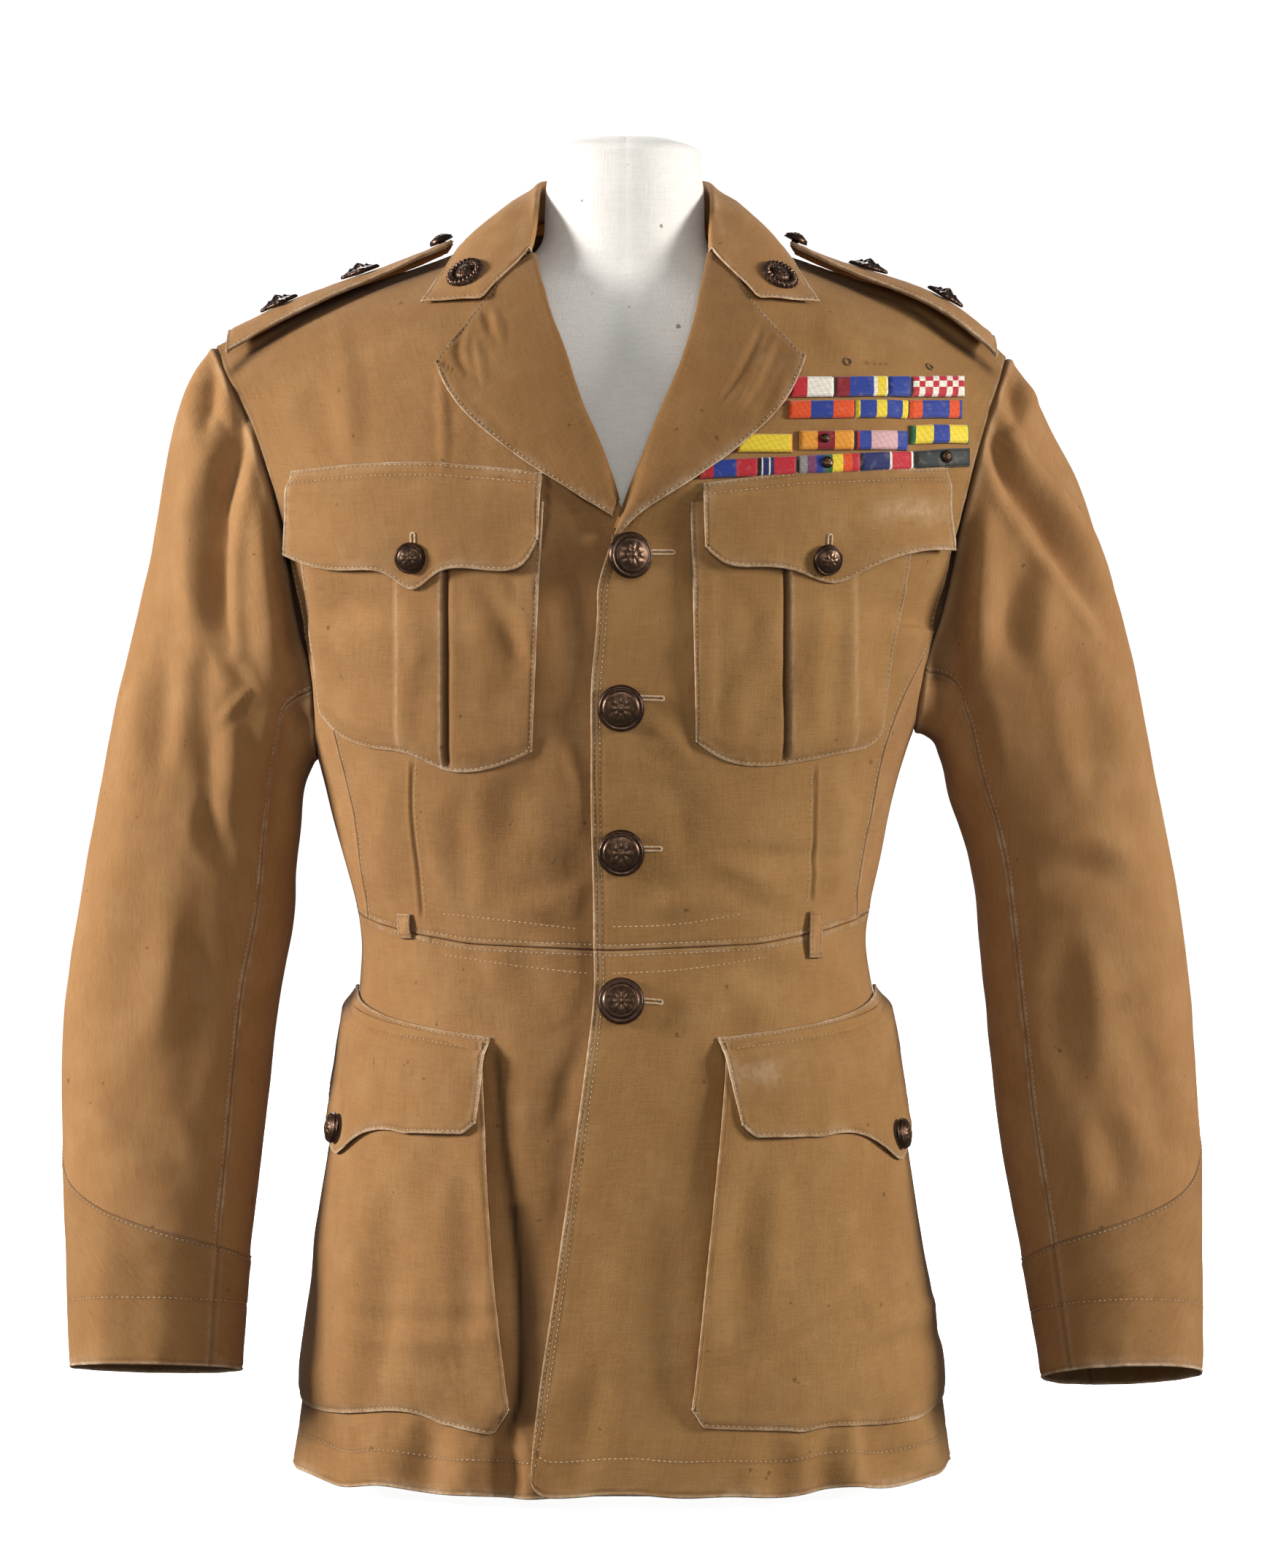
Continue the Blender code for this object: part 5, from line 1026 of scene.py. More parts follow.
class Cloth:
    """One piece of cloth on a grid of points: its outer face, with what is known about its edges."""

    def __init__(self, name, grid, outward, relief=None, thick=0.0012, loop=False):
        self.name, self.loop, self.thick = name, loop, thick
        normals = normals_of(grid, loop)
        total = (normals * outward(grid)).sum(-1)
        self.sign = 1.0 if total.mean() > 0 else -1.0
        normals = normals * self.sign
        height = 0 if relief is None else relief(grid, normals)
        self.base = grid
        self.grid = grid + normals * np.asarray(height + np.zeros(grid.shape[:2]))[..., None]
        self.normals = normals
        along, down = run_along(grid, 1), run_along(grid, 0)
        self.u, self.v = along, down
        self.from_edge = {"s0": along, "s1": along[:, -1:] - along, "t0": down, "t1": down[-1:] - down}
        self.wear = np.zeros(grid.shape[:2])
        # darkening painted into the colour where shade falls: painted shade in seam and stitch grooves, slits, gussets
        # and close gaps
        self.painted_shade = np.zeros(grid.shape[:2])

    def lift(self, height):
        self.grid = self.grid + self.normals * height[..., None]

    def finished(self, *edges, stitch=0.0022, second=None, soft=0.0, wear=1.0, groove=0.00045):
        """A turned edge: rolled over, pinched by its row of stitches and worn pale."""
        for edge in edges:
            d = self.from_edge[edge]
            ripple = lumps(self.base, 0.0065, 4.0)
            wide = lumps(self.base, 0.030, 8.0)
            height = -0.5 * self.thick * np.clip(1 - d / 0.0009, 0, 1) ** 2
            for row in (stitch, second):
                if row:
                    height = height - groove * np.exp(-(((d - row) / 0.00075) ** 2)) * (1 + 0.5 * ripple)
                    # painted shade along the stitch row's groove
                    self.painted_shade += 0.35 * np.exp(-(((d - row) / 0.0009) ** 2))
            if stitch:
                height = height + 0.00022 * np.exp(-(((d - 0.5 * stitch) / (0.45 * stitch)) ** 2)) * (1 + 0.7 * ripple)
                height = height + 0.00030 * np.exp(-(((d - stitch - 0.003) / 0.0028) ** 2)) * ripple
            height = height + soft * np.exp(-((d / 0.010) ** 2)) * wide
            self.lift(height)
            rub = np.clip(0.85 + 0.55 * lumps(self.base, 0.012, 2.0), 0, 1.3)
            self.wear += wear * rub * np.exp(-((d / 0.0012) ** 2))
            self.wear += 0.42 * wear * np.clip(0.55 + wide, 0, 1) * (0.6 + 0.6 * rub) * np.exp(-((d / 0.0040) ** 2))

    def seamed(self, *edges, deep=0.0010, wide=0.0013, stitch=None, rub=0.35, shade=0.7):
        """An edge sewn to its neighbour: it turns down into the seam."""
        for edge in edges:
            d = self.from_edge[edge]
            ripple = lumps(self.base, 0.008, 6.0)
            height = -deep * np.clip(1 - d / wide, 0, 1) ** 2
            height = height + 0.00030 * np.exp(-(((d - wide * 1.6) / (wide * 1.3)) ** 2)) * (0.6 + 0.8 * ripple)
            if stitch:
                height = height - 0.00035 * np.exp(-(((d - stitch) / 0.0008) ** 2)) * (1 + 0.5 * ripple)
                # painted shade along the stitch row's groove
                self.painted_shade += 0.28 * np.exp(-(((d - stitch) / 0.0009) ** 2))
            self.lift(height)
            self.painted_shade += shade * np.exp(-((d / 0.0009) ** 2))
            self.wear += rub * np.clip(0.6 + 0.8 * ripple, 0, 1.4) * np.exp(-(((d - wide * 1.3) / 0.0011) ** 2))

    def line(self, edge, away, start=0.0, end=0.0):
        """Points and normals along a line that runs at a distance from one edge."""
        d = self.from_edge[edge]
        across = 1 if edge[0] == "s" else 0
        grid, normals = self.grid, normals_of(self.grid, self.loop) * self.sign
        if across == 0:
            d, grid, normals = d.T, grid.swapaxes(0, 1), normals.swapaxes(0, 1)
        if edge[1] == "1":
            d, grid, normals = d[:, ::-1], grid[:, ::-1], normals[:, ::-1]
        pts, ups = [], []
        for k in range(len(d)):
            i = int(np.clip(np.searchsorted(d[k], away) - 1, 0, d.shape[1] - 2))
            f = (away - d[k, i]) / max(d[k, i + 1] - d[k, i], 1e-9)
            pts.append(grid[k, i] * (1 - f) + grid[k, i + 1] * f)
            ups.append(normals[k, i] * (1 - f) + normals[k, i + 1] * f)
        pts, ups = np.array(pts), np.array(ups)
        if self.loop and across == 0:
            pts, ups = np.concatenate([pts, pts[:1]]), np.concatenate([ups, ups[:1]])
        run = np.concatenate([[0], np.cumsum(np.linalg.norm(np.diff(pts, axis=0), axis=1))])
        keep = (run >= start) & (run <= run[-1] - end)
        return pts[keep], ups[keep]

    def stitched(self, edge, away, start=0.002, end=0.002, pitch=0.0030):
        STITCHES.append((*self.line(edge, away, start, end), pitch))

    def build(self, finish="drill", slot="drill", bands=None):
        """Makes the mesh. bands says how wide the turned-in cloth is along each free edge; None closes the whole inside."""
        outer = self.grid
        normals = normals_of(outer, self.loop) * self.sign
        inner = outer - normals * self.thick
        rows, cols = outer.shape[:2]
        if bands is None:
            mask = np.ones((rows, cols), bool)
        else:
            mask = np.zeros((rows, cols), bool)
            for edge, depth in bands.items():
                mask |= self.from_edge[edge] <= depth
            mask[0] = mask[-1] = True
            if not self.loop:
                mask[:, 0] = mask[:, -1] = True
        count = rows * cols
        index = np.full(count, -1)
        index[mask.ravel()] = np.arange(mask.sum()) + count
        points = np.concatenate([outer.reshape(-1, 3), inner.reshape(-1, 3)[mask.ravel()]])
        wrap = cols if self.loop else cols - 1
        r, c = np.meshgrid(np.arange(rows - 1), np.arange(wrap), indexing="ij")
        a, b = r * cols + c, r * cols + (c + 1) % cols
        quad = np.stack([a, b, b + cols, a + cols], axis=-1).reshape(-1, 4)
        if self.sign < 0:
            quad = quad[:, ::-1]
        under = index[quad[:, ::-1]]
        faces = [quad, under[(under >= 0).all(axis=1)]]
        rims = [np.append(np.arange(cols), 0) if self.loop else np.arange(cols)]
        rims.append((rims[0] + (rows - 1) * cols)[::-1])
        if not self.loop:
            rims.append((np.arange(rows) * cols)[::-1])
            rims.append(np.arange(rows) * cols + cols - 1)
        for rim in rims:
            edge = np.stack([rim[1:], rim[:-1], index[rim[:-1]], index[rim[1:]]], axis=-1)
            faces.append(edge if self.sign > 0 else edge[:, ::-1])
        faces = np.concatenate(faces)
        mesh = bpy.data.meshes.new(self.name)
        mesh.vertices.add(len(points))
        mesh.vertices.foreach_set("co", points.ravel())
        mesh.loops.add(faces.size)
        mesh.loops.foreach_set("vertex_index", faces.ravel().astype(np.int32))
        mesh.polygons.add(len(faces))
        mesh.polygons.foreach_set("loop_start", np.arange(len(faces), dtype=np.int32) * 4)
        mesh.update(calc_edges=True)
        mesh.shade_smooth()
        twice = lambda values: np.concatenate([values.ravel(), values.ravel()[mask.ravel()]])
        for name, values in (("wear", self.wear), ("painted_shade", self.painted_shade)):
            layer = mesh.attributes.new(name, "FLOAT", "POINT")
            layer.data.foreach_set("value", np.clip(twice(values), 0, 1.5))
        corner = faces.ravel()
        layer = mesh.uv_layers.new(name="cloth")
        layer.data.foreach_set("uv", np.stack([twice(self.u)[corner], twice(self.v)[corner]], axis=-1).ravel())
        obj = linked("cloth_" + self.name, mesh, finish, self.name, slot=slot)
        step = self.base if not self.loop else np.concatenate([self.base, self.base[:, :1]], axis=1)
        width = float(run_along(step, 1)[:, -1].max())
        length = float(run_along(step, 0)[-1].max())
        area = float(0.5 * np.linalg.norm(np.cross(step[1:, 1:] - step[:-1, :-1], step[1:, :-1] - step[:-1, 1:]), axis=-1).sum())
        SHEETS.append((self.name, width, length, area))
        COUNTS[self.name] = (len(faces) * 2, obj)
        FINAL[self.name] = outer
        return obj


def linked(name, mesh, finish, *nodes, slot=None):
    obj = bpy.data.objects.new(name, mesh)
    bpy.context.scene.collection.objects.link(obj)
    obj.data.materials.append(MATERIALS[finish])
    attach(obj, "root")
    if nodes:
        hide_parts(*nodes)
    return obj


# ---------------------------------------------------------------- the front as it is seen
class FrontMap:
    """The front of the body on an even grid of seen places, smoothed, with its normals."""

    def __init__(self, side):
        look = Seen(side)
        self.sign = -1 if side == "R" else 1
        self.x0, self.x1, self.z0, self.z1 = -0.034, 0.250, 0.300, 0.730
        xs, zs = np.linspace(self.x0, self.x1, 121), np.linspace(self.z0, self.z1, 181)
        grid = np.array([[look.one(self.sign * x, z) for x in xs] for z in zs])
        for _ in range(3):
            for axis in (0, 1):
                wide = np.concatenate([2 * np.take(grid, [0], axis) - np.take(grid, [1], axis), grid, 2 * np.take(grid, [-1], axis) - np.take(grid, [-2], axis)], axis=axis)
                n = grid.shape[axis]
                grid = 0.25 * np.take(wide, range(n), axis) + 0.5 * np.take(wide, range(1, n + 1), axis) + 0.25 * np.take(wide, range(2, n + 2), axis)
        tall = spline(zs, grid, np.linspace(self.z0, self.z1, 541))
        self.grid = np.moveaxis(spline(xs, np.moveaxis(tall, 1, 0), np.linspace(self.x0, self.x1, 361)), 0, 1)
        normals = normals_of(self.grid)
        self.normals = normals * np.sign((normals * np.array([0, -1.0, 0])).sum(-1).mean())

    def __call__(self, x, z):
        a = np.clip((np.asarray(z) - self.z0) / (self.z1 - self.z0) * 540, 0, 539.999)
        b = np.clip((self.sign * np.asarray(x) - self.x0) / (self.x1 - self.x0) * 360, 0, 359.999)
        i, j = a.astype(int), b.astype(int)
        fa, fb = (a - i)[..., None], (b - j)[..., None]
        out = []
        for g in (self.grid, self.normals):
            out.append((g[i, j] * (1 - fb) + g[i, j + 1] * fb) * (1 - fa) + (g[i + 1, j] * (1 - fb) + g[i + 1, j + 1] * fb) * fa)
        return out[0], out[1] / np.linalg.norm(out[1], axis=-1, keepdims=True)

    def lifted(self, x, z, out):
        points, normals = self(x, z)
        return points + normals * (body_relief(points, normals) + out)[..., None]


FRONT_MAP = {side: FrontMap(side) for side in "RL"}


def on_body(w, z, out):
    points = body(w, z)
    e = 1e-3
    n = np.cross(body_point(w + e, z) - body_point(w - e, z), body_point(w, z + e) - body_point(w, z - e))
    n = n / np.linalg.norm(n, axis=-1, keepdims=True)
    return points + n * (body_relief(points, n) + out)[..., None]


def from_middle(grid):
    away = grid - np.array([0, 0.005, 0])
    away[..., 2] = 0
    return away


def to_front(grid):
    return np.broadcast_to(np.array([0.0, -1.0, 0.0]), grid.shape)


def upward(grid):
    return np.broadcast_to(np.array([0.0, 0.0, 1.0]), grid.shape)


def share_of_x(patch, t, x, span=(0.0, 1.0)):
    """The share along a row at which it is seen at x."""
    s = np.linspace(*span, 200)
    seen_x, _ = seen_of(patch(s, t))
    order = np.argsort(seen_x)
    return float(np.interp(x, seen_x[order], s[order]))


def line_height(x, z, table):
    """Narrow sewn lines: width and height in millimetres, then places on the picture."""
    height, shade = np.zeros(np.shape(x)), np.zeros(np.shape(x))
    for width, tall, *places in table:
        line = np.array([spot(*place) for place in places])
        line = line_through(line, 14) if len(line) > 2 else line
        d, share = along_line(line, x, z)
        d = np.abs(d)
        end = smooth_step(share, 0.0, 0.05) * smooth_step(share, 1.0, 0.93)
        w = 0.001 * width
        height += 0.001 * tall * end * (np.exp(-((d / w) ** 2)) - 0.35 * np.exp(-(((d - 2.2 * w) / w) ** 2)))
        shade += end * np.exp(-((d / (0.8 * w)) ** 2)) * (0.8 if tall < 0 else -0.2)
    return height, shade


# Darts and small marks: width mm, height mm, places on the picture
FRONT_LINES = {
    "R": (
        (0.9, -0.9, (565, 1040), (563, 1105), (572, 1193), (578, 1262)),
        (0.6, 0.5, (620, 601), (636, 598), (650, 599)),
    ),
    "L": (
        (0.9, -0.9, (1117, 1045), (1116, 1150), (1112, 1240)),
        (0.6, -0.5, (1176, 497), (1200, 500), (1218, 499)),
    ),
}


def build_body():
    for side in "RL":
        sign = -1 if side == "R" else 1
        over = side == "L"
        # upper front
        patch = PATCHES["front", side]
        dart = share_of_x(patch, 0.10, sign * (0.1176 if side == "R" else 0.1122))
        s = stops(0.205, 0.0021, at=(dart,))
        t = stops(0.375, 0.0021)
        grid = patch(s[None], t[:, None])
        grid = tuck_below(grid, grid_normals(grid), side)
        piece = Cloth("front_" + side, grid, from_middle, body_relief)
        x, z = seen_of(piece.base)
        height, shade = line_height(x, z, FRONT_LINES[side])
        piece.lift(height)
        # painted shade in the darts' grooves, and painted shadow under the straps' edges and beside the chest pockets
        # and flaps
        piece.painted_shade += np.clip(shade, 0, 1) + close_shade(x, z)
        if over:
            piece.finished("s0", stitch=0.0021, second=0.0052, wear=0.75, soft=0.0004)
        piece.seamed("s1", stitch=0.0026)
        piece.seamed("t0", deep=0.0008, wide=0.0014, stitch=0.0030, rub=0.40, shade=0.25)
        piece.seamed("t1", deep=0.0010)
        waist_pucker(piece, "t0")
        piece.build(bands={"s0": 0.014} if over else {}, finish="drill_" + side)
        if over:
            piece.stitched("s0", 0.0021, start=0.002, end=0.172)
            piece.stitched("s0", 0.0052, start=0.002, end=0.172)
        piece.stitched("t0", 0.0030)
        piece.stitched("s1", 0.0026, end=0.16)
        # upper back
        patch = PATCHES["back", side]
        grid = patch(stops(0.21, 0.0030)[None], stops(0.40, 0.0030)[:, None])
        piece = Cloth("back_" + side, grid, from_middle, body_relief)
        piece.seamed("s0", stitch=0.0026)
        piece.seamed("s1", "t1", stitch=0.0026)
        piece.seamed("t0", deep=0.0008, wide=0.0014, stitch=0.0030, rub=0.40, shade=0.25)
        waist_pucker(piece, "t0")
        piece.build(bands={})
        piece.stitched("s0", 0.0026)
        piece.stitched("t0", 0.0030)
        # side body
        s, t = stops(0.11, 0.0022)[None], stops(0.13, 0.0022)[:, None]
        grid = side_point(side, s, t)
        front = PATCHES["front", side](np.ones_like(t[:, 0]), t[:, 0] * FRONT_SCYE_T) - grid[:, 0]
        back = PATCHES["back", side](np.ones_like(t[:, 0]), t[:, 0] * BACK_SCYE_T) - grid[:, -1]
        near = np.clip(1 - s / 0.2, 0, 1)[..., None], np.clip(1 - (1 - s) / 0.2, 0, 1)[..., None]
        grid = grid + front[:, None] * near[0] ** 2 + back[:, None] * near[1] ** 2
        piece = Cloth("side_" + side, grid, from_middle, body_relief)
        piece.seamed("s0", "s1", stitch=None)
        piece.seamed("t0", deep=0.0008, wide=0.0014, stitch=0.0030, rub=0.40, shade=0.25)
        piece.seamed("t1")
        waist_pucker(piece, "t0")
        piece.build(bands={})
        piece.stitched("t0", 0.0030)
        # skirt
        s, t = np.meshgrid(stops(0.30, 0.0023), stops(0.31, 0.0023))
        z = HEM_Z + (0.3255 - HEM_Z) * t
        w_in = np.array([share_at_x(edge_x(side, min(v, 0.305)), v) for v in z[:, 0]])[:, None]
        w = w_in + (sign * 0.62 - w_in) * s
        z = HEM_Z + (waist(w) - HEM_Z) * t
        z = z + hem_lift(side, w) * np.clip(1 - t / 0.4, 0, 1) ** 2
        a = np.abs(body_point(w, z)[..., 0] - body_point(w_in + 0 * w, z)[..., 0])
        corner = 0.011
        rounded = corner - np.sqrt(np.clip(corner**2 - (corner - np.clip(a, 0, corner)) ** 2, 0, None))
        z = z + rounded * np.clip(1 - (z - HEM_Z) / 0.05, 0, 1)
        grid = body(w, z)
        grid = tuck_below(grid, grid_normals(grid), side)
        piece = Cloth("skirt_front_" + side, grid, from_middle, body_relief)
        # painted shadow beside the skirt pockets
        piece.painted_shade += close_shade(*seen_of(piece.base))
        if over:
            piece.finished("s0", stitch=0.0021, second=0.0052, wear=0.75, soft=0.0004)
        piece.finished("t0", stitch=0.0022, second=0.0200, wear=1.15, soft=0.0007)
        piece.seamed("s1")
        piece.seamed("t1", deep=0.0008, wide=0.0014, stitch=0.0026, rub=0.40, shade=0.25)
        waist_pucker(piece, "t1")
        piece.build(bands={"s0": 0.014, "t0": 0.020} if over else {"t0": 0.020}, finish="drill_" + side)
        if over:
            piece.stitched("s0", 0.0021, start=0.008)
            piece.stitched("s0", 0.0052, start=0.010)
        piece.stitched("t0", 0.0200, start=0.006)
        piece.stitched("t1", 0.0026)
        s, t = np.meshgrid(stops(0.19, 0.0030), stops(0.31, 0.0030))
        w = 0.62 + 0.38 * s
        z = HEM_Z + (waist(w) - HEM_Z) * t
        grid = body(sign * w, z + hem_lift(side, w) * np.clip(1 - t / 0.4, 0, 1) ** 2)
        piece = Cloth("skirt_back_" + side, grid, from_middle, body_relief)
        piece.finished("t0", stitch=0.0022, second=0.0200, wear=1.0, soft=0.0007)
        piece.seamed("s0", "s1", stitch=0.0026)
        piece.seamed("t1", deep=0.0008, wide=0.0014, stitch=0.0026, rub=0.40, shade=0.25)
        waist_pucker(piece, "t1")
        piece.build(bands={"t0": 0.020})
        piece.stitched("t0", 0.0200)
        piece.stitched("s1", 0.0026)


def hem_lift(side, w):
    """The hem's uneven fall, as height above its level."""
    a = np.abs(w)
    return 0.0012 * np.sin(a * 31 + 0.6) + 0.0010 * np.sin(a * 53 + (0.2 if side == "R" else 1.7))


def waist_pucker(piece, edge):
    d = piece.from_edge[edge]
    squeeze = piece.base * np.array([1.0, 1.0, 0.25])
    piece.lift((0.00045 * noise(squeeze, 0.0075, 4.0) + 0.00045 * noise(squeeze, 0.016, 2.0)) * np.exp(-((d / 0.009) ** 2)))




# ---------------------------------------------------------------- sleeves
class SleeveMap:
    """The whole sleeve on an even grid: rows from the armhole to the mouth, columns round it."""

    ROWS, COLS = 521, 720

    def __init__(self, side):
        rows = SLEEVE_ROWS[side]
        first = rows[0]
        soft = first.copy()
        soft[:, 0] -= (-1 if side == "R" else 1) * 0.0028
        for _ in range(6):
            soft[:-1] = (np.roll(soft[:-1], 1, 0) + 2 * soft[:-1] + np.roll(soft[:-1], -1, 0)) / 4
            soft[-1] = soft[0]
        rows = np.concatenate([soft[None], rows[1:]])
        tall = spline(np.arange(len(rows)), rows, np.linspace(0, 13, self.ROWS))
        count = rows.shape[1] - 1
        wide = np.concatenate([tall[:, -6:-1], tall, tall[:, 1:6]], axis=1)
        at = np.arange(-5, count + 6)
        fine = np.linspace(0, count, self.COLS + 1)
        self.grid = np.moveaxis(spline(at, np.moveaxis(wide, 1, 0), fine), 0, 1)
        self.axis = rows[:, :-1].mean(axis=1)
        self.around = np.linalg.norm(np.diff(self.grid[::40], axis=1), axis=-1).sum(1).mean()

    def __call__(self, degrees, v):
        degrees, v = np.broadcast_arrays(np.asarray(degrees, float), np.asarray(v, float))
        a = np.clip(v / 13 * (self.ROWS - 1), 0, self.ROWS - 1.001)
        b = (degrees % 360) / 360 * self.COLS
        i, j = a.astype(int), np.clip(b.astype(int), 0, self.COLS - 1)
        fa, fb = (a - i)[..., None], (b - j)[..., None]
        g = self.grid
        return (g[i, j] * (1 - fb) + g[i, j + 1] * fb) * (1 - fa) + (g[i + 1, j] * (1 - fb) + g[i + 1, j + 1] * fb) * fa

    def outward(self, grid):
        axis = spline(np.arange(len(self.axis)), self.axis, np.linspace(0, 13, 60))
        flat = grid.reshape(-1, 3)
        best = np.array([axis[k] for k in np.argmin(np.linalg.norm(flat[:, None] - axis[None], axis=-1), axis=1)])
        return (flat - best).reshape(grid.shape)


def shares_round(first, last, total_length, step, at=()):
    marks = tuple((m - first) / (last - first) for m in at)
    return first + (last - first) * stops(total_length, step, at=marks)


def build_sleeves():
    for side in "RL":
        maps = SleeveMap(side)
        relief = lambda points, normals, side=side: sleeve_relief(side, points, normals)
        for name, first, last, long, step in (("top", SLEEVE_HIND_SEAM, SLEEVE_FRONT_SEAM, 0.235, 0.0021), ("under", SLEEVE_FRONT_SEAM, SLEEVE_HIND_SEAM + 360, 0.115, 0.0026)):
            degrees = shares_round(first, last, long, step, at=(CUFF_POINT,) if name == "top" else ())
            s, t = np.meshgrid(degrees, stops(0.46, step))
            grid = maps(s, t**0.9 * (cuff_row(s) + 0.03))
            sign = -1 if side == "R" else 1
            head = grid[0]
            centre = maps.grid[0].mean(axis=0)
            inwards = (centre - head) / np.linalg.norm(centre - head, axis=-1, keepdims=True)
            under = [head + np.array([-sign, 0, 0]) * a + inwards * b for a, b in ((0.0140, 0.0078), (0.0062, 0.0036), (0.0038, 0.0022))]
            grid = np.concatenate([np.array(under), grid])
            s = np.concatenate([s[:3], s])
            piece = Cloth(f"sleeve_{name}_{side}", grid, maps.outward, relief, thick=0.0011)
            # painted shade on the sleeve's inner side, next to the body
            piece.painted_shade += close_shade(*seen_of(piece.base), SLEEVE_SHADE_LINES)
            d = np.maximum(piece.from_edge["t0"] - piece.from_edge["t0"][3:4], 0)
            squeeze = np.stack([s * 0.0011, 0 * s, d * 0.12], axis=-1)
            gather = noise(squeeze, 0.0085, 5.0 if side == "R" else 9.0) + 0.6 * noise(squeeze, 0.017, 1.0)
            piece.lift(0.0011 * gather * np.exp(-((d / 0.020) ** 2)))
            piece.lift(0.0010 * np.exp(-(((d - 0.0032) / 0.0024) ** 2)) - 0.0012 * np.exp(-((d / 0.0012) ** 2)))
            # painted shade where the sleeve head turns in at the armhole seam
            piece.painted_shade += 0.9 * np.exp(-((d / 0.0012) ** 2))
            piece.wear += 0.25 * np.exp(-(((d - 0.0035) / 0.0016) ** 2))
            piece.seamed("s0", "s1", deep=0.0005, wide=0.0011, stitch=0.0024, rub=0.75, shade=0.30)
            piece.seamed("t1", deep=0.0016, wide=0.0018, rub=0.0)
            piece.build(bands={})
            if name == "top":
                piece.stitched("s1", 0.0024)
                piece.stitched("s0", 0.0024)
        # cuff, one loop with its point in the middle of the outside
        degrees = np.concatenate([shares_round(CUFF_POINT - 180, CUFF_POINT, 0.15, 0.0025), shares_round(CUFF_POINT, CUFF_POINT + 180, 0.15, 0.0025)[1:-1]])
        s, t = np.meshgrid(degrees, stops(0.075, 0.0019))
        start = cuff_row(s)
        grid = maps(s, start + (13 - start) * t)
        piece = Cloth(f"cuff_{side}", grid, maps.outward, relief, thick=0.0016, loop=True)
        scallop = 0.0009 * noise(np.stack([s * 0.0009, 0 * s, 0 * s], axis=-1), 0.012, 3.0)
        piece.lift(0.0006 + scallop * np.exp(-((piece.from_edge["t1"] / 0.012) ** 2)))
        for seam in (SLEEVE_FRONT_SEAM, SLEEVE_HIND_SEAM):
            d = np.abs((s - seam + 180) % 360 - 180) * 0.00078
            piece.lift(-0.0008 * np.exp(-((d / 0.0010) ** 2)) + 0.0003 * np.exp(-(((d - 0.0025) / 0.0013) ** 2)))
            # painted shade in the seam's groove
            piece.painted_shade += 0.6 * np.exp(-((d / 0.0008) ** 2))
            piece.wear += 0.3 * np.exp(-(((d - 0.0018) / 0.0010) ** 2))
        piece.finished("t0", stitch=0.0021, wear=0.25, soft=0.0003)
        # painted shade along the cuff's top edge, where it meets the sleeve
        piece.painted_shade += 0.8 * np.exp(-((piece.from_edge["t0"] / 0.0009) ** 2))
        piece.finished("t1", stitch=0.0022, second=0.0375, wear=1.25, soft=0.0006)
        # the cuff takes a darker copy of the drill: painted shade
        piece.build(bands=None, finish="drill_R")
        piece.stitched("t0", 0.0021, start=0, end=0)
        piece.stitched("t1", 0.0375, start=0, end=0)


# ---------------------------------------------------------------- lapels and collar
def build_lapels():
    for side in "RL":
        sign = -1 if side == "R" else 1
        rows, cols = 25, 13
        x, z, s = lapel_grid(side, rows, cols)
        flat = np.stack([x, z], axis=-1)
        t_at, s_at = np.linspace(0, 1, rows), np.linspace(0, 1, cols)
        t_to, s_to = stops(0.165, 0.0019), stops(0.085, 0.0019, low=False)
        tall = spline(t_at, flat, t_to)
        flat = np.moveaxis(spline(s_at, np.moveaxis(tall, 1, 0), s_to), 0, 1)
        x, z = flat[..., 0], flat[..., 1]
        s, t = np.meshgrid(s_to, t_to)
        out = 0.0022 + 0.0034 * np.sin(np.pi * np.clip(s, 0, 1)) ** 0.8 * (1 - t**3)
        out = out + (0.0006 + 0.0009 * (1 - s)) * np.clip((z - 0.672) / 0.012, 0, 1)
        if side == "L":
            out = out + 0.0034 * s * np.clip((0.645 - z) / 0.008, 0, 1)
        # the roll: the front's cloth turns over on the roll line
        turn = np.linspace(0.08, 1, 9)[:-1] * math.pi
        roll = np.minimum(0.0022, 0.5 * out[:, :1] + 0.0006)
        over = x[:, :1] - sign * roll * np.sin(turn)
        first = out[:, :1] * (1 - np.cos(turn)) / 2
        grid = FRONT_MAP[side].lifted(np.concatenate([over, x], axis=1), np.concatenate([np.repeat(z[:, :1], len(turn), axis=1), z], axis=1), np.concatenate([first - 0.0004, out], axis=1))
        piece = Cloth("lapel_" + side, grid, to_front, lambda p, n: 0.00035 * lumps(p, 0.022, 6.0), thick=0.0014)
        piece.finished("s1", stitch=0.0021, wear=1.0, soft=0.0005)
        piece.finished("t1", stitch=0.0021, wear=0.5, soft=0.0)
        x, z = seen_of(piece.base)
        piece.lift(1.3 * folds(LAPEL_FOLDS, x, z))
        if side == "R":
            height, shade = line_height(x, z, ((0.6, -0.8, (598, 493), (608, 500), (622, 509)),))
            piece.lift(height)
            piece.painted_shade += np.clip(shade, 0, 1)
        # the lapels take the darkest copy of the drill: painted shade
        piece.build(bands=None, finish="drill_shaded")
        piece.stitched("s1", 0.0021, start=0.004, end=0.003)
        piece.stitched("t1", 0.0021, start=0.030, end=0.003)


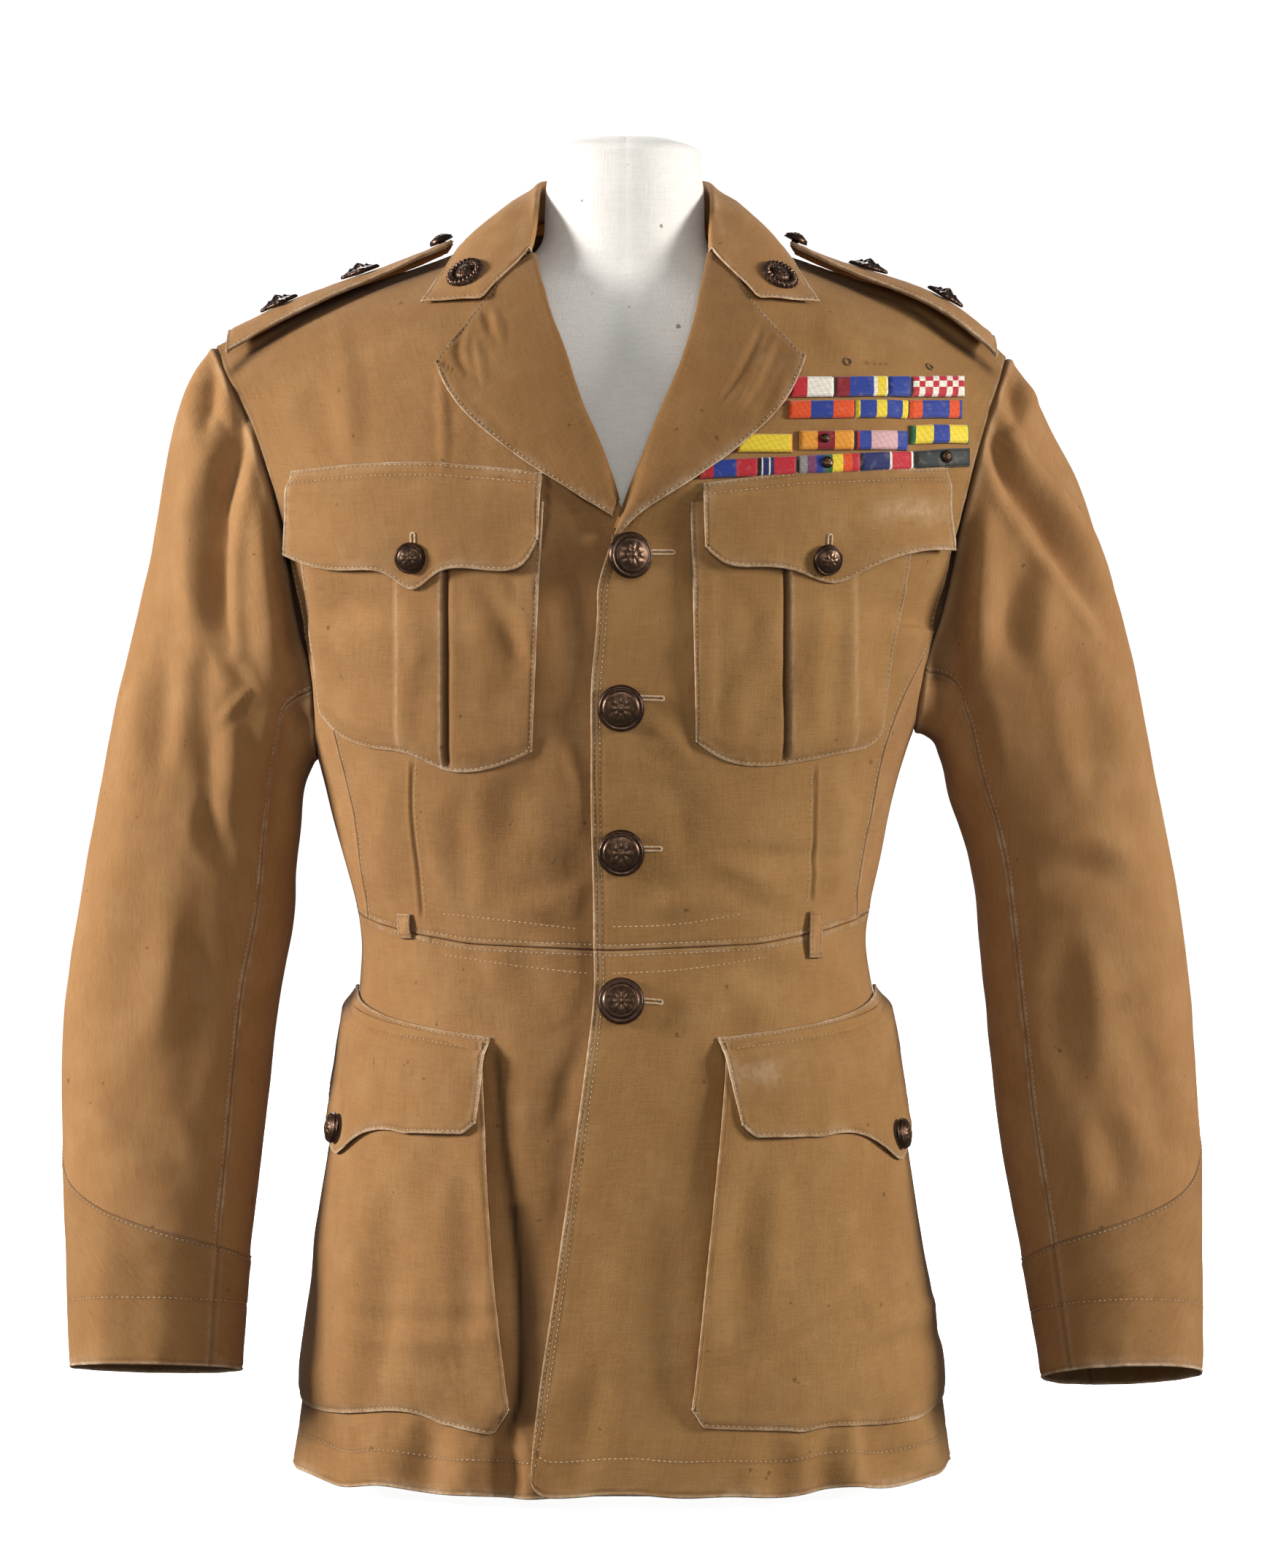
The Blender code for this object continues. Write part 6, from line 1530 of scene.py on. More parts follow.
# Painted shadow in the close gaps beside laid-on pieces, such as under the straps' edges and beside the pockets and
# flaps: width mm, amount, places on the picture
SHADOW_LINES = (
    (2.4, 1.1, (309, 519), (362, 475), (429, 432), (483, 406), (528, 392), (615, 360)),
    (2.4, 1.1, (1036, 325), (1092, 360), (1174, 397), (1245, 425), (1287, 456), (1329, 486), (1368, 520)),
    (1.4, 0.9, (750, 640), (750, 700), (742, 758)),
    (1.2, 0.7, (957, 672), (956, 720), (964, 762)),
    (2.4, 1.0, (679, 1425), (686, 1500), (690, 1560), (700, 1640), (710, 1740), (714, 1850), (706, 1940), (688, 1985)),
    (6.5, 0.7, (708, 1640), (722, 1760), (724, 1870), (714, 1965)),
    (1.2, 0.5, (1008, 1450), (1004, 1540), (984, 1680), (960, 1830), (946, 1950)),
)


# Painted shade on the sleeves' inner sides, next to the body: width mm, amount, places on the picture
SLEEVE_SHADE_LINES = (
    (10.0, 0.75, (382, 610), (400, 740), (416, 870), (430, 1000)),
    (8.0, 0.55, (1336, 620), (1316, 740), (1298, 850), (1286, 950)),
)


def close_shade(x, z, table=SHADOW_LINES):
    shade = np.zeros(np.shape(x))
    for width, amount, *places in table:
        d, share = along_line(line_through([spot(*place) for place in places], 24), x, z)
        shade += amount * smooth_step(share, 0.0, 0.06) * smooth_step(share, 1.0, 0.94) * np.exp(-((d / (0.001 * width)) ** 2))
    return shade


def collar_surface():
    half = np.array(COLLAR)
    back = half.copy()
    back[:, 0::3] *= -1
    whole = np.concatenate([back, half[::-1][1:]])
    for k in (0, 3, 6, 9):
        whole[:, k] += NECK_SHIFT * np.clip((whole[:, k + 2] - 0.700) / 0.025, 0, 1)
    v = stops(0.46, 0.0024)
    lines = spline(np.linspace(0, 1, len(whole)), whole, v)
    fold, mid, edge, foot = lines[:, 0:3], lines[:, 3:6], lines[:, 6:9], lines[:, 9:12]
    radial = fold - np.array([0, 0.002, 0.0])
    radial[:, 2] = 0
    radial /= np.linalg.norm(radial, axis=1, keepdims=True)
    up = np.array([0, 0, 1.0])
    profile = [foot * (1 - k) + (fold - 0.002 * up) * k for k in (0.0, 0.35, 0.7)]
    profile += [fold - radial * 0.0002 - 0.0006 * up, fold + radial * 0.0018 + 0.0009 * up, fold + radial * 0.0040 - 0.0006 * up]
    start = profile[-1]
    mid2 = 2 * mid - 0.5 * (start + edge)
    ends = smooth_step(np.abs(2 * v - 1), 0.80, 0.97)[:, None]
    for k in (0.28, 0.44, 0.5, 0.56, 0.76, 1.0):
        curved = start * (1 - k) ** 2 + mid2 * 2 * k * (1 - k) + edge * k * k
        straight = start + (mid - start) * 2 * k if k <= 0.5 else mid + (edge - mid) * (2 * k - 1)
        profile.append(curved * (1 - ends) + straight * ends)
    profile = np.array(profile)
    steps = np.linalg.norm(np.diff(profile, axis=0), axis=-1).mean(axis=1)
    run = np.concatenate([[0], np.cumsum(steps)])
    middle = 0.5 * (run[3] + run[5]) / run[-1]
    to = stops(run[-1], 0.0020, at=(middle,), low=False) * run[-1]
    return spline(run, profile, to), foot, edge


def build_collar():
    grid, foot, edge = collar_surface()
    inside = 0.5 * (foot + edge)
    piece = Cloth("collar", grid, lambda g: g - inside[None], None, thick=0.0014)
    base = piece.base
    fall = smooth_step(piece.from_edge["t1"], 0.060, 0.030)
    piece.lift(fall * (0.0005 * lumps(base, 0.030, 3.0) + 0.00025 * noise(base, 0.012, 5.0)))
    piece.finished("t1", stitch=0.0021, wear=1.0, soft=0.0005)
    piece.finished("s0", "s1", stitch=0.0021, wear=0.8, soft=0.0)
    fold = np.exp(-(((piece.from_edge["t0"] - 0.024) / 0.004) ** 2))
    piece.wear += 0.35 * fold * np.clip(0.5 + lumps(base, 0.012, 1.0), 0, 1)
    obj = piece.build(bands=None, finish="drill")
    piece.stitched("t1", 0.0021, start=0.003, end=0.003)
    piece.stitched("s0", 0.0021, start=0.034, end=0.003)
    piece.stitched("s1", 0.0021, start=0.034, end=0.003)
    return obj


# ---------------------------------------------------------------- pockets, flaps, straps, loops
def cornered(points, n=61):
    """A smooth line that keeps a clear corner at its second point."""
    pts = np.array(points, float)
    run = np.concatenate([[0], np.cumsum(np.linalg.norm(np.diff(pts, axis=0), axis=1))])
    share = np.linspace(0, 1, n)[:, None]
    soft = smooth_step(share, 0.8 * run[2] / run[-1], 1.1 * run[2] / run[-1])
    return line_through(points, n) * soft + line_through(points, n, smooth=False) * (1 - soft)


def dense_between(top, low, width, height, step=0.0018, at=(), corner=False):
    s = stops(width, step, at=at)
    t = stops(height, step)
    upper = spline(np.linspace(0, 1, 61), line_through(top, 61), s)
    lower = spline(np.linspace(0, 1, 61), cornered(low) if corner else line_through(low, 61), s)
    flat = upper[None] * (1 - t[:, None, None]) + lower[None] * t[:, None, None]
    return flat, s, t


POCKET_FOLDS = {
    "R": (
        (5.0, 1.0, 0.0, (430, 790), (440, 850), (446, 900)),
        (7.0, -1.0, 0.0, (466, 800), (480, 826), (496, 848)),
        (6.0, 0.8, 0.0, (650, 800), (668, 880), (660, 980)),
        (5.0, -0.9, 0.0, (700, 790), (712, 860), (708, 940)),
        (6.0, 0.9, 0.0, (560, 820), (575, 880), (570, 960)),
        (5.0, -0.7, 0.0, (590, 900), (580, 960), (584, 1020)),
    ),
    "L": (
        (6.0, 0.9, 0.0, (975, 800), (968, 880), (965, 980)),
        (6.0, -1.0, 0.0, (1010, 810), (1030, 870), (1020, 960)),
        (6.0, 0.9, 0.0, (1120, 820), (1116, 900), (1110, 1000)),
        (5.0, -0.8, 0.0, (1150, 830), (1140, 920), (1136, 1010)),
        (6.0, -1.1, 0.0, (1220, 780), (1214, 860), (1196, 950)),
        (6.0, 1.0, 0.0, (1240, 790), (1230, 860), (1212, 940)),
    ),
}
SKIRT_POCKET_FOLDS = {
    "R": (
        (8.0, 2.0, 0.0, (513, 1640), (503, 1767), (481, 1930)),
        (9.0, -2.0, 0.0, (545, 1620), (540, 1767), (522, 1920)),
        (8.0, 1.3, 0.0, (610, 1600), (618, 1720), (612, 1850)),
        (7.0, -1.2, 0.0, (645, 1590), (650, 1700), (648, 1820)),
        (5.0, -0.8, 0.0, (470, 1799), (560, 1812), (690, 1806)),
        (6.0, 0.8, 0.0, (480, 1830), (580, 1842), (690, 1832)),
        (6.0, -1.2, 0.0, (430, 1700), (440, 1800), (430, 1890)),
    ),
    "L": (
        (7.0, -1.7, 0.0, (1182, 1620), (1184, 1690), (1192, 1770)),
        (7.0, 1.6, 0.0, (1208, 1640), (1212, 1720), (1222, 1800)),
        (6.0, -1.6, 0.0, (1173, 1785), (1090, 1850), (995, 1912)),
        (6.0, 1.3, 0.0, (1150, 1762), (1070, 1816), (985, 1866)),
        (5.0, 1.2, 0.0, (1173, 1836), (1220, 1812), (1276, 1784)),
        (5.0, -1.0, 0.0, (1180, 1866), (1230, 1846), (1290, 1820)),
        (8.0, 1.3, 0.0, (1060, 1590), (1054, 1700), (1050, 1800)),
        (8.0, -1.2, 0.0, (1010, 1600), (1006, 1720), (1000, 1830)),
    ),
}


def step_up(d, wide):
    return smooth_step(d, -wide, wide)


def build_pockets():
    for side in "RL":
        sign = -1 if side == "R" else 1
        shape = CHEST_POCKET[side]
        p0, p1 = shape["pleat"]
        x_in, x_out = shape["top"][0][0], shape["top"][1][0]
        marks = tuple((p - x_in) / (x_out - x_in) for p in (p0, p1))
        flat, s, t = dense_between(shape["top"], shape["bottom"], x_out - x_in, 0.150, step=0.0021, at=marks)
        x, z = flat[..., 0], flat[..., 1]
        grid, up = FRONT_MAP[side](sign * x, z)
        run_s, run_t = run_along(grid, 1), run_along(grid, 0)
        d = np.minimum(np.minimum(run_s, run_s[:, -1:] - run_s), run_t[-1:] - run_t)
        inner = run_s
        out = 0.0013 + 0.0022 * smooth_step(d, 0.0, 0.014)
        gap = 0.0036 * smooth_step(inner, 0.016, 0.0) * np.sin(np.pi * np.clip(t[:, None] * 0.9 + 0.05, 0, 1)) ** 0.6
        pleat = step_up(x - p0, 0.0011) * step_up(p1 - x, 0.0050)
        out = out + gap + 0.0013 * pleat * smooth_step(d, 0.0, 0.006)
        slit = np.exp(-(((x - p0 + 0.0019) / 0.0014) ** 2)) * smooth_step(run_t[-1:] - run_t, 0.0, 0.006)
        out = out - 0.0022 * slit
        other = np.exp(-(((x - p1 - 0.0016) / 0.0010) ** 2))
        out = out - 0.0003 * other
        out = out + 0.6 * folds(POCKET_FOLDS[side], sign * x, z)
        piece = Cloth("chest_pocket_" + side, FRONT_MAP[side].lifted(sign * x, z, out), to_front, None, thick=0.0012)
        # painted shade in the pleat's slit, and a trace beside its other fold
        piece.painted_shade += 1.3 * slit + 0.05 * other
        piece.wear += 0.55 * np.exp(-(((x - p0 - 0.0013) / 0.0010) ** 2)) + 0.35 * np.exp(-(((x - p1 + 0.0010) / 0.0010) ** 2))
        piece.finished("s0", "s1", "t1", stitch=0.0020, wear=0.8, soft=0.0003)
        piece.build(bands=None, finish="drill_" + side)
        for edge in ("s0", "s1", "t1"):
            piece.stitched(edge, 0.0020)

        shape = CHEST_FLAP[side]
        flat, s, t = dense_between(shape["top"], shape["low"], 0.145, 0.058, step=0.0016)
        x, z = flat[..., 0], flat[..., 1]
        bx, bz = CHEST_BUTTONS[side]
        t2 = t[:, None]
        away = np.hypot(x - bx, z - bz)
        out = 0.0016 + 0.0050 * smooth_step(t2, 0.0, 0.26) + 0.0006 * t2 - 0.0012 * np.exp(-((away / 0.010) ** 2))
        out = out + 0.0014 * smooth_step(t2, 0.5, 1.0) * (0.5 + 0.9 * noise(np.stack([x, z, 0 * x], -1), 0.030, 2.0)) * smooth_step(away, 0.006, 0.02)
        if side == "R":
            out = out + 0.0022 * np.exp(-(((x - 0.0468) / 0.012) ** 2)) * t2
        piece = Cloth("chest_flap_" + side, FRONT_MAP[side].lifted(sign * x, z, out), to_front, lambda p, n: 0.0004 * lumps(p, 0.026, 8.0), thick=0.0017)
        piece.finished("s0", "s1", "t1", stitch=0.0020, wear=1.0, soft=0.0004)
        piece.finished("t0", stitch=0.0018, second=0.0085, wear=0.7, soft=0.0)
        if side == "L":
            px, pz = spot(1236, 700)
            piece.wear += 0.55 * np.exp(-(((x - px) / 0.020) ** 2 + ((z - pz) / 0.007) ** 2)) * np.clip(0.6 + lumps(piece.base, 0.012, 3.0), 0, 1)
        piece.build(bands=None, finish="drill_" + side)
        for edge in ("s0", "s1", "t1"):
            piece.stitched(edge, 0.0020)
        piece.stitched("t0", 0.0018)
        piece.stitched("t0", 0.0085)

        flat, s, t = dense_between(SKIRT_POCKET[side]["top"], SKIRT_POCKET[side]["bottom"], 0.19, 0.215, step=0.0025, corner=True)
        w, z = sign * flat[..., 0], flat[..., 1]
        base = body(w, z)
        run_s, run_t = run_along(base, 1), run_along(base, 0)
        t2, s2 = t[:, None], s[None]
        d = np.minimum(run_s, run_t[-1:] - run_t)
        bulge = np.sin(np.pi * np.clip(s2, 0, 1)) ** 0.5 * np.sin(np.pi * np.clip(0.15 + 0.7 * t2, 0, 1))
        out = 0.0030 + 0.0042 * bulge * smooth_step(run_t[-1:] - run_t, 0.0, 0.020) - 0.0012 * smooth_step(run_t[-1:] - run_t, 0.006, 0.0)
        out = out + 0.0045 * smooth_step(run_s, 0.030, 0.0) * np.sin(np.pi * np.clip(0.1 + 0.85 * t2, 0, 1)) ** 0.5
        seen_x, seen_z = seen_of(base)
        out = out + 0.75 * folds(SKIRT_POCKET_FOLDS[side], seen_x, seen_z)
        # the inner side turns back to the body as a gusset
        wall = np.linspace(0, 1, 7)[:-1][None]
        w_wall = w[:, :1] + sign * 0.012 * (1 - wall) * np.ones_like(w[:, :1])
        out_wall = 0.0006 + (out[:, :1] - 0.0006) * wall
        lap = np.concatenate([w_wall, w], axis=1)
        grid = on_body(lap, np.concatenate([np.repeat(z[:, :1], 6, axis=1), z], axis=1), np.concatenate([out_wall, out], axis=1))
        piece = Cloth("skirt_pocket_" + side, grid, from_middle, None, thick=0.0012)
        d = np.maximum(piece.from_edge["s0"] - piece.from_edge["s0"][:, 6:7], 0)
        ripple = lumps(piece.base, 0.007, 4.0)
        d0 = np.abs(piece.from_edge["s0"] - piece.from_edge["s0"][:, 6:7])
        piece.wear += 0.8 * np.clip(0.8 + 0.6 * ripple, 0, 1.3) * np.exp(-((d0 / 0.0011) ** 2))
        piece.lift(-0.0004 * np.exp(-(((d - 0.0022) / 0.0008) ** 2)) + 0.0003 * ripple * np.exp(-(((d - 0.004) / 0.003) ** 2)))
        # painted shade on the gusset wall, which turns back to the body
        piece.painted_shade += 0.9 * smooth_step(piece.from_edge["s0"][:, 6:7] - piece.from_edge["s0"], 0.0006, 0.003)
        piece.finished("t1", stitch=0.0020, wear=0.85, soft=0.0004)
        piece.finished("s1", stitch=0.0020, wear=0.6, soft=0.0002)
        piece.build(bands=None, finish="drill_" + side)
        piece.stitched("t1", 0.0020, start=0.006)

        flat, s, t = dense_between(SKIRT_FLAP[side]["top"], SKIRT_FLAP[side]["low"], 0.18, 0.070, step=0.0020, corner=True)
        w, z = sign * flat[..., 0], flat[..., 1]
        t2 = t[:, None]
        bw, bz = SKIRT_BUTTONS[side]
        away = np.hypot((flat[..., 0] - bw) * 0.5, z - bz)
        out = 0.0020 + 0.0068 * smooth_step(t2, 0.0, 0.24) + 0.0006 * t2 - 0.0012 * np.exp(-((away / 0.010) ** 2))
        out = out + 0.0016 * smooth_step(t2, 0.5, 1.0) * (0.5 + 0.9 * noise(np.stack([w * 0.5, z, 0 * w], -1), 0.030, 4.0)) * smooth_step(away, 0.006, 0.02)
        piece = Cloth("skirt_flap_" + side, on_body(w, z, out), from_middle, lambda p, n: 0.0004 * lumps(p, 0.026, 8.0), thick=0.0017)
        piece.finished("s0", "s1", "t1", stitch=0.0020, wear=1.0, soft=0.0004)
        piece.finished("t0", stitch=0.0018, second=0.0085, wear=0.7, soft=0.0)
        if side == "L":
            x, z = seen_of(piece.base)
            px, pz = spot(1062, 1468)
            piece.wear += 0.5 * np.exp(-(((x - px) / 0.026) ** 2 + ((z - pz) / 0.008) ** 2)) * np.clip(0.6 + lumps(piece.base, 0.012, 3.0), 0, 1)
        piece.build(bands=None, finish="drill_" + side)
        for edge in ("s0", "s1", "t1"):
            piece.stitched(edge, 0.0020)
        piece.stitched("t0", 0.0018)
        piece.stitched("t0", 0.0085)


def build_straps():
    for side in "RL":
        s = stops(0.128, 0.0017)
        a = -1 + 2 * stops(0.05, 0.0015)
        x = STRAP_START[side] + (STRAP_END[side] - STRAP_START[side]) * s
        # the end at the collar is pointed
        point = 0.0040 * np.abs(a[:, None]) ** 1.6 * np.clip(1 - s[None] / 0.25, 0, 1)
        grid = strap_point(side, x[None] + point, a[:, None])
        grid[..., 2] += 0.0010 * smooth_step(np.abs(a), 0.5, 1.0)[:, None]
        piece = Cloth("shoulder_strap_" + side, grid, upward, lambda p, n: 0.0004 * lumps(p, 0.024, 1.0), thick=0.0024)
        piece.finished("s0", "t0", "t1", stitch=0.0021, wear=1.0, soft=0.0003)
        piece.finished("s1", stitch=0.0021, wear=0.6, soft=0.0)
        piece.build(bands=None)
        for edge in ("s0", "t0", "t1"):
            piece.stitched(edge, 0.0021)


def build_loops():
    for side in "RL":
        sign = -1 if side == "R" else 1
        w, low, high = BELT_LOOPS[side]
        s, t = np.meshgrid(stops(0.0095, 0.0012), stops(high - low, 0.0012))
        middle = 0.0026 + 0.0012 * np.sin(np.pi * t)
        grid = on_body(sign * (w - 0.0122 + 0.0244 * s), low + (high - low) * t, middle)
        piece = Cloth("belt_loop_" + side, grid, from_middle, None, thick=0.0014)
        piece.finished("s0", "s1", stitch=0.0014, wear=0.4)
        piece.finished("t0", "t1", stitch=0.0016, wear=0.3)
        piece.build(bands=None)
        piece.stitched("s0", 0.0014)
        piece.stitched("s1", 0.0014)


# ---------------------------------------------------------------- ribbons
CRIMSON, WHITE, DARK_RED, BLUE, YELLOW = (0.55, 0.016, 0.030), (0.90, 0.84, 0.72), (0.26, 0.008, 0.018), (0.016, 0.045, 0.30), (0.90, 0.66, 0.035)
ORANGE, AMBER, PINK, GREEN, NAVY, BLACK, GREY, PURPLE = (0.80, 0.085, 0.012), (0.86, 0.34, 0.030), (0.72, 0.42, 0.42), (0.030, 0.16, 0.055), (0.010, 0.018, 0.120), (0.014, 0.020, 0.018), (0.30, 0.28, 0.26), (0.20, 0.050, 0.14)
# Stripes: where each ends, in places across the picture, and its colour
STRIPES = (
    ((1104, CRIMSON), (1140, WHITE), (1161, DARK_RED), (1193, BLUE), (1198, WHITE), (1210, YELLOW), (1214, WHITE), (1244, BLUE), (1330, "chequer")),
    ((1109, ORANGE), (1139, BLUE), (1169, ORANGE), (1175, YELLOW), (1197, BLUE), (1211, YELLOW), (1233, BLUE), (1242, YELLOW), (1260, ORANGE), (1296, BLUE), (1310, ORANGE), (1330, BLUE)),
    ((1008, YELLOW), (1012, AMBER), (1081, YELLOW), (1090, AMBER)),
    ((1118, AMBER), (1141, DARK_RED), (1167, AMBER), (1174, CRIMSON), (1190, BLUE), (1226, PINK), (1245, BLUE)),
    ((1252, GREEN), (1274, YELLOW), (1295, BLUE), (1321, YELLOW), (1335, GREEN)),
    ((977, CRIMSON), (1008, BLUE), (1036, CRIMSON), (1042, NAVY), (1044, WHITE), (1052, NAVY), (1054, WHITE), (1059, NAVY), (1091, CRIMSON), (1104, GREY), (1116, PURPLE), (1128, BLUE), (1138, GREEN), (1152, YELLOW), (1164, ORANGE), (1175, CRIMSON), (1215, NAVY), (1218, WHITE), (1246, CRIMSON), (1250, WHITE), (1340, BLACK)),
)
# Small plain studs on the ribbons: ribbon number, place on the picture, radius
STUDS = ((4, 1130, 601, 0.0026), (6, 1133, 634, 0.0034), (6, 1296, 626, 0.0036))


def build_ribbons():
    for number, ((x0, z0, x1, z1, tall), stripes) in enumerate(zip(RIBBONS, STRIPES), 1):
        wide = x1 - x0
        ends = [((px - 868) * 0.00042 + 0.0076 - x0) / wide for px, _ in stripes[:-1]]
        ends = [e for e in ends if 0.01 < e < 0.99]
        s = np.unique(np.concatenate([np.linspace(0, 1, int(wide / 0.0011)), ends, [0.004, 0.008, 0.992, 0.996]]))
        t = np.concatenate([[0, 0.03, 0.07], np.linspace(0.12, 0.88, 9), [0.93, 0.97, 1]])
        x, rise = x0 + wide * s[None], (t[:, None] - 0.5) * tall
        z = z0 + (z1 - z0) * (x - x0) / wide + rise
        x = x + 0 * z
        edge = np.minimum(t, 1 - t)[:, None] * tall
        side_edge = np.minimum(s, 1 - s)[None] * wide
        out = 0.0008 + 0.0022 * np.sqrt(np.clip(np.minimum(edge, side_edge) / 0.0016, 0, 1)) + 0.00025 * noise(np.stack([x, z, 0 * x], -1), 0.014, number)
        for cut in CUTS[number - 1]:
            cut_x = (cut - 868) * 0.00042 + 0.0076
            out = out - 0.0013 * np.exp(-(((x - cut_x) / 0.0007) ** 2))
        piece = Cloth(f"ribbon_{number}", FRONT_MAP["L"].lifted(x, z, out), to_front, None, thick=0.0010)
        piece.wear += 0.5 * np.exp(-((edge / 0.0007) ** 2)) + 0 * x
        obj = piece.build(finish="ribbon", slot="ribbon", bands=None)
        count = len(s) - 1
        rows = len(t) - 1
        middle_px = (x0 + wide * 0.5 * (s[1:] + s[:-1]) - 0.0076) / 0.00042 + 868
        colours = np.zeros((rows, count, 4))
        colours[..., 3] = 1
        for c, px in enumerate(middle_px):
            for end, colour in stripes:
                if px < end:
                    break
            # the cuts between ribbons are painted near black: painted shade in the gaps
            if any(abs(px - cut) < 1.7 for cut in CUTS[number - 1]):
                colour = (0.03, 0.018, 0.014)
            for r in range(rows):
                this = colour
                if colour == "chequer":
                    step = int((px - 1246) // 9) + int(t[r] * 3.0)
                    this = CRIMSON if step % 2 == 0 else WHITE
                shade = 1 + 0.10 * math.sin(c * 2.1 + r * 1.3) + 0.06 * math.sin(c * 0.7 - r * 2.2)
                colours[r, c, :3] = np.array(this) * shade
        faces = len(obj.data.polygons)
        layer = obj.data.attributes.new("dye_and_shade", "FLOAT_COLOR", "FACE")
        # the bars' side faces stay near black: painted shade
        flat = np.ones((faces, 4)) * np.array([0.030, 0.018, 0.014, 1.0])
        main = colours.reshape(-1, 4)
        flat[: len(main)] = main
        flat[len(main) : 2 * len(main)] = main
        layer.data.foreach_set("color", flat.ravel())


CUTS = ((1141, 1214, 1245), (1169, 1243), (), (1092, 1168), (), (1038, 1091, 1176, 1251))


# ---------------------------------------------------------------- metal, thread and the form
def raised(name, at, outline, height, rings, steps, base=0.0, shank=None, finish="bronze", nodes=None, thin=0.0008):
    """A round or pointed piece of metal: outline(angle) is its edge, height(share, angle) its relief over the base."""
    share = np.concatenate([[0.0], np.linspace(0.06, 0.94, rings), [0.975, 1.0]])
    angle = np.linspace(0, math.tau, steps, endpoint=False)
    q, a = np.meshgrid(share, angle, indexing="ij")
    r = outline(a) * q
    h = height(q, a)
    top = np.stack([r * np.cos(a), r * np.sin(a), h], axis=-1)
    rim = top[-1] * np.array([1, 1, 0]) + np.array([0, 0, base + thin * 0.5])
    low = top[-1] * np.array([0.93, 0.93, 0]) + np.array([0, 0, base])
    rows = [top[k] for k in range(1, len(top))] + [rim, low]
    wear = [np.clip((h[k] - h.min()) / max(float(np.ptp(h)), 1e-9), 0, 1) for k in range(1, len(h))] + [np.zeros(steps), np.zeros(steps)]
    if shank:
        neck, foot = shank
        for radius, z in ((neck, base), (neck, foot)):
            rows.append(np.stack([radius * np.cos(angle), radius * np.sin(angle), np.full(steps, z)], axis=-1))
            wear.append(np.zeros(steps))
    points = np.concatenate([[[0, 0, float(h[0].mean())]], np.concatenate(rows), [[0, 0, rows[-1][0, 2]]]])
    wear = np.concatenate([[float(np.clip((h[0].mean() - h.min()) / max(float(np.ptp(h)), 1e-9), 0, 1))], np.concatenate(wear), [0]])
    faces = [(0, 1 + k, 1 + (k + 1) % steps) for k in range(steps)]
    for row in range(len(rows) - 1):
        s = 1 + row * steps
        faces += [(s + k, s + steps + k, s + steps + (k + 1) % steps, s + (k + 1) % steps) for k in range(steps)]
    last = 1 + (len(rows) - 1) * steps
    faces += [(len(points) - 1, last + (k + 1) % steps, last + k) for k in range(steps)]
    mesh = bpy.data.meshes.new(name)
    world = np.array([at @ Vector(p) for p in points])
    mesh.from_pydata(world.tolist(), [], faces)
    mesh.shade_smooth()
    layer = mesh.attributes.new("wear", "FLOAT", "POINT")
    layer.data.foreach_set("value", wear)
    return linked("metal_" + name, mesh, finish, *((name,) if nodes is None else nodes), slot="bronze")


def rosette(q, a, petals=8):
    """A plain traditional flower in relief."""
    leaf = np.abs(np.cos(0.5 * petals * a)) ** 0.7
    bloom = np.exp(-(((q - 0.36) / 0.17) ** 2)) * leaf
    heart = np.exp(-((q / 0.13) ** 4))
    ring = np.exp(-(((q - 0.70) / 0.035) ** 2)) * (0.75 + 0.25 * np.cos(36 * a))
    return 0.7 * bloom + 0.9 * heart + 0.45 * ring


def button_height(radius):
    def height(q, a):
        dome = 0.0016 + 0.0032 * (1 - np.clip(q, 0, 1) ** 2.2)
        rim = 0.0005 * np.exp(-(((q - 0.90) / 0.05) ** 2)) - 0.0004 * np.exp(-(((q - 0.80) / 0.04) ** 2))
        return dome + rim + 0.00075 * rosette(q, a) * (radius / 0.013) - 0.0012 * smooth_step(q, 0.955, 1.0)

    return height


def round_edge(radius):
    return lambda a: radius + 0 * a


def look_at(names, x, z):
    """The nearest point and normal seen at (x, z) on the finished cloth."""
    eye = Vector((VIEW_X, -VIEW_DISTANCE, VIEW_Z))
    ray = (Vector((x, 0, z)) - eye).normalized()
    best = None
    for name in names:
        if name not in TREES:
            TREES[name] = tree_of(FINAL[name])
        point, _, _, distance = TREES[name].ray_cast(eye, ray)
        if point is not None and (best is None or distance < best[1]):
            best = (np.array(point), distance)
    return None if best is None else best[0]


def surface_at(names, x, z, e=0.005):
    p = look_at(names, x, z)
    around = [look_at(names, x + dx, z + dz) for dx, dz in ((e, 0), (-e, 0), (0, e), (0, -e))]
    if p is None or any(q is None for q in around):
        return p, None
    n = np.cross(around[0] - around[1], around[2] - around[3])
    n = n / np.linalg.norm(n)
    return p, n if n[1] < 0 else -n


TREES = {}


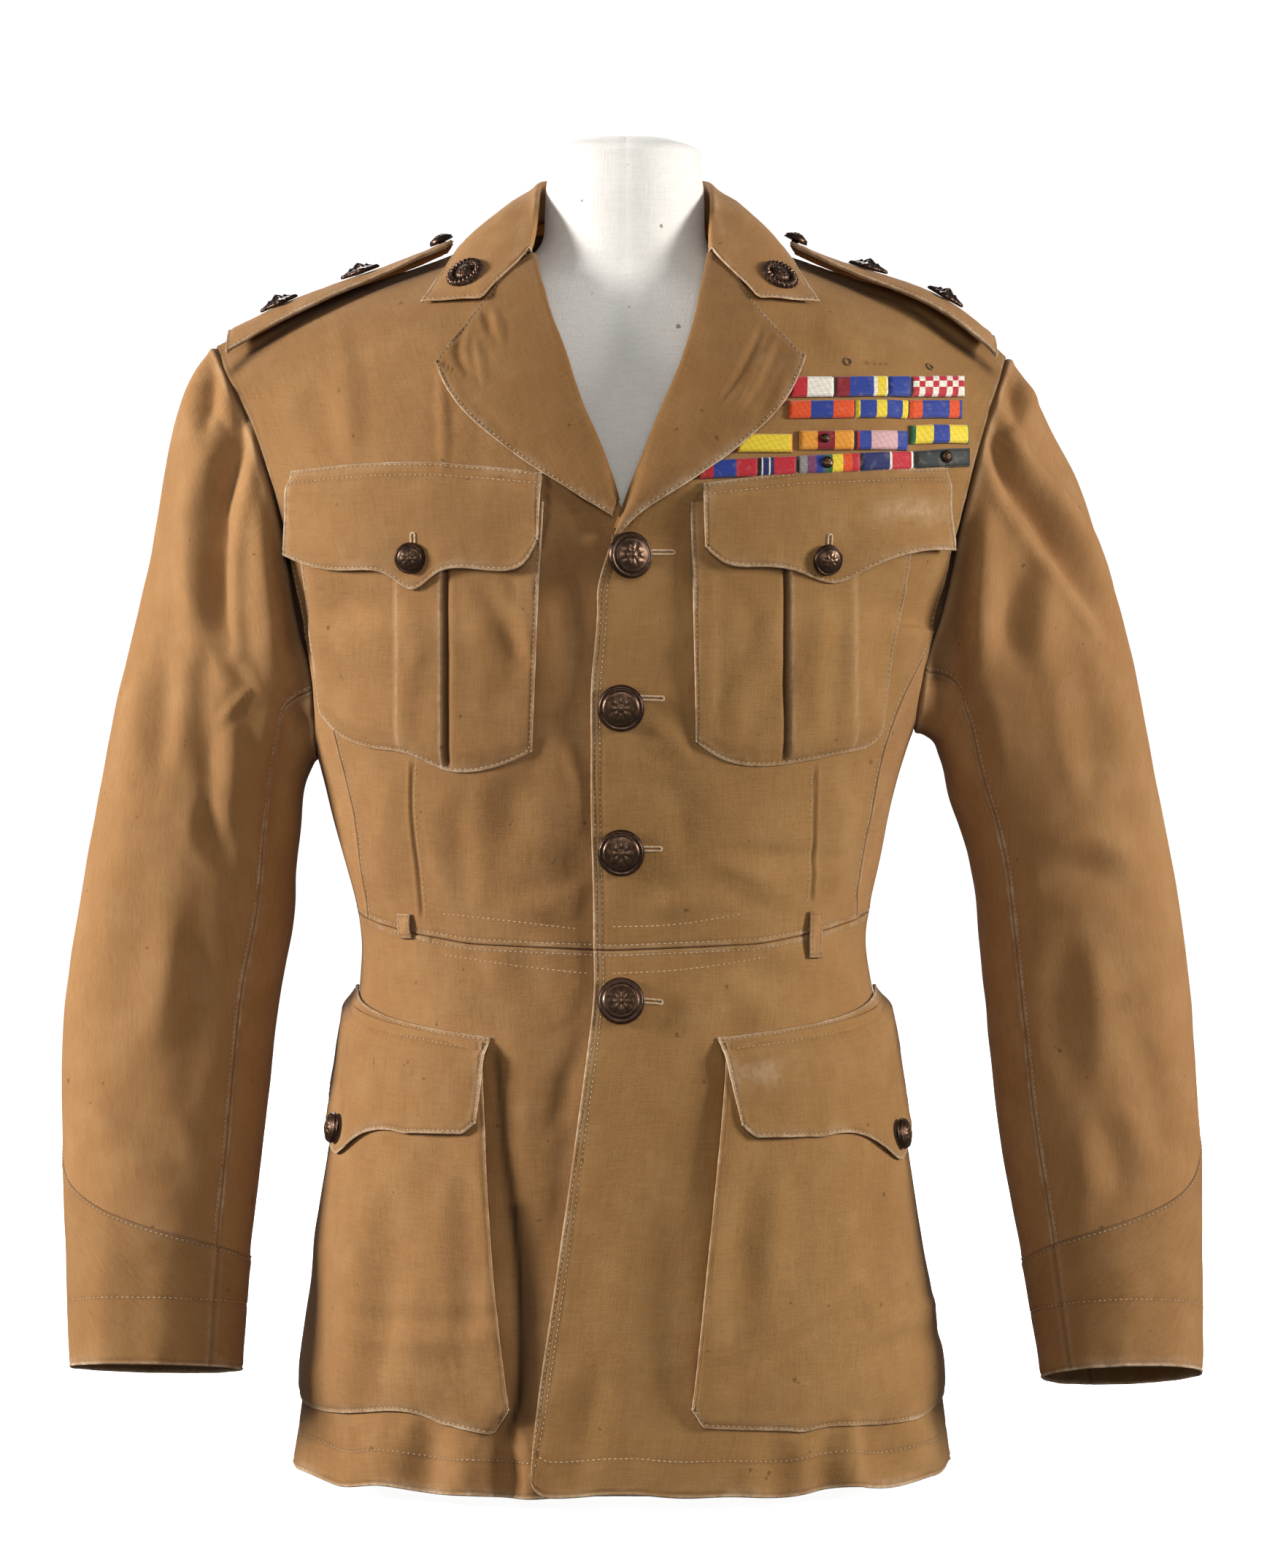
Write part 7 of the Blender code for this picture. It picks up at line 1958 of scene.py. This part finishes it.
def build_metal():
    fronts = ("front_L", "front_R", "skirt_front_L", "skirt_front_R", "lapel_L", "lapel_R")
    for number, (x, z) in enumerate(FRONT_BUTTONS, 1):
        names = fronts[:1] if number < 4 else ("skirt_front_L",)
        p, n = surface_at(names, x + 0.002, z)
        base, _ = FRONT_MAP["L"](np.array(x), np.array(z))
        if p is None:
            p = base
        if n is None:
            n = np.array([0.0, -1.0, 0.0])
        if number == 1:
            n = n + np.array([0.42, 0, 0.06])
            n = n / np.linalg.norm(n)
        lift = 0.0062 if number == 1 else 0.0010
        base = place(x, z, p[1]) + n * (lift + 0.0004)
        raised(f"button_{number}", frame_at(base, n), round_edge(BUTTON_R), button_height(BUTTON_R), 26, 80, base=0.0004, shank=(0.0030, -0.0030 - lift * 0.5))
    for side in "RL":
        sign = -1 if side == "R" else 1
        x, z = CHEST_BUTTONS[side]
        p, n = surface_at(("chest_flap_" + side,), sign * x, z + 0.002)
        p = place(sign * x, z, p[1])
        if side == "R":
            n = n + np.array([0.30, 0, 0.0])
            n = n / np.linalg.norm(n)
        raised("chest_button_" + side, frame_at(p + n * 0.0016, n), round_edge(SMALL_BUTTON_R), button_height(SMALL_BUTTON_R), 20, 64, base=0.0004, shank=(0.0022, -0.0026))
        w, z = SKIRT_BUTTONS[side]
        target = body(sign * w, z)
        sx, sz = seen_of(target)
        p, n = surface_at(("skirt_flap_" + side,), float(sx), float(sz), 0.003)
        if p is None:
            p = target
        normal = normal_of(body, sign * w, z, 0.002)
        away = body(sign * w, z, 0.0102)
        raised("skirt_button_" + side, frame_at(away + normal * 0.0006, normal), round_edge(SMALL_BUTTON_R), button_height(SMALL_BUTTON_R), 20, 64, base=0.0004, shank=(0.0022, -0.0024))
        x = STRAP_BUTTON_X[side]
        n = strap_normal(side, x)
        raised("strap_button_" + side, frame_at(strap_point(side, np.array(x), np.array(0.0)) + n * 0.0010, n), round_edge(0.0072), button_height(0.0072), 18, 56, base=0.0004, shank=(0.0020, -0.0014))
        for k, x in enumerate(STARS[side]):
            n = strap_normal(side, x)

            def outline(a):
                beam = np.abs(np.cos(2 * a)) ** 3
                small = np.abs(np.sin(2 * a)) ** 6
                return 0.0118 * (0.60 + 0.40 * beam + 0.10 * small)

            def height(q, a):
                ridge = 0.0009 * np.abs(np.cos(4 * a)) * (1 - q)
                ring = 0.0006 * np.exp(-(((q - 0.44) / 0.05) ** 2))
                boss = 0.0010 * np.exp(-((q / 0.22) ** 4)) * (0.8 + 0.2 * np.cos(6 * a))
                return 0.0018 + 0.0022 * (1 - q) + 1.5 * ridge + 1.4 * ring + 1.4 * boss - 0.0008 * smooth_step(q, 0.95, 1.0)

            raised(f"star_{side}{k + 1}", frame_at(strap_point(side, np.array(x), np.array(0.0)) + n * 0.0006, n), outline, height, 18, 64, base=0.0)
        x, z = BADGES[side]
        p, n = surface_at(("collar",), sign * x, z, 0.006)

        def wreath(a):
            return BADGE_R * (0.955 + 0.045 * np.abs(np.sin(11 * a)))

        def leaves(q, a):
            band = np.exp(-(((q - 0.76) / 0.17) ** 4))
            leaf = 0.5 + 0.5 * np.cos(22 * a + 10 * np.abs(q - 0.76) * np.sign(np.sin(a)))
            dome = 0.0026 * np.clip(1 - (q / 0.50) ** 2, 0, 1) ** 0.6
            gap = 0.0007 * np.exp(-(((q - 0.54) / 0.04) ** 2))
            return 0.0012 + band * (0.0010 + 0.0011 * leaf) + dome + 0.0006 * rosette(q * 1.9, a, 6) * (q < 0.5) - gap - 0.0008 * smooth_step(q, 0.94, 1.0)

        raised("badge_" + side, frame_at(p + n * 0.0008, n), wreath, leaves, 30, 132, base=0.0)
    for number, (bar, px, py, radius) in enumerate(STUDS, 1):
        p, n = surface_at((f"ribbon_{bar}",), *spot(px, py), 0.0012)
        if p is not None and n is not None:
            raised(f"stud_{number}", frame_at(p + n * 0.0002, n), round_edge(radius), lambda q, a: 0.0006 + 0.0016 * np.sqrt(np.clip(1 - q**2, 0, 1)) + 0.0004 * rosette(q, a, 6), 10, 36, base=0.0, nodes=())
    for number, (x, z) in enumerate(EYELETS, 1):
        p, n = surface_at(("front_L",), x, z)
        loop = tube(circle(frame_at(p + n * 0.0004, n), 0.0020, 24), 0.00055, 8, closed=True)
        linked(f"thread_eyelet_{number}", mesh_of(f"eyelet_{number}", *loop), "thread_dark", f"eyelet_{number}", slot="drill")


def circle(at, radius, n, flat=1.0):
    a = np.linspace(0, math.tau, n, endpoint=False)
    return np.array([at @ Vector((radius * math.cos(k), radius * flat * math.sin(k), 0)) for k in a])


def tube(path, radius, sides=6, closed=False):
    ahead = np.roll(path, -1, 0) - np.roll(path, 1, 0)
    if not closed:
        ahead[0], ahead[-1] = path[1] - path[0], path[-1] - path[-2]
    ahead = ahead / np.linalg.norm(ahead, axis=1, keepdims=True)
    ref = np.array([0.12, -1.0, 0.21])
    one = np.cross(ahead, ref)
    one = one / np.linalg.norm(one, axis=1, keepdims=True)
    two = np.cross(ahead, one)
    a = np.linspace(0, math.tau, sides, endpoint=False)
    radius = np.broadcast_to(radius, len(path))
    points = path[:, None] + radius[:, None, None] * (np.cos(a)[None, :, None] * one[:, None] + np.sin(a)[None, :, None] * two[:, None])
    n = len(path)
    faces = []
    for k in range(n if closed else n - 1):
        for j in range(sides):
            faces.append((k * sides + j, k * sides + (j + 1) % sides, ((k + 1) % n) * sides + (j + 1) % sides, ((k + 1) % n) * sides + j))
    if not closed:
        faces.append(tuple(range(sides))[::-1])
        faces.append(tuple((n - 1) * sides + j for j in range(sides)))
    return points.reshape(-1, 3), faces


def mesh_of(name, points, faces):
    mesh = bpy.data.meshes.new(name)
    mesh.from_pydata(np.asarray(points).tolist(), [], faces)
    mesh.shade_smooth()
    return mesh


# Buttonholes: cloth pieces, then the places of the two ends on the picture
BUTTONHOLES = (
    (("front_L",), (868, 757), (922, 757)),
    (("front_L",), (866, 956), (907, 957)),
    (("front_L",), (866, 1163), (904, 1163)),
    (("skirt_front_L",), (866, 1370), (905, 1373)),
    (("chest_flap_R",), (566, 733), (567, 768)),
    (("chest_flap_L",), (1137, 735), (1135, 770)),
)


def build_buttonholes():
    points, faces = [], []
    count = 0
    for names, start, end in BUTTONHOLES:
        (x0, z0), (x1, z1) = spot(*start), spot(*end)
        length = math.hypot(x1 - x0, z1 - z0)
        ux, uz = (x1 - x0) / length, (z1 - z0) / length
        half = 0.0011
        path = []
        for t in np.linspace(0, length, 16):
            path.append((x0 + ux * t - uz * half, z0 + uz * t + ux * half))
        for a in np.linspace(0, math.pi, 7)[1:-1]:
            path.append((x1 - uz * half * math.cos(a) + ux * half * math.sin(a), z1 + ux * half * math.cos(a) + uz * half * math.sin(a)))
        for t in np.linspace(length, 0, 16):
            path.append((x0 + ux * t + uz * half, z0 + uz * t - ux * half))
        for a in np.linspace(0, math.pi, 7)[1:-1]:
            path.append((x0 + uz * half * math.cos(a) - ux * half * math.sin(a), z0 - ux * half * math.cos(a) - uz * half * math.sin(a)))
        line = [look_at(names, x, z) for x, z in path]
        line = np.array([p for p in line if p is not None])
        if len(line) < 20:
            continue
        line[:, 1] -= 0.0002
        fine = line_through(np.concatenate([line, line[:1]]), 90, smooth=False)[:-1]
        radius = 0.00062 + 0.00010 * np.sin(np.arange(len(fine)) * 2.4)
        pts, fcs = tube(fine, radius, 6, closed=True)
        points.append(pts)
        faces += [tuple(i + count for i in f) for f in fcs]
        count += len(pts)
    linked("buttonholes", mesh_of("buttonholes", np.concatenate(points), faces), "thread", slot="drill")


# Rows of stitches inside a piece: cloth pieces, then places on the picture
SEWN_LINES = (
    (("front_R",), (606, 1252), (700, 1262), (791, 1273)),
    (("front_L",), (838, 1270), (930, 1266), (1014, 1252)),
    (("skirt_front_R",), (609, 1308), (700, 1322), (807, 1334)),
    (("skirt_front_L",), (838, 1334), (940, 1328), (1050, 1311)),
    (("front_R",), (571, 1042), (569, 1105), (578, 1193), (584, 1258)),
    (("front_L",), (1111, 1048), (1110, 1150), (1106, 1246)),
)


def sewn_lines():
    for names, *places in SEWN_LINES:
        line = line_through([spot(*place) for place in places], 60)
        found = [surface_at(names, x, z, 0.002) for x, z in line]
        found = [(p, n) for p, n in found if n is not None]
        if len(found) > 3:
            STITCHES.append((np.array([p for p, _ in found]), np.array([n for _, n in found]), 0.0030))


def build_stitches():
    sewn_lines()
    points, faces = [], []
    count = 0
    unit = np.array([(-1, 0, 0), (1, 0, 0), (0, -1, 0), (0, 1, 0), (0, 0, 1), (0, 0, -1)], float)
    tris = np.array([(0, 2, 4), (2, 1, 4), (1, 3, 4), (3, 0, 4), (2, 0, 5), (1, 2, 5), (3, 1, 5), (0, 3, 5)])
    for path, ups, pitch in STITCHES:
        if len(path) < 3:
            continue
        run = np.concatenate([[0], np.cumsum(np.linalg.norm(np.diff(path, axis=0), axis=1))])
        n = int(run[-1] / pitch)
        if n < 2:
            continue
        at = np.linspace(pitch / 2, run[-1] - pitch / 2, n)
        mid = np.stack([np.interp(at, run, path[:, k]) for k in range(3)], -1)
        up = np.stack([np.interp(at, run, ups[:, k]) for k in range(3)], -1)
        ahead = np.stack([np.interp(at + 0.0008, run, path[:, k]) - np.interp(at - 0.0008, run, path[:, k]) for k in range(3)], -1)
        ahead = ahead / np.linalg.norm(ahead, axis=1, keepdims=True).clip(1e-9)
        up = up / np.linalg.norm(up, axis=1, keepdims=True).clip(1e-9)
        over = np.cross(up, ahead)
        size = np.array([0.00105, 0.00030, 0.00026])
        local = unit * size
        block = mid[:, None] + local[None, :, :1] * ahead[:, None] + local[None, :, 1:2] * over[:, None] + (local[None, :, 2:] + 0.00004) * up[:, None]
        points.append(block.reshape(-1, 3))
        faces.append((tris[None] + (np.arange(n) * 6)[:, None, None] + count).reshape(-1, 3))
        count += n * 6
    mesh = bpy.data.meshes.new("stitches")
    mesh.from_pydata(np.concatenate(points).tolist(), [], np.concatenate(faces).tolist())
    mesh.shade_smooth()
    linked("stitches", mesh, "thread", slot="drill")


def build_form():
    heights = np.concatenate([np.linspace(0, 0.66, 34), np.linspace(0.664, 0.745, 42), np.linspace(0.747, 0.767, 16)])
    table = np.array(FORM)
    shape = np.stack([np.interp(heights, table[:, 0], table[:, k]) for k in (1, 2, 3)], -1)
    soft = spline(table[:, 0], table[:, 1:], heights)
    shape = np.where((heights > 0.02)[:, None], soft, shape)
    angle = np.linspace(0, math.tau, 121)[:-1]
    rows = []
    for z, (half, front, back) in zip(heights, shape):
        s, c = np.sin(angle), np.cos(angle)
        full = 2.0 + 0.25 * float(np.clip((0.66 - z) / 0.1, 0, 1))
        x = NECK_SHIFT * float(np.clip((z - 0.680) / 0.030, 0, 1)) + half * np.sign(s) * np.abs(s) ** (2 / full)
        y = 0.003 - np.where(c > 0, front, back) * np.sign(c) * np.abs(c) ** (2 / full)
        rows.append(np.stack([x, y, np.full_like(x, z)], axis=-1))
    cap = rows[-1]
    for k, h in ((0.93, 0.0006), (0.80, 0.0012), (0.55, 0.0016), (0.25, 0.0018)):
        middle = cap.mean(axis=0)
        rows.append(middle + (cap - middle) * k + np.array([0, 0, h]))
    grid = np.array(rows)
    normals = normals_of(grid, loop=True)
    normals = normals * np.sign((normals * from_middle(grid)).sum(-1, keepdims=True) + 1e-9)
    normals[heights.size:] = (0, 0, 1)
    seam = np.zeros(grid.shape[:2])
    for at in (0.0, math.pi, 0.5 * math.pi, 1.5 * math.pi):
        d = np.abs((angle - at + math.pi) % math.tau - math.pi) * 0.046
        seam += np.exp(-((d / 0.0012) ** 2))[None]
    ring_seam = np.exp(-(((np.append(heights, [1, 1, 1, 1]) - 0.7610) / 0.0012) ** 2))[:, None]
    bump = 0.0004 * lumps(grid, 0.035, 2.0)
    grid = grid + normals * (bump - 0.0005 * seam - 0.0006 * ring_seam)[..., None]
    n = grid.shape[1]
    faces = [(r * n + c, r * n + (c + 1) % n, (r + 1) * n + (c + 1) % n, (r + 1) * n + c) for r in range(len(grid) - 1) for c in range(n)]
    faces.append(tuple(range(n))[::-1])
    faces.append(tuple((len(grid) - 1) * n + c for c in range(n)))
    linked("linen_form", mesh_of("linen_form", grid.reshape(-1, 3), faces), "linen", "dress_form", slot="linen")


# ---------------------------------------------------------------- finishes
class Finish:
    """A node material, built up step by step."""

    def __init__(self, name, rough, metal=0.0, sheen=0.0, specular=0.35):
        self.material = bpy.data.materials.new(name)
        self.material.use_nodes = True
        self.nodes, self.links = self.material.node_tree.nodes, self.material.node_tree.links
        self.shader = self.nodes["Principled BSDF"]
        self.shader.inputs["Roughness"].default_value = rough
        self.shader.inputs["Metallic"].default_value = metal
        self.shader.inputs["Sheen Weight"].default_value = sheen
        self.shader.inputs["Sheen Roughness"].default_value = 0.45
        self.shader.inputs["Specular IOR Level"].default_value = specular
        self.where = self.nodes.new("ShaderNodeTexCoord").outputs["Object"]
        MATERIALS[name] = self.material

    def noise(self, scale, detail=3.0, rough=0.55, at=None, stretch=None):
        made = self.nodes.new("ShaderNodeTexNoise")
        made.inputs["Scale"].default_value = scale
        made.inputs["Detail"].default_value = detail
        made.inputs["Roughness"].default_value = rough
        source = at or self.where
        if stretch:
            turn = self.nodes.new("ShaderNodeMapping")
            turn.inputs["Scale"].default_value = stretch
            self.links.new(source, turn.inputs["Vector"])
            source = turn.outputs["Vector"]
        self.links.new(source, made.inputs["Vector"])
        return made.outputs["Fac"]

    def ramp(self, value, low, high, to_low=0.0, to_high=1.0):
        made = self.nodes.new("ShaderNodeMapRange")
        made.inputs["From Min"].default_value, made.inputs["From Max"].default_value = low, high
        made.inputs["To Min"].default_value, made.inputs["To Max"].default_value = to_low, to_high
        self.links.new(value, made.inputs["Value"])
        return made.outputs["Result"]

    def math(self, kind, a, b):
        made = self.nodes.new("ShaderNodeMath")
        made.operation = kind
        for socket, value in zip(made.inputs, (a, b)):
            if isinstance(value, (int, float)):
                socket.default_value = value
            else:
                self.links.new(value, socket)
        return made.outputs["Value"]

    def mix(self, factor, a, b, blend="MIX"):
        made = self.nodes.new("ShaderNodeMix")
        made.data_type = "RGBA"
        made.blend_type = blend
        made.clamp_factor = True
        for socket, value in ((made.inputs["Factor"], factor), (made.inputs[6], a), (made.inputs[7], b)):
            if isinstance(value, (int, float)):
                socket.default_value = value
            elif isinstance(value, tuple):
                socket.default_value = (*value, 1)
            else:
                self.links.new(value, socket)
        return made.outputs[2]

    def value(self, name, kind="Fac"):
        made = self.nodes.new("ShaderNodeAttribute")
        made.attribute_name = name
        return made.outputs[kind]

    def wave(self, scale, angle, source=None, warp=0.6):
        turn = self.nodes.new("ShaderNodeMapping")
        turn.inputs["Rotation"].default_value = (0, 0, math.radians(angle))
        self.links.new(source or self.uv(), turn.inputs["Vector"])
        made = self.nodes.new("ShaderNodeTexWave")
        made.inputs["Scale"].default_value = scale
        made.inputs["Distortion"].default_value = warp
        made.inputs["Detail"].default_value = 1.0
        made.inputs["Detail Scale"].default_value = 1.5
        self.links.new(turn.outputs["Vector"], made.inputs["Vector"])
        return made.outputs["Fac"]

    def uv(self):
        made = self.nodes.new("ShaderNodeUVMap")
        made.uv_map = "cloth"
        return made.outputs["UV"]

    def bump(self, height, distance, strength=1.0, after=None):
        made = self.nodes.new("ShaderNodeBump")
        made.inputs["Strength"].default_value = strength
        made.inputs["Distance"].default_value = distance
        self.links.new(height, made.inputs["Height"])
        if after:
            self.links.new(after, made.inputs["Normal"])
        return made.outputs["Normal"]

    def done(self, colour, rough=None, normal=None):
        self.links.new(colour, self.shader.inputs["Base Color"])
        if rough:
            self.links.new(rough, self.shader.inputs["Roughness"])
        if normal:
            self.links.new(normal, self.shader.inputs["Normal"])
        return self.material


MATERIALS = {}


def drill(name, mid, deep, pale):
    f = Finish(name, 0.9, sheen=0.06, specular=0.15)
    broad, patchy = f.noise(7.0, 4.0), f.noise(34.0, 5.0, 0.62)
    fine, grain = f.noise(260.0, 3.0, 0.6), f.noise(1500.0, 2.0, 0.6)
    colour = f.mix(f.ramp(broad, 0.30, 0.70, 0.25, 1.0), deep, mid)
    colour = f.mix(f.ramp(patchy, 0.46, 0.74, 0.0, 0.38), colour, pale)
    colour = f.mix(f.ramp(patchy, 0.44, 0.26, 0.0, 0.20), colour, deep)
    twill = f.wave(430.0, 62.0)
    warp = f.noise(1150.0, 2.0, 0.5, at=f.uv(), stretch=(1.0, 0.045, 1.0))
    weft = f.noise(1000.0, 2.0, 0.5, at=f.uv(), stretch=(0.06, 1.0, 1.0))
    slub = f.math("ADD", f.math("MULTIPLY", warp, 0.55), f.math("MULTIPLY", weft, 0.45))
    colour = f.mix(f.ramp(slub, 0.50, 0.62, 0.0, 0.27), colour, tuple(1.30 * v for v in mid))
    colour = f.mix(f.ramp(slub, 0.49, 0.38, 0.0, 0.27), colour, tuple(0.70 * v for v in deep))
    colour = f.mix(f.math("MULTIPLY", f.ramp(grain, 0.36, 0.64), 0.30), colour, tuple(1.22 * v for v in mid))
    colour = f.mix(f.math("MULTIPLY", twill, 0.16), colour, tuple(0.62 * v for v in mid))
    stain = f.noise(13.0, 5.0, 0.7)
    colour = f.mix(f.ramp(stain, 0.64, 0.74, 0.0, 0.30), colour, tuple(0.55 * v for v in deep))
    speck = f.noise(120.0, 2.0, 0.5)
    colour = f.mix(f.ramp(speck, 0.735, 0.76, 0.0, 0.55), colour, tuple(0.38 * v for v in deep))
    wear = f.math("MULTIPLY", f.value("wear"), f.ramp(fine, 0.36, 0.62, 0.45, 1.15))
    colour = f.mix(f.math("MULTIPLY", wear, 0.62), colour, (0.70, 0.53, 0.36))
    # painted shade from the mesh's shade values, in grooves, slits, gussets and close gaps
    colour = f.mix(f.math("MULTIPLY", f.value("painted_shade"), 0.72), colour, (0.055, 0.026, 0.011))
    rough = f.ramp(patchy, 0.3, 0.7, 0.82, 0.95)
    normal = f.bump(twill, 0.00010, 0.55)
    normal = f.bump(slub, 0.00025, 0.35, normal)
    normal = f.bump(grain, 0.00022, 0.50, normal)
    normal = f.bump(fine, 0.00045, 0.45, normal)
    normal = f.bump(f.noise(95.0, 3.0, 0.55), 0.0009, 0.35, normal)
    return f.done(colour, rough, normal)


def make_finishes():
    drill("drill", (0.375, 0.194, 0.075), (0.285, 0.136, 0.047), (0.530, 0.320, 0.156))
    # The copies below are darker versions of the same drill, for the fronts, skirt fronts, pockets, flaps and cuffs,
    # and darkest for the lapels: painted shade standing in for less light on those pieces
    drill("drill_R", (0.325, 0.167, 0.063), (0.247, 0.117, 0.039), (0.465, 0.280, 0.133))
    drill("drill_L", (0.340, 0.179, 0.064), (0.260, 0.128, 0.040), (0.470, 0.290, 0.130))
    drill("drill_shaded", (0.268, 0.135, 0.048), (0.204, 0.096, 0.030), (0.400, 0.238, 0.108))
    f = Finish("linen", 0.88, sheen=0.2, specular=0.25)
    weave = f.math("MULTIPLY", f.noise(900.0, 1.0, 0.5, stretch=(1.0, 1.0, 0.12)), f.noise(900.0, 1.0, 0.5, stretch=(0.12, 0.12, 1.0)))
    colour = f.mix(f.ramp(f.noise(16.0, 4.0), 0.3, 0.7), (0.900, 0.865, 0.805), (0.945, 0.920, 0.875))
    colour = f.mix(f.ramp(weave, 0.18, 0.34, 0.0, 0.22), colour, (0.74, 0.70, 0.63))
    colour = f.mix(f.ramp(f.noise(150.0, 2.0, 0.5), 0.75, 0.77, 0.0, 0.8), colour, (0.22, 0.16, 0.12))
    f.done(colour, f.ramp(f.noise(60.0), 0.3, 0.7, 0.82, 0.94), f.bump(weave, 0.0006, 0.6))
    f = Finish("bronze", 0.32, metal=0.82, specular=0.5)
    worn = f.math("MULTIPLY", f.math("POWER", f.value("wear"), 2.2), f.ramp(f.noise(420.0, 3.0), 0.35, 0.65, 0.35, 1.1))
    colour = f.mix(f.ramp(f.noise(330.0, 4.0), 0.35, 0.68), (0.034, 0.017, 0.012), (0.075, 0.040, 0.026))
    colour = f.mix(f.math("MULTIPLY", worn, 0.55), colour, (0.230, 0.135, 0.072))
    colour = f.mix(f.ramp(f.noise(90.0, 3.0), 0.62, 0.75, 0.0, 0.4), colour, (0.11, 0.075, 0.050))
    f.done(colour, f.ramp(f.noise(500.0, 3.0), 0.3, 0.7, 0.24, 0.46), f.bump(f.noise(1300.0, 2.0), 0.00006, 0.5))
    f = Finish("ribbon", 0.62, sheen=0.25, specular=0.3)
    ribs = f.wave(300.0, 90.0, warp=0.15)
    colour = f.mix(f.math("MULTIPLY", ribs, 0.22), f.value("dye_and_shade", "Color"), (0.02, 0.012, 0.010))
    colour = f.mix(f.ramp(f.noise(210.0, 3.0), 0.55, 0.78, 0.0, 0.22), colour, (0.50, 0.38, 0.27))
    colour = f.mix(f.math("MULTIPLY", f.value("wear"), 0.18), colour, (0.50, 0.38, 0.27))
    f.done(colour, f.ramp(f.noise(80.0), 0.3, 0.7, 0.5, 0.75), f.bump(ribs, 0.00012, 0.6))
    f = Finish("thread", 0.85, sheen=0.2, specular=0.2)
    colour = f.mix(f.ramp(f.noise(600.0), 0.35, 0.65), (0.520, 0.345, 0.195), (0.700, 0.530, 0.355))
    f.done(colour, f.ramp(f.noise(700.0), 0.3, 0.7, 0.75, 0.95), f.bump(f.noise(2600.0), 0.00008, 0.6))
    f = Finish("thread_dark", 0.85, sheen=0.1, specular=0.2)
    colour = f.mix(f.ramp(f.noise(600.0), 0.35, 0.65), (0.150, 0.085, 0.045), (0.260, 0.160, 0.085))
    f.done(colour, f.ramp(f.noise(700.0), 0.3, 0.7, 0.75, 0.95), f.bump(f.noise(2600.0), 0.00008, 0.6))


# ---------------------------------------------------------------- camera, light, floor
def build_stage():
    scene = bpy.context.scene
    camera = bpy.data.cameras.new("camera")
    camera.sensor_width, camera.sensor_fit, camera.lens = 36, "AUTO", 119.76
    camera.clip_end = 60
    seat = bpy.data.objects.new("camera", camera)
    seat.location = (VIEW_X, -VIEW_DISTANCE, VIEW_Z)
    seat.rotation_euler = (Vector((VIEW_X, 0, 0.398)) - Vector(seat.location)).to_track_quat("-Z", "Y").to_euler()
    scene.collection.objects.link(seat)
    scene.camera = seat
    scene.view_settings.view_transform = "Standard"
    scene.view_settings.look = "None"
    scene.view_settings.exposure = 0.0
    for name, kind, place_at, size, watts, colour in (
        ("key", "AREA", (-3.1, -0.62, 1.15), 0.75, 150, (1.0, 0.985, 0.96)),
        ("second", "AREA", (3.1, -0.80, 1.10), 0.90, 104, (1.0, 0.985, 0.96)),
        ("front", "AREA", (0.1, -3.6, 1.4), 1.3, 34, (1.0, 0.99, 0.97)),
        ("back", "AREA", (-0.3, 2.6, 1.9), 1.6, 46, (1.0, 1.0, 1.0)),
    ):
        lamp = bpy.data.lights.new(name, kind)
        lamp.size, lamp.energy, lamp.color = size, watts, colour
        seat = bpy.data.objects.new(name, lamp)
        seat.location = place_at
        seat.rotation_euler = (Vector((0, 0, 0.42)) - Vector(place_at)).to_track_quat("-Z", "Y").to_euler()
        scene.collection.objects.link(seat)
    world = bpy.data.worlds.new("studio")
    world.use_nodes = True
    world.node_tree.nodes["Background"].inputs["Color"].default_value = (1, 1, 1, 1)
    world.node_tree.nodes["Background"].inputs["Strength"].default_value = 0.15
    scene.world = world
    # pale round floor that curves up into a pale dome, seen by the camera only
    profile = [(0.001, 0), (4, 0), (8, 0)] + [(8 + 5 * math.sin(a), 5 - 5 * math.cos(a)) for a in np.linspace(0.1, math.pi / 2, 10)]
    profile += [(13 * math.cos(a), 5 + 13 * math.sin(a)) for a in np.linspace(0.1, math.pi / 2 - 0.02, 12)]
    turn = np.linspace(0, math.tau, 65)[:-1]
    points = [(r * math.cos(a), r * math.sin(a), z - 0.0006) for r, z in profile for a in turn]
    faces = [(64 * k + j, 64 * k + (j + 1) % 64, 64 * (k + 1) + (j + 1) % 64, 64 * (k + 1) + j) for k in range(len(profile) - 1) for j in range(64)]
    floor = bpy.data.objects.new("floor", mesh_of("floor", points, faces))
    scene.collection.objects.link(floor)
    pale = bpy.data.materials.new("pale")
    pale.use_nodes = True
    shader = pale.node_tree.nodes["Principled BSDF"]
    shader.inputs["Base Color"].default_value = (0.90, 0.90, 0.90, 1)
    shader.inputs["Roughness"].default_value = 0.9
    shader.inputs["Emission Color"].default_value = (1, 1, 1, 1)
    shader.inputs["Emission Strength"].default_value = 0.93
    floor.data.materials.append(pale)
    floor.visible_diffuse = floor.visible_glossy = floor.visible_shadow = False


make_finishes()
build_stage()
build_form()
build_body()
build_sleeves()
build_lapels()
build_collar()
build_pockets()
build_straps()
build_loops()
build_ribbons()
build_metal()
build_buttonholes()
build_stitches()

print("flat sizes, metres:", [(name, round(w, 3), round(l, 3), round(a, 4)) for name, w, l, a in SHEETS])
